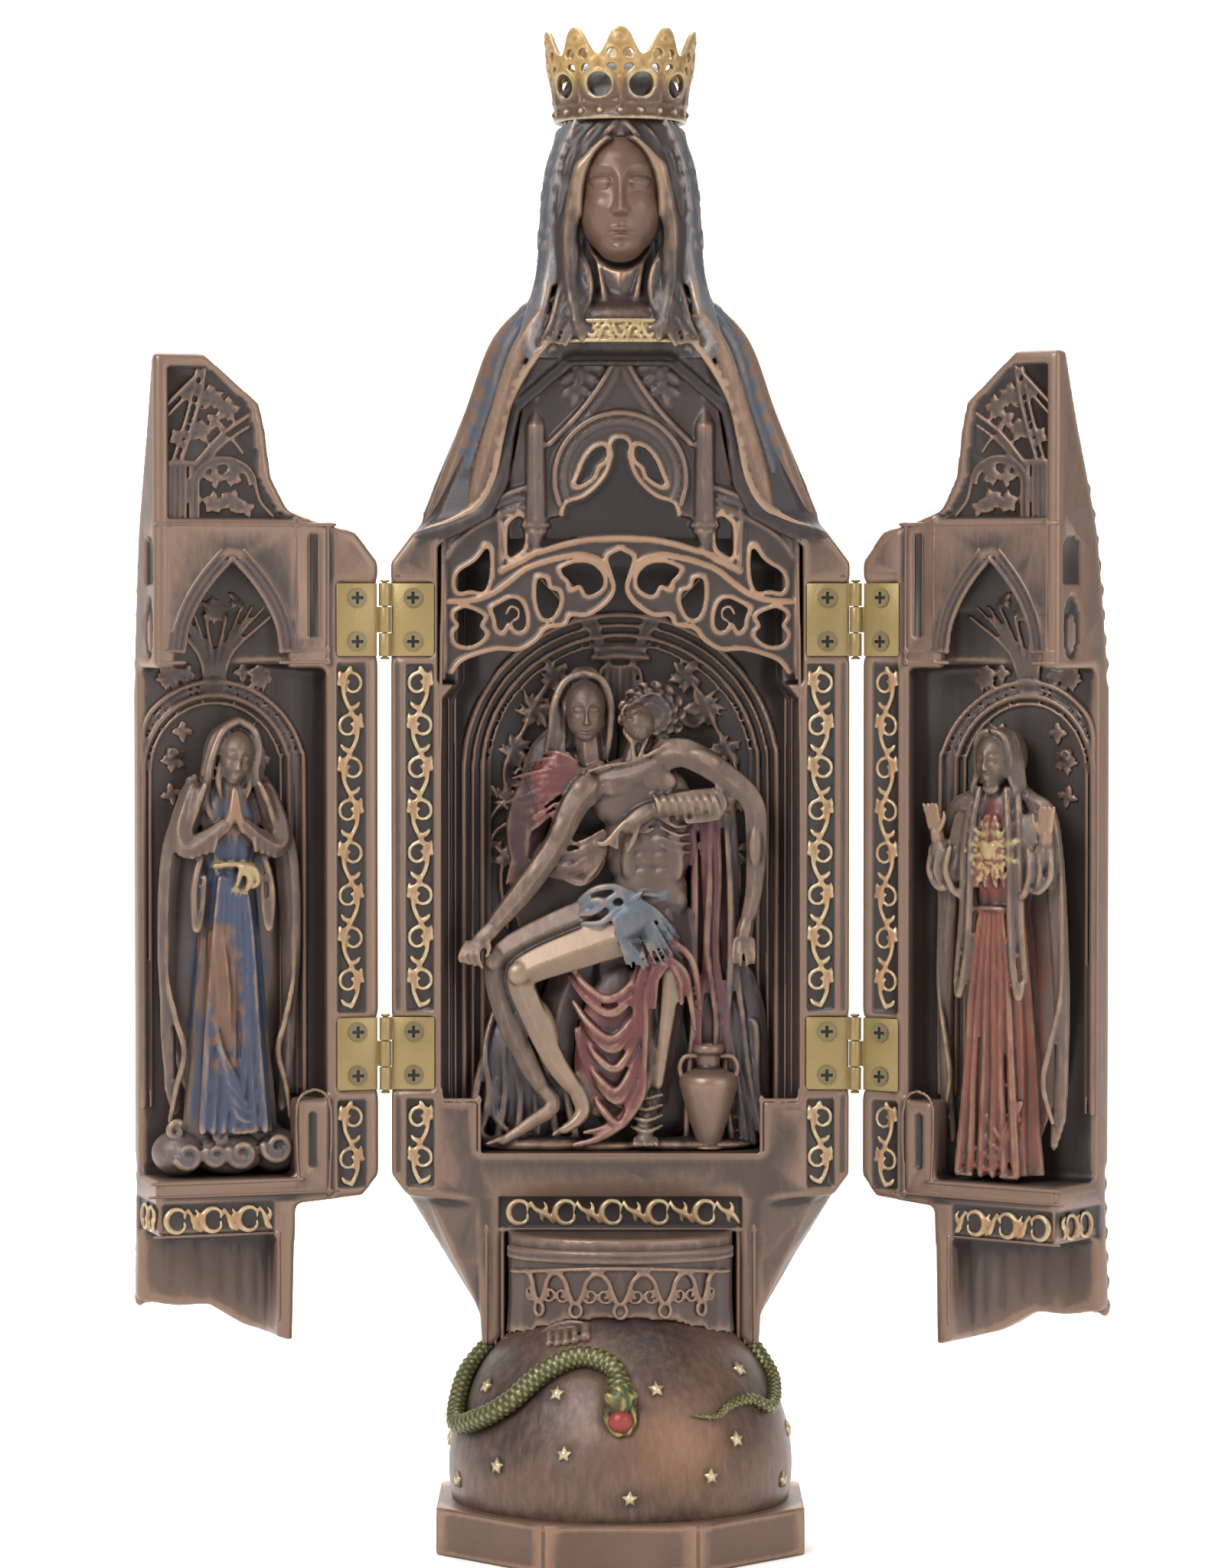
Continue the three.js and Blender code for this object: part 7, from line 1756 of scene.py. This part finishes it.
U = 16.2
gown = robe("lady_gown", U, [(79.5, 9.6, 5.4), (86, 9.0, 5.2), (100, 7.6, 4.8), (116, 6.2, 4.3), (126, 5.3, 3.9),
                             (130, 4.6, 3.4), (134, 5.6, 3.9), (140, 6.2, 3.9), (145, 4.4, 3.2), (148, 2.2, 2.2)],
            amount=0.16, folds=10)
gown_folds = []
for k in range(7):
    du = -5.4 + 1.7 * k
    gown_folds.append([(U + 0.5 * du, -4.4, 127.5, 0.5), (U + 0.72 * du, -3.7, 116, 0.7),
                       (U + 0.95 * du + 0.5 * math.sin(2 * k), -3.4, 100, 0.85), (U + 1.1 * du, -3.2, 86, 0.95),
                       (U + 1.2 * du, -2.9, 80.2, 0.8)])
for k in range(5):
    gown_folds.append([(U - 4.6 + 0.5 * k, -3.4, 106 - 3.4 * k, 0.6),
                       (U - 3.2 + 0.8 * k, -2.6, 96 - 3.2 * k, 0.9),
                       (U + 0.6 + 0.7 * k, -2.8, 89 - 1.9 * k, 0.7)])
knee = [[(U - 3.0, -4.8, 117, 2.0), (U - 2.2, -4.2, 106, 2.5), (U - 1.8, -4.8, 94, 1.9)]]
lady_cloak = []
for side in (-1, 1):
    reach = 1.0 if side < 0 else 1.02
    for k in range(4):
        lady_cloak.append([(U + side * (7.0 + 0.5 * k), -8.6 + 0.5 * k, 146 - k, 1.5),
                           (U + side * reach * (10.4 + 0.5 * k), -8.8 + 0.4 * k, 132, 1.6),
                           (U + side * reach * (11.6 + 0.35 * k), -8.8 + 0.3 * k, 114, 1.4),
                           (U + side * (11.8 + 0.3 * math.sin(2 * k)), -8.6, 98, 1.3),
                           (U + side * (10.6 + 0.35 * k), -8.4, 84.5 + 1.2 * k, 1.0)])
    lady_cloak.append([(U + side * 11.9, -7.2, 134, 0.65), (U + side * 12.6, -7.0, 112, 0.6),
                       (U + side * 11.0, -6.4, 102, 0.7), (U + side * 9.2, -6.0, 95, 0.7),
                       (U + side * 10.8, -6.4, 88, 0.65), (U + side * 11.8, -7.0, 82, 0.5)])
    lady_cloak.append([(U + side * 6.0, -5.2, 133, 0.7), (U + side * 7.6, -4.6, 126, 0.8),
                       (U + side * 7.2, -4.8, 118.5, 0.8), (U + side * 6.2, -4.6, 121, 0.6),
                       (U + side * 5.6, -4.6, 128, 0.6)])
cloak_back = [((U, -12, 112), (11.8, 3.0, 34)), ((U, -11, 140), (8.8, 3.4, 9))]
sleeves = []
for side in (-1, 1):
    sleeves.append([(U + side * 6.6, -7.6, 144.6, 2.7), (U + side * 9.2, -6.6, 137.4, 2.8),
                    (U + side * 8.2, -5.4, 134.2, 2.6), (U + side * 4.4, -4.0, 136.2, 1.9),
                    (U + side * 1.8, -3.2, 138.6, 1.3)])
    for k in range(4):
        sleeves.append([(U + side * (3.4 + 1.3 * k), -3.4 - 0.3 * k, 137.6 - 0.6 * k, 0.5),
                        (U + side * (3.8 + 1.3 * k), -2.5 - 0.4 * k, 135.6 - 0.5 * k, 0.6),
                        (U + side * (4.2 + 1.3 * k), -3.2 - 0.3 * k, 133.4 - 0.4 * k, 0.5)])
    for k in range(3):
        sleeves.append([(U + side * (5.4 + 1.4 * k), -4.6 - 0.5 * k, 146 - 1.2 * k, 0.6),
                        (U + side * (7.0 + 1.1 * k), -4.4 - 0.5 * k, 142 - 1.5 * k, 0.75),
                        (U + side * (8.4 + 0.7 * k), -4.8, 137.4 - k, 0.6)])
prayer = []
for side in (-1, 1):
    prayer.append([(U + side * 1.9, -3.3, 137.4, 1.0), (U + side * 0.75, -2.8, 140.2, 0.95),
                   (U + side * 0.42, -2.7, 143.2, 0.6), (U + side * 0.25, -2.8, 145.2, 0.35)])
bow = [[(U - 3.6, -4.2, 130.6, 0.55), (U, -3.4, 130.9, 0.6), (U + 3.8, -4.2, 130.6, 0.55)],
       [(U + 1.6, -3.0, 130.4, 0.9), (U + 3.0, -2.8, 128.2, 0.8), (U + 2.2, -2.8, 125.8, 0.5)],
       [(U + 1.8, -3.0, 130.6, 0.8), (U + 4.0, -3.0, 129.6, 0.8), (U + 4.6, -3.0, 127.4, 0.6),
        (U + 3.4, -2.9, 126.4, 0.45)], [(U + 1.2, -2.9, 129.8, 0.6), (U + 0.4, -2.8, 126.8, 0.45)]]
LADY_FACE = (17.2, -7.2, 151.2)
LADY_HEAD_SIZE = 0.4
LADY_BLUE = "#4b5876"
KNEE_COPPER = "#936c55"
hood = [((LADY_FACE[0] - 0.2, -10.6, 151), (5.2, 4.0, 7.0))]
hood_edge = [[(LADY_FACE[0] + 0.8, -6.8, 158.2, 0.8), (LADY_FACE[0] - 2.4, -6.0, 156.4, 0.85),
              (LADY_FACE[0] - 4.5, -5.6, 152.2, 0.9), (LADY_FACE[0] - 5.6, -5.6, 147.6, 0.95),
              (LADY_FACE[0] - 6.0, -5.8, 143, 0.8), (LADY_FACE[0] - 4.8, -5.2, 139.5, 0.6)],
             [(LADY_FACE[0] + 0.8, -6.8, 158.2, 0.8), (LADY_FACE[0] + 3.6, -6.0, 156.2, 0.85),
              (LADY_FACE[0] + 4.4, -5.6, 152.2, 0.9), (LADY_FACE[0] + 3.6, -5.4, 148.2, 0.9),
              (LADY_FACE[0] + 4.6, -5.6, 144, 0.8), (LADY_FACE[0] + 5.6, -5.6, 140, 0.6)],
             [(LADY_FACE[0] + 0.8, -8.4, 157.6, 1.6), (LADY_FACE[0] - 3.0, -8.4, 154.6, 1.7),
              (LADY_FACE[0] - 4.8, -8.4, 148, 1.8)],
             [(LADY_FACE[0] + 1.0, -8.4, 157.6, 1.6), (LADY_FACE[0] + 3.9, -8.4, 154, 1.6),
              (LADY_FACE[0] + 4.4, -8.4, 147, 1.8)]]
tresses = [[(LADY_FACE[0] - 3.0, -5.6, 150, 0.7), (LADY_FACE[0] - 3.6, -5.2, 146.8, 0.7),
            (LADY_FACE[0] - 3.2, -5.2, 143.8, 0.5)],
           [(LADY_FACE[0] + 2.2, -5.6, 149, 0.7), (LADY_FACE[0] + 2.4, -5.2, 146, 0.7),
            (LADY_FACE[0] + 1.8, -5.2, 143.6, 0.5)]]
throat = [[(U + 0.4, -7.2, 142.6, 2.3), (U + 0.8, -7.0, 147, 1.9)]]
clouds = [((6.2, -8, 75.6), (5.2, 5, 4.4)), ((16, -7.4, 75.4), (7.2, 4.8, 4.2)),
          ((25.2, -8, 75.6), (5.0, 4.8, 4.4)), ((10.6, -9, 79), (5, 3.6, 3.2)), ((22, -9, 79), (5, 3.6, 3.2))]
cloud_curls = [curl((7.0, 75.4), 2.5, 200, 1.3, -3.3, 0.9), curl((12.4, 75.4), 2.2, 150, 1.4, -3.0, 0.8),
               curl((17.4, 75.6), 2.7, 160, 1.4, -2.8, 0.9),
               curl((24.6, 76.6), 2.9, 170, 1.4, -3.3, 0.9), curl((13.6, 79.0), 1.5, 120, 1.2, -3.6, 0.6),
               curl((5.0, 80.0), 1.8, 60, 1.0, -4.6, 0.8)]
toes_low = [[(U + 0.6 + 0.8 * k, -2.8, 80.4, 0.45), (U + 0.4 + 0.85 * k, -2.4, 79.5, 0.4)] for k in range(4)]
lady_groups = [
    (LADY_BLUE, gown_folds, []), (KNEE_COPPER, knee, []), ("#77645b", lady_cloak + hood_edge, cloak_back + hood),
    ("#7a6256", sleeves, []),
    ("#b08468", prayer, []), ("#d9bd83", bow, []), ("#5f4c44", tresses, []), (FACE_PAINT, throat + toes_low, []),
    ("#7c6c66", cloud_curls, clouds),
]
lady_head = seated(head_skin, LADY_HEAD_SIZE, (LADY_FACE[0], LADY_FACE[1] + 0.4, LADY_FACE[2]), (8, -11, 180))
lady_skin = scaled_copy(clay("lady", *shapes_of(lady_groups), 0.34, 1, roundness=1, extra=[gown, lady_head]))
BLUE_WIDTHS = ((140, 3.6), (134, 3.8), (128, 3.2), (120, 4), (110, 4.4), (100, 4.6), (90, 5.2), (84, 5.6))
lady_marks = lady_groups + [
    (KNEE_COPPER, [[(U - 3.0, -4.0, 117, 2.3), (U - 2.2, -3.4, 106, 2.8), (U - 1.8, -3.9, 93, 2.1)]], []),
    (LADY_BLUE, [[(U, -8, z, w)] * 2 for z, w in BLUE_WIDTHS], []),
]

U = 17
robe_mesh = robe("long_robe", U, [(72.2, 9.4, 5.0), (80, 8.6, 5.0), (100, 7.4, 4.6), (118, 5.8, 4.2),
                                  (123, 5.0, 3.8), (128, 5.8, 4.0), (138, 6.4, 4.2), (143, 5.4, 3.6),
                                  (146.5, 2.4, 2.4)],
                 amount=0.15, folds=9, start=1.1)
robe_folds = []
for k in range(6):
    du = -5.0 + 2.0 * k
    robe_folds.append([(U + 0.5 * du, -4.2, 122, 0.5), (U + 0.8 * du, -3.7, 108, 0.75),
                       (U + 1.0 * du + 0.4 * math.sin(2 * k), -3.4, 92, 0.9), (U + 1.2 * du, -3.0, 77, 1.0),
                       (U + 1.3 * du, -2.8, 72.6, 0.8)])
for k in range(4):
    robe_folds.append([(U - 6.6 + 0.4 * k, -4.0, 86 - 3 * k, 0.6),
                       (U - 3.6 + 0.8 * k, -2.8, 79.4 - 1.9 * k, 0.85),
                       (U + 0.6 + 0.6 * k, -3.2, 84 - 3.4 * k, 0.6)])
breast = [[(U + du, -3.9, 127.5, 0.5), (U + 0.7 * du, -3.6, 134, 0.6), (U + 0.4 * du, -3.9, 140, 0.45)]
          for du in (-3, -1.2, 1.2, 3)]
belt = [[(U - 4.6, -4.6, 122.6, 0.6), (U, -3.8, 122.9, 0.62), (U + 4.6, -4.6, 122.6, 0.6)]]
mantle = []
for k in range(4):
    mantle += spread(U, [(4.4 + 0.9 * k, -8.0 + 0.2 * k, 145.4 - 0.6 * k, 1.3), (7.8 + 0.9 * k, -7.6, 141, 1.5),
                         (10.6 + 0.5 * k, -8.0, 131, 1.5), (12.2 + 0.3 * k, -8.4, 112, 1.4),
                         (12.6 + 0.2 * k, -8.6, 94, 1.2), (11.4 + 0.5 * k, -8.6, 79 + 1.4 * k, 0.9)])
mantle += spread(U, [(3.0, -4.6, 145.2, 0.7), (3.9, -3.8, 139, 0.8), (4.4, -3.7, 131, 0.8),
                     (4.6, -3.6, 122, 0.85), (5.2, -3.4, 113, 0.9), (6.6, -3.2, 106.2, 0.8),
                     (7.4, -3.4, 109, 0.6)])
mantle += spread(U, [(5.0, -5.4, 144, 0.8), (6.2, -4.4, 134, 0.9), (6.4, -4.2, 122, 0.9), (7.6, -4.0, 110, 0.7)])
mantle += spread(U, [(13.2, -7.4, 128, 0.6), (13.6, -7.2, 108, 0.6), (11.6, -6.4, 97, 0.7),
                     (10.4, -6.0, 90, 0.65), (12.0, -6.6, 83, 0.5)])
robe_back = [((U, -12.2, 110), (12.4, 2.8, 36)), ((U, -11, 138), (9, 3, 8.6))]
arms = spread(U, [(7.4, -7.0, 139.4, 2.6), (9.4, -6.2, 129.8, 2.6), (10.2, -5.0, 129.4, 2.5),
                  (11.6, -4.6, 134.4, 2.1)])
arms += spread(U, [(8.8, -3.2, 134, 0.6), (9.4, -2.8, 130, 0.75), (8.2, -3.2, 126.4, 0.8),
                   (6.9, -3.6, 125.2, 0.7)])
arms += spread(U, [(13.2, -3.8, 134, 0.6), (13.4, -3.4, 129.4, 0.7), (11.4, -3.2, 126.6, 0.7),
                   (9.6, -3.4, 126.4, 0.6)])
arms += spread(U, [(11.2, -3.0, 133.4, 0.5), (11.6, -2.7, 129.8, 0.6), (10.8, -3.0, 127.4, 0.5)])
wrists = spread(U, [(11.7, -4.4, 133.8, 1.35), (12.2, -3.9, 137.2, 1.35)])
for k in range(4):
    wrists += spread(U, [(11.6 + 0.55 * k, -3.5, 138, 0.62), (11.3 + 0.85 * k, -3.2, 140.4, 0.5),
                         (11.6 + 0.95 * k, -2.9, 142.4, 0.38)])
wrists += spread(U, [(11.2, -3.4, 137.6, 0.6), (10.0, -3.0, 139.4, 0.5), (9.9, -2.9, 141, 0.35)])
heart = [((U, -3.2, 133.6), (1.6, 0.9, 1.9)), ((U - 0.9, -3.2, 134.6), (1.0, 0.8, 1.0)),
         ((U + 0.9, -3.2, 134.6), (1.0, 0.8, 1.0))]
rays = [[(U + 2.0 * math.cos(t), -3.5, 133.8 + 2.2 * math.sin(t), 0.32),
         (U + reach * math.cos(t), -3.6, 133.8 + 1.15 * reach * math.sin(t), 0.24)]
        for t, reach in ((2 * math.pi * k / 22, 4.6 if k % 2 else 5.4) for k in range(22))]
ROBED_FACE = (17, -6.4, 151.2)
ROBED_HEAD_SIZE = 0.41
ROBE_RED = "#9a5844"
locks = []
for k in range(4):
    locks += spread(U, [(0.5 + 0.4 * k, -3.4 - 0.9 * k, 156.6 - 0.1 * k, 0.5),
                        (2.8 + 0.25 * k, -3.8 - 0.8 * k, 155.4, 0.75),
                        (3.7 + 0.3 * k, -4.6 - 0.7 * k, 151.4, 0.8),
                        (3.7 + 0.5 * k, -4.8 - 0.6 * k, 148.2, 0.8),
                        (4.6 + 0.3 * k, -5.0 - 0.6 * k, 145.4, 0.75),
                        (4.0 + 0.3 * k, -5.0 - 0.6 * k, 144.2, 0.5)])
hair_back = [((17, -8.8, 151.4), (4.6, 3.8, 5.8))]
beard_low = [((17, -3.9, 145.9), (1.8, 1.2, 1.5))]
feet = spread(U, [(4.0, -5.4, 72.8, 1.5), (4.4, -3.2, 72.5, 1.2)])
for k in range(5):
    feet += spread(U, [(3.4 + 0.6 * k, -2.8, 72.5, 0.42), (3.3 + 0.65 * k, -2.2, 72.2, 0.38)])
robed_groups = [
    (ROBE_RED, robe_folds + breast, []), ("#6a4237", belt, []), ("#7d675c", mantle, robe_back),
    ("#8a7466", arms, []), ("#b89274", wrists, []),
    ("#d9bd83", rays, heart), ("#6a574b", locks, hair_back + beard_low), ("#77604f", feet, []),
]
strokes, lumps = shapes_of(robed_groups)
throat = [[(17, -7, 145, 2.2), (17, -7, 149, 1.9)]]
robed_head = seated(head_skin, ROBED_HEAD_SIZE, (ROBED_FACE[0], ROBED_FACE[1] + 0.9, ROBED_FACE[2]), (3, 0, 180))
robed_skin = scaled_copy(clay("robed", strokes + throat, lumps, 0.34, 1, roundness=1,
                              extra=[robe_mesh, robed_head]))
RED_WIDTHS = ((118, 4.2), (110, 5), (100, 5.6), (90, 6.2), (80, 7))
robed_marks = robed_groups + [
    (ROBE_RED, [[(U, -6, z, w)] * 2 for z, w in RED_WIDTHS], []),
    ("#8c4238", [[(U, -5.4, z, 2.2)] * 2 for z in (128, 132, 136, 140)], []),
]


def figure(skin, name, side, marks, head_middle, head_size, node):
    """Puts a figure in its door's niche, with the paint of its parts and of its face."""
    places = spots_of(skin)
    places[:, 1] = np.clip(places[:, 1], FIGURE_DEEPEST_Y, FIGURE_NEAREST_Y)
    places[:, 2] = np.maximum(places[:, 2], FIGURE_FOOT_Z)
    skin.vertices.foreach_set("co", places.astype("f").ravel())
    paint = nearest_paint(places, marks)
    head_half = (8.4 * head_size, 12 * head_size, 12.6 * head_size)
    inside = np.linalg.norm((places - head_middle) / head_half, axis=1) < 1.02
    paint[inside & (places[:, 1] > head_middle[1] + 0.2)] = tint(FACE_PAINT)
    return hung(skin, name, side, mantle_finish, "bronze_resin", paint, 0.6, 18, node)


figure(lady_skin, "praying_lady", -1, lady_marks, LADY_FACE, LADY_HEAD_SIZE, "figure_left")
figure(robed_skin, "robed_figure", 1, robed_marks, ROBED_FACE, ROBED_HEAD_SIZE, "figure_right")


# Hinges: four small pressed brass butt hinges. Each has two leaves that roll into three knuckles about a
# riveted pin, and each leaf is held by two crosshead screws.
HINGE_HEIGHTS = (94.2, 177.5)
LEAF_LEFT = 35.7
LEAF_RIGHT = 43.7
LEAF_NEAR_Y = 0.55
LEAF_FAR_Y = 1.25
LEAF_TALL = 14
KNUCKLE_RADIUS = 1.2
KNUCKLE_ENDS = ((0, 0.315), (0.325, 0.675), (0.685, 1))
SCREW_X = 39.7
SCREW_SPREAD = 4.2
SCREW_DISCS = ((1.5, 0.14, 0.3, True), (1.72, 0.19, 0.36, True), (1.88, 0.26, 0.5, True),
               (1.7, 0.44, 0.56, False))
CROSS_ARM, CROSS_REACH = 0.3, 1.15
RIVET_RADIUS = 0.88
PIN_RADIUS = 0.5
brass = patina("aged_brass", "#3d2f17", "#dcc283", brushed=0.5, gloss=0.3, bump=0.2)
screw_metal = patina("screw_metal", "#2c2519", "#c9b78c", brushed=0.6, gloss=0.3)


def edges_of(verts):
    """The edges that meet in some corners, each of them once."""
    return list(dict.fromkeys(edge for vert in verts for edge in vert.link_edges))


def slab(bm, low, high, round_off):
    """A thin plate with softened edges."""
    size = [b - a for a, b in zip(low, high)]
    middle = [(a + b) / 2 for a, b in zip(low, high)]
    made = bmesh.ops.create_cube(bm, size=1, matrix=Matrix.Translation(middle) @ Matrix.Diagonal((*size, 1)))
    bmesh.ops.bevel(bm, geom=edges_of(made["verts"]), offset=round_off, segments=2, profile=0.5, affect="EDGES",
                    material=-1)


def barrel(bm, radius, low, high):
    """A rolled knuckle or a rivet head about the hinge's axis."""
    place = Matrix.Translation((HINGE_X, 0, (low + high) / 2))
    made = bmesh.ops.create_cone(bm, cap_ends=True, segments=28, radius1=radius, radius2=radius,
                                 depth=high - low, matrix=place)
    rims = [edge for edge in edges_of(made["verts"]) if abs(edge.verts[0].co.z - edge.verts[1].co.z) < 0.01]
    bmesh.ops.bevel(bm, geom=rims, offset=0.16, segments=2, profile=0.5, affect="EDGES", material=-1)


def leaf_mesh(middle, on_body):
    bm = bmesh.new()
    foot = middle - LEAF_TALL / 2
    slab(bm, (LEAF_LEFT, LEAF_NEAR_Y, foot), (LEAF_RIGHT, LEAF_FAR_Y, foot + LEAF_TALL), 0.14)
    for end in (0, 2) if on_body else (1,):
        low, high = (foot + LEAF_TALL * share for share in KNUCKLE_ENDS[end])
        slab(bm, (LEAF_RIGHT - 0.6, LEAF_NEAR_Y + 0.02, low), (HINGE_X, LEAF_FAR_Y - 0.08, high), 0.1)
        barrel(bm, KNUCKLE_RADIUS, low, high)
    if on_body:
        for low, high in ((foot - 0.62, foot - 0.16), (foot + LEAF_TALL + 0.16, foot + LEAF_TALL + 0.62)):
            barrel(bm, RIVET_RADIUS, low, high)
        barrel(bm, PIN_RADIUS, foot - 0.4, foot + LEAF_TALL + 0.4)
    mesh = bpy.data.meshes.new("leaf")
    bm.to_mesh(mesh)
    bm.free()
    return mesh


def crosshead(z):
    """A screw head with a cross cut in it: three pierced discs over a plain one."""
    arm, reach = CROSS_ARM, CROSS_REACH
    cross = [(-arm, reach), (arm, reach), (arm, arm), (reach, arm), (reach, -arm), (arm, -arm),
             (arm, -reach), (-arm, -reach), (-arm, -arm), (-reach, -arm), (-reach, arm), (-arm, arm)]
    bm = bmesh.new()
    for radius, near, far, cut in SCREW_DISCS:
        disc = round_outline((0, 0), radius, 28)
        plate = flat_plate("disc", [disc, cross] if cut else [disc], near, far)
        plate.transform(Matrix.Translation((SCREW_X, 0, z)))
        bm.from_mesh(plate)
    mesh = bpy.data.meshes.new("screw")
    bm.to_mesh(mesh)
    bm.free()
    return mesh


def gathered(meshes, flip_side=False, flip_depth=False):
    """Several meshes as one, mirrored to the left or to the doors' face where asked."""
    bm = bmesh.new()
    for mesh in meshes:
        bm.from_mesh(mesh)
    bmesh.ops.scale(bm, verts=bm.verts, vec=(-1 if flip_side else 1, -1 if flip_depth else 1, 1))
    if flip_side != flip_depth:
        bmesh.ops.reverse_faces(bm, faces=bm.faces)
    return bm


def brass_paint(piece):
    places = places_of(piece)
    worn = 0.5 + 0.5 * np.sin(places[:, 2] * 0.9 + places[:, 0] * 0.6) * np.sin(places[:, 2] * 0.37 + 2)
    return mixed(tint("#7d6130"), tint("#b3935a"), worn)


def screw_paint_with_recess_shade(places):
    """Metal paint, with painted shade nearly black on the disc seen through the cross of each screw head."""
    return mixed(tint("#a08d62"), tint("#120e0b"), eased(np.abs(places[:, 1]), 0.4, 0.43))


for side, (label, _) in DOORS.items():
    leaves = [leaf_mesh(z, True) for z in HINGE_HEIGHTS]
    piece = cast(gathered(leaves, flip_side=side < 0), f"body_hinges_{label}")
    nodes = [f"{kind}_{height}_{label}" for kind in ("body_leaf", "pin") for height in ("lower", "upper")]
    placed(mark(piece, brass_paint(piece), reach=0.4, broad=4), "shrine", brass, "hinge_brass", *nodes)
    screws = [crosshead(z + end * SCREW_SPREAD) for z in HINGE_HEIGHTS for end in (-1, 1)]
    piece = cast(gathered(screws, flip_side=side < 0), f"body_screws_{label}")
    nodes = [f"body_screw_{height}_{label}_{which}" for height in ("lower", "upper") for which in (1, 2)]
    placed(mark(piece, screw_paint_with_recess_shade(places_of(piece)), reach=0.4, broad=4), "shrine", screw_metal, "screw_steel",
           *nodes)
    for kind, meshes, material, slot, paint in (
        ("leaf", [leaf_mesh(z, False) for z in HINGE_HEIGHTS], brass, "hinge_brass", "#93763f"),
        ("screw", screws, screw_metal, "screw_steel", None),
    ):
        bm = gathered(meshes, flip_depth=True)
        flat = bpy.data.meshes.new(kind)
        bm.to_mesh(flat)
        bm.free()
        nodes = [f"door_{kind}_{height}_{label}" for height in ("lower", "upper")]
        if kind == "screw":
            nodes = [f"{node}_{which}" for node in nodes for which in (1, 2)]
        paint = paint or screw_paint_with_recess_shade(spots_of(flat))
        hung(flat, f"door_{kind}s", side, material, slot, paint, 0.4, 4, *nodes)


# The photographer's set: a pale table that runs up behind, three broad soft lights with a fourth on the
# backdrop, and a long lens from a little above the middle of the figure.
CAMERA_DISTANCE = 1000
CAMERA_HEIGHT = 180
AIM = (-1.5, 0, 146)
LENS = 119.8
FLOOR_REACH = 9000
BACKDROP_Y = 2200
BACKDROP_HEIGHT = 3600
SWEEP_RADIUS = 800

bm = bmesh.new()
turns = np.linspace(0.1, math.pi / 2, 12)
sweep = [(-FLOOR_REACH, 0), (BACKDROP_Y - SWEEP_RADIUS, 0)]
sweep += [(BACKDROP_Y - SWEEP_RADIUS * (1 - math.sin(t)), SWEEP_RADIUS * (1 - math.cos(t))) for t in turns]
sweep += [(BACKDROP_Y, BACKDROP_HEIGHT)]
rows = [[bm.verts.new((x, y, z)) for y, z in sweep] for x in (-FLOOR_REACH, FLOOR_REACH)]
for k in range(len(sweep) - 1):
    bm.faces.new((rows[0][k], rows[1][k], rows[1][k + 1], rows[0][k + 1]))
floor = cast(bm, "floor")
paper = bpy.data.materials.new("paper")
paper.use_nodes = True
paper_shader = paper.node_tree.nodes["Principled BSDF"]
paper_shader.inputs["Base Color"].default_value = tint("#f6f4f1")
paper_shader.inputs["Roughness"].default_value = 0.8
floor.data.materials.append(paper)

world = bpy.data.worlds.new("studio")
world.use_nodes = True
sky = world.node_tree.nodes["Background"]
sky.inputs["Color"].default_value = tint("#ffffff")
sky.inputs["Strength"].default_value = 0.55
bpy.context.scene.world = world
bpy.context.scene.view_settings.view_transform = "Standard"

for name, place, size, power, towards in (
    ("key", (-420, -620, 620), 420, 7.5, (0, 0, 150)),
    ("fill", (560, -560, 330), 500, 2.6, (0, 0, 150)),
    ("rim", (0, 420, 640), 420, 2.5, (0, 0, 150)),
    ("backdrop", (0, 500, 1950), 1900, 76, (0, BACKDROP_Y, 800)),
):
    lamp = bpy.data.lights.new(name, "AREA")
    lamp.size = size * MM
    lamp.energy = power
    holder = bpy.data.objects.new(name, lamp)
    holder.location = Vector(place) * MM
    holder.rotation_euler = (Vector(towards) - Vector(place)).to_track_quat("-Z", "Y").to_euler()
    bpy.context.collection.objects.link(holder)

lens = bpy.data.cameras.new("camera")
lens.lens = LENS
lens.sensor_fit = "VERTICAL"
lens.sensor_height = 36
camera = bpy.data.objects.new("camera", lens)
stand = Vector((AIM[0], -CAMERA_DISTANCE, CAMERA_HEIGHT))
camera.location = stand * MM
camera.rotation_euler = (Vector(AIM) - stand).to_track_quat("-Z", "Y").to_euler()
bpy.context.collection.objects.link(camera)
bpy.context.scene.camera = camera
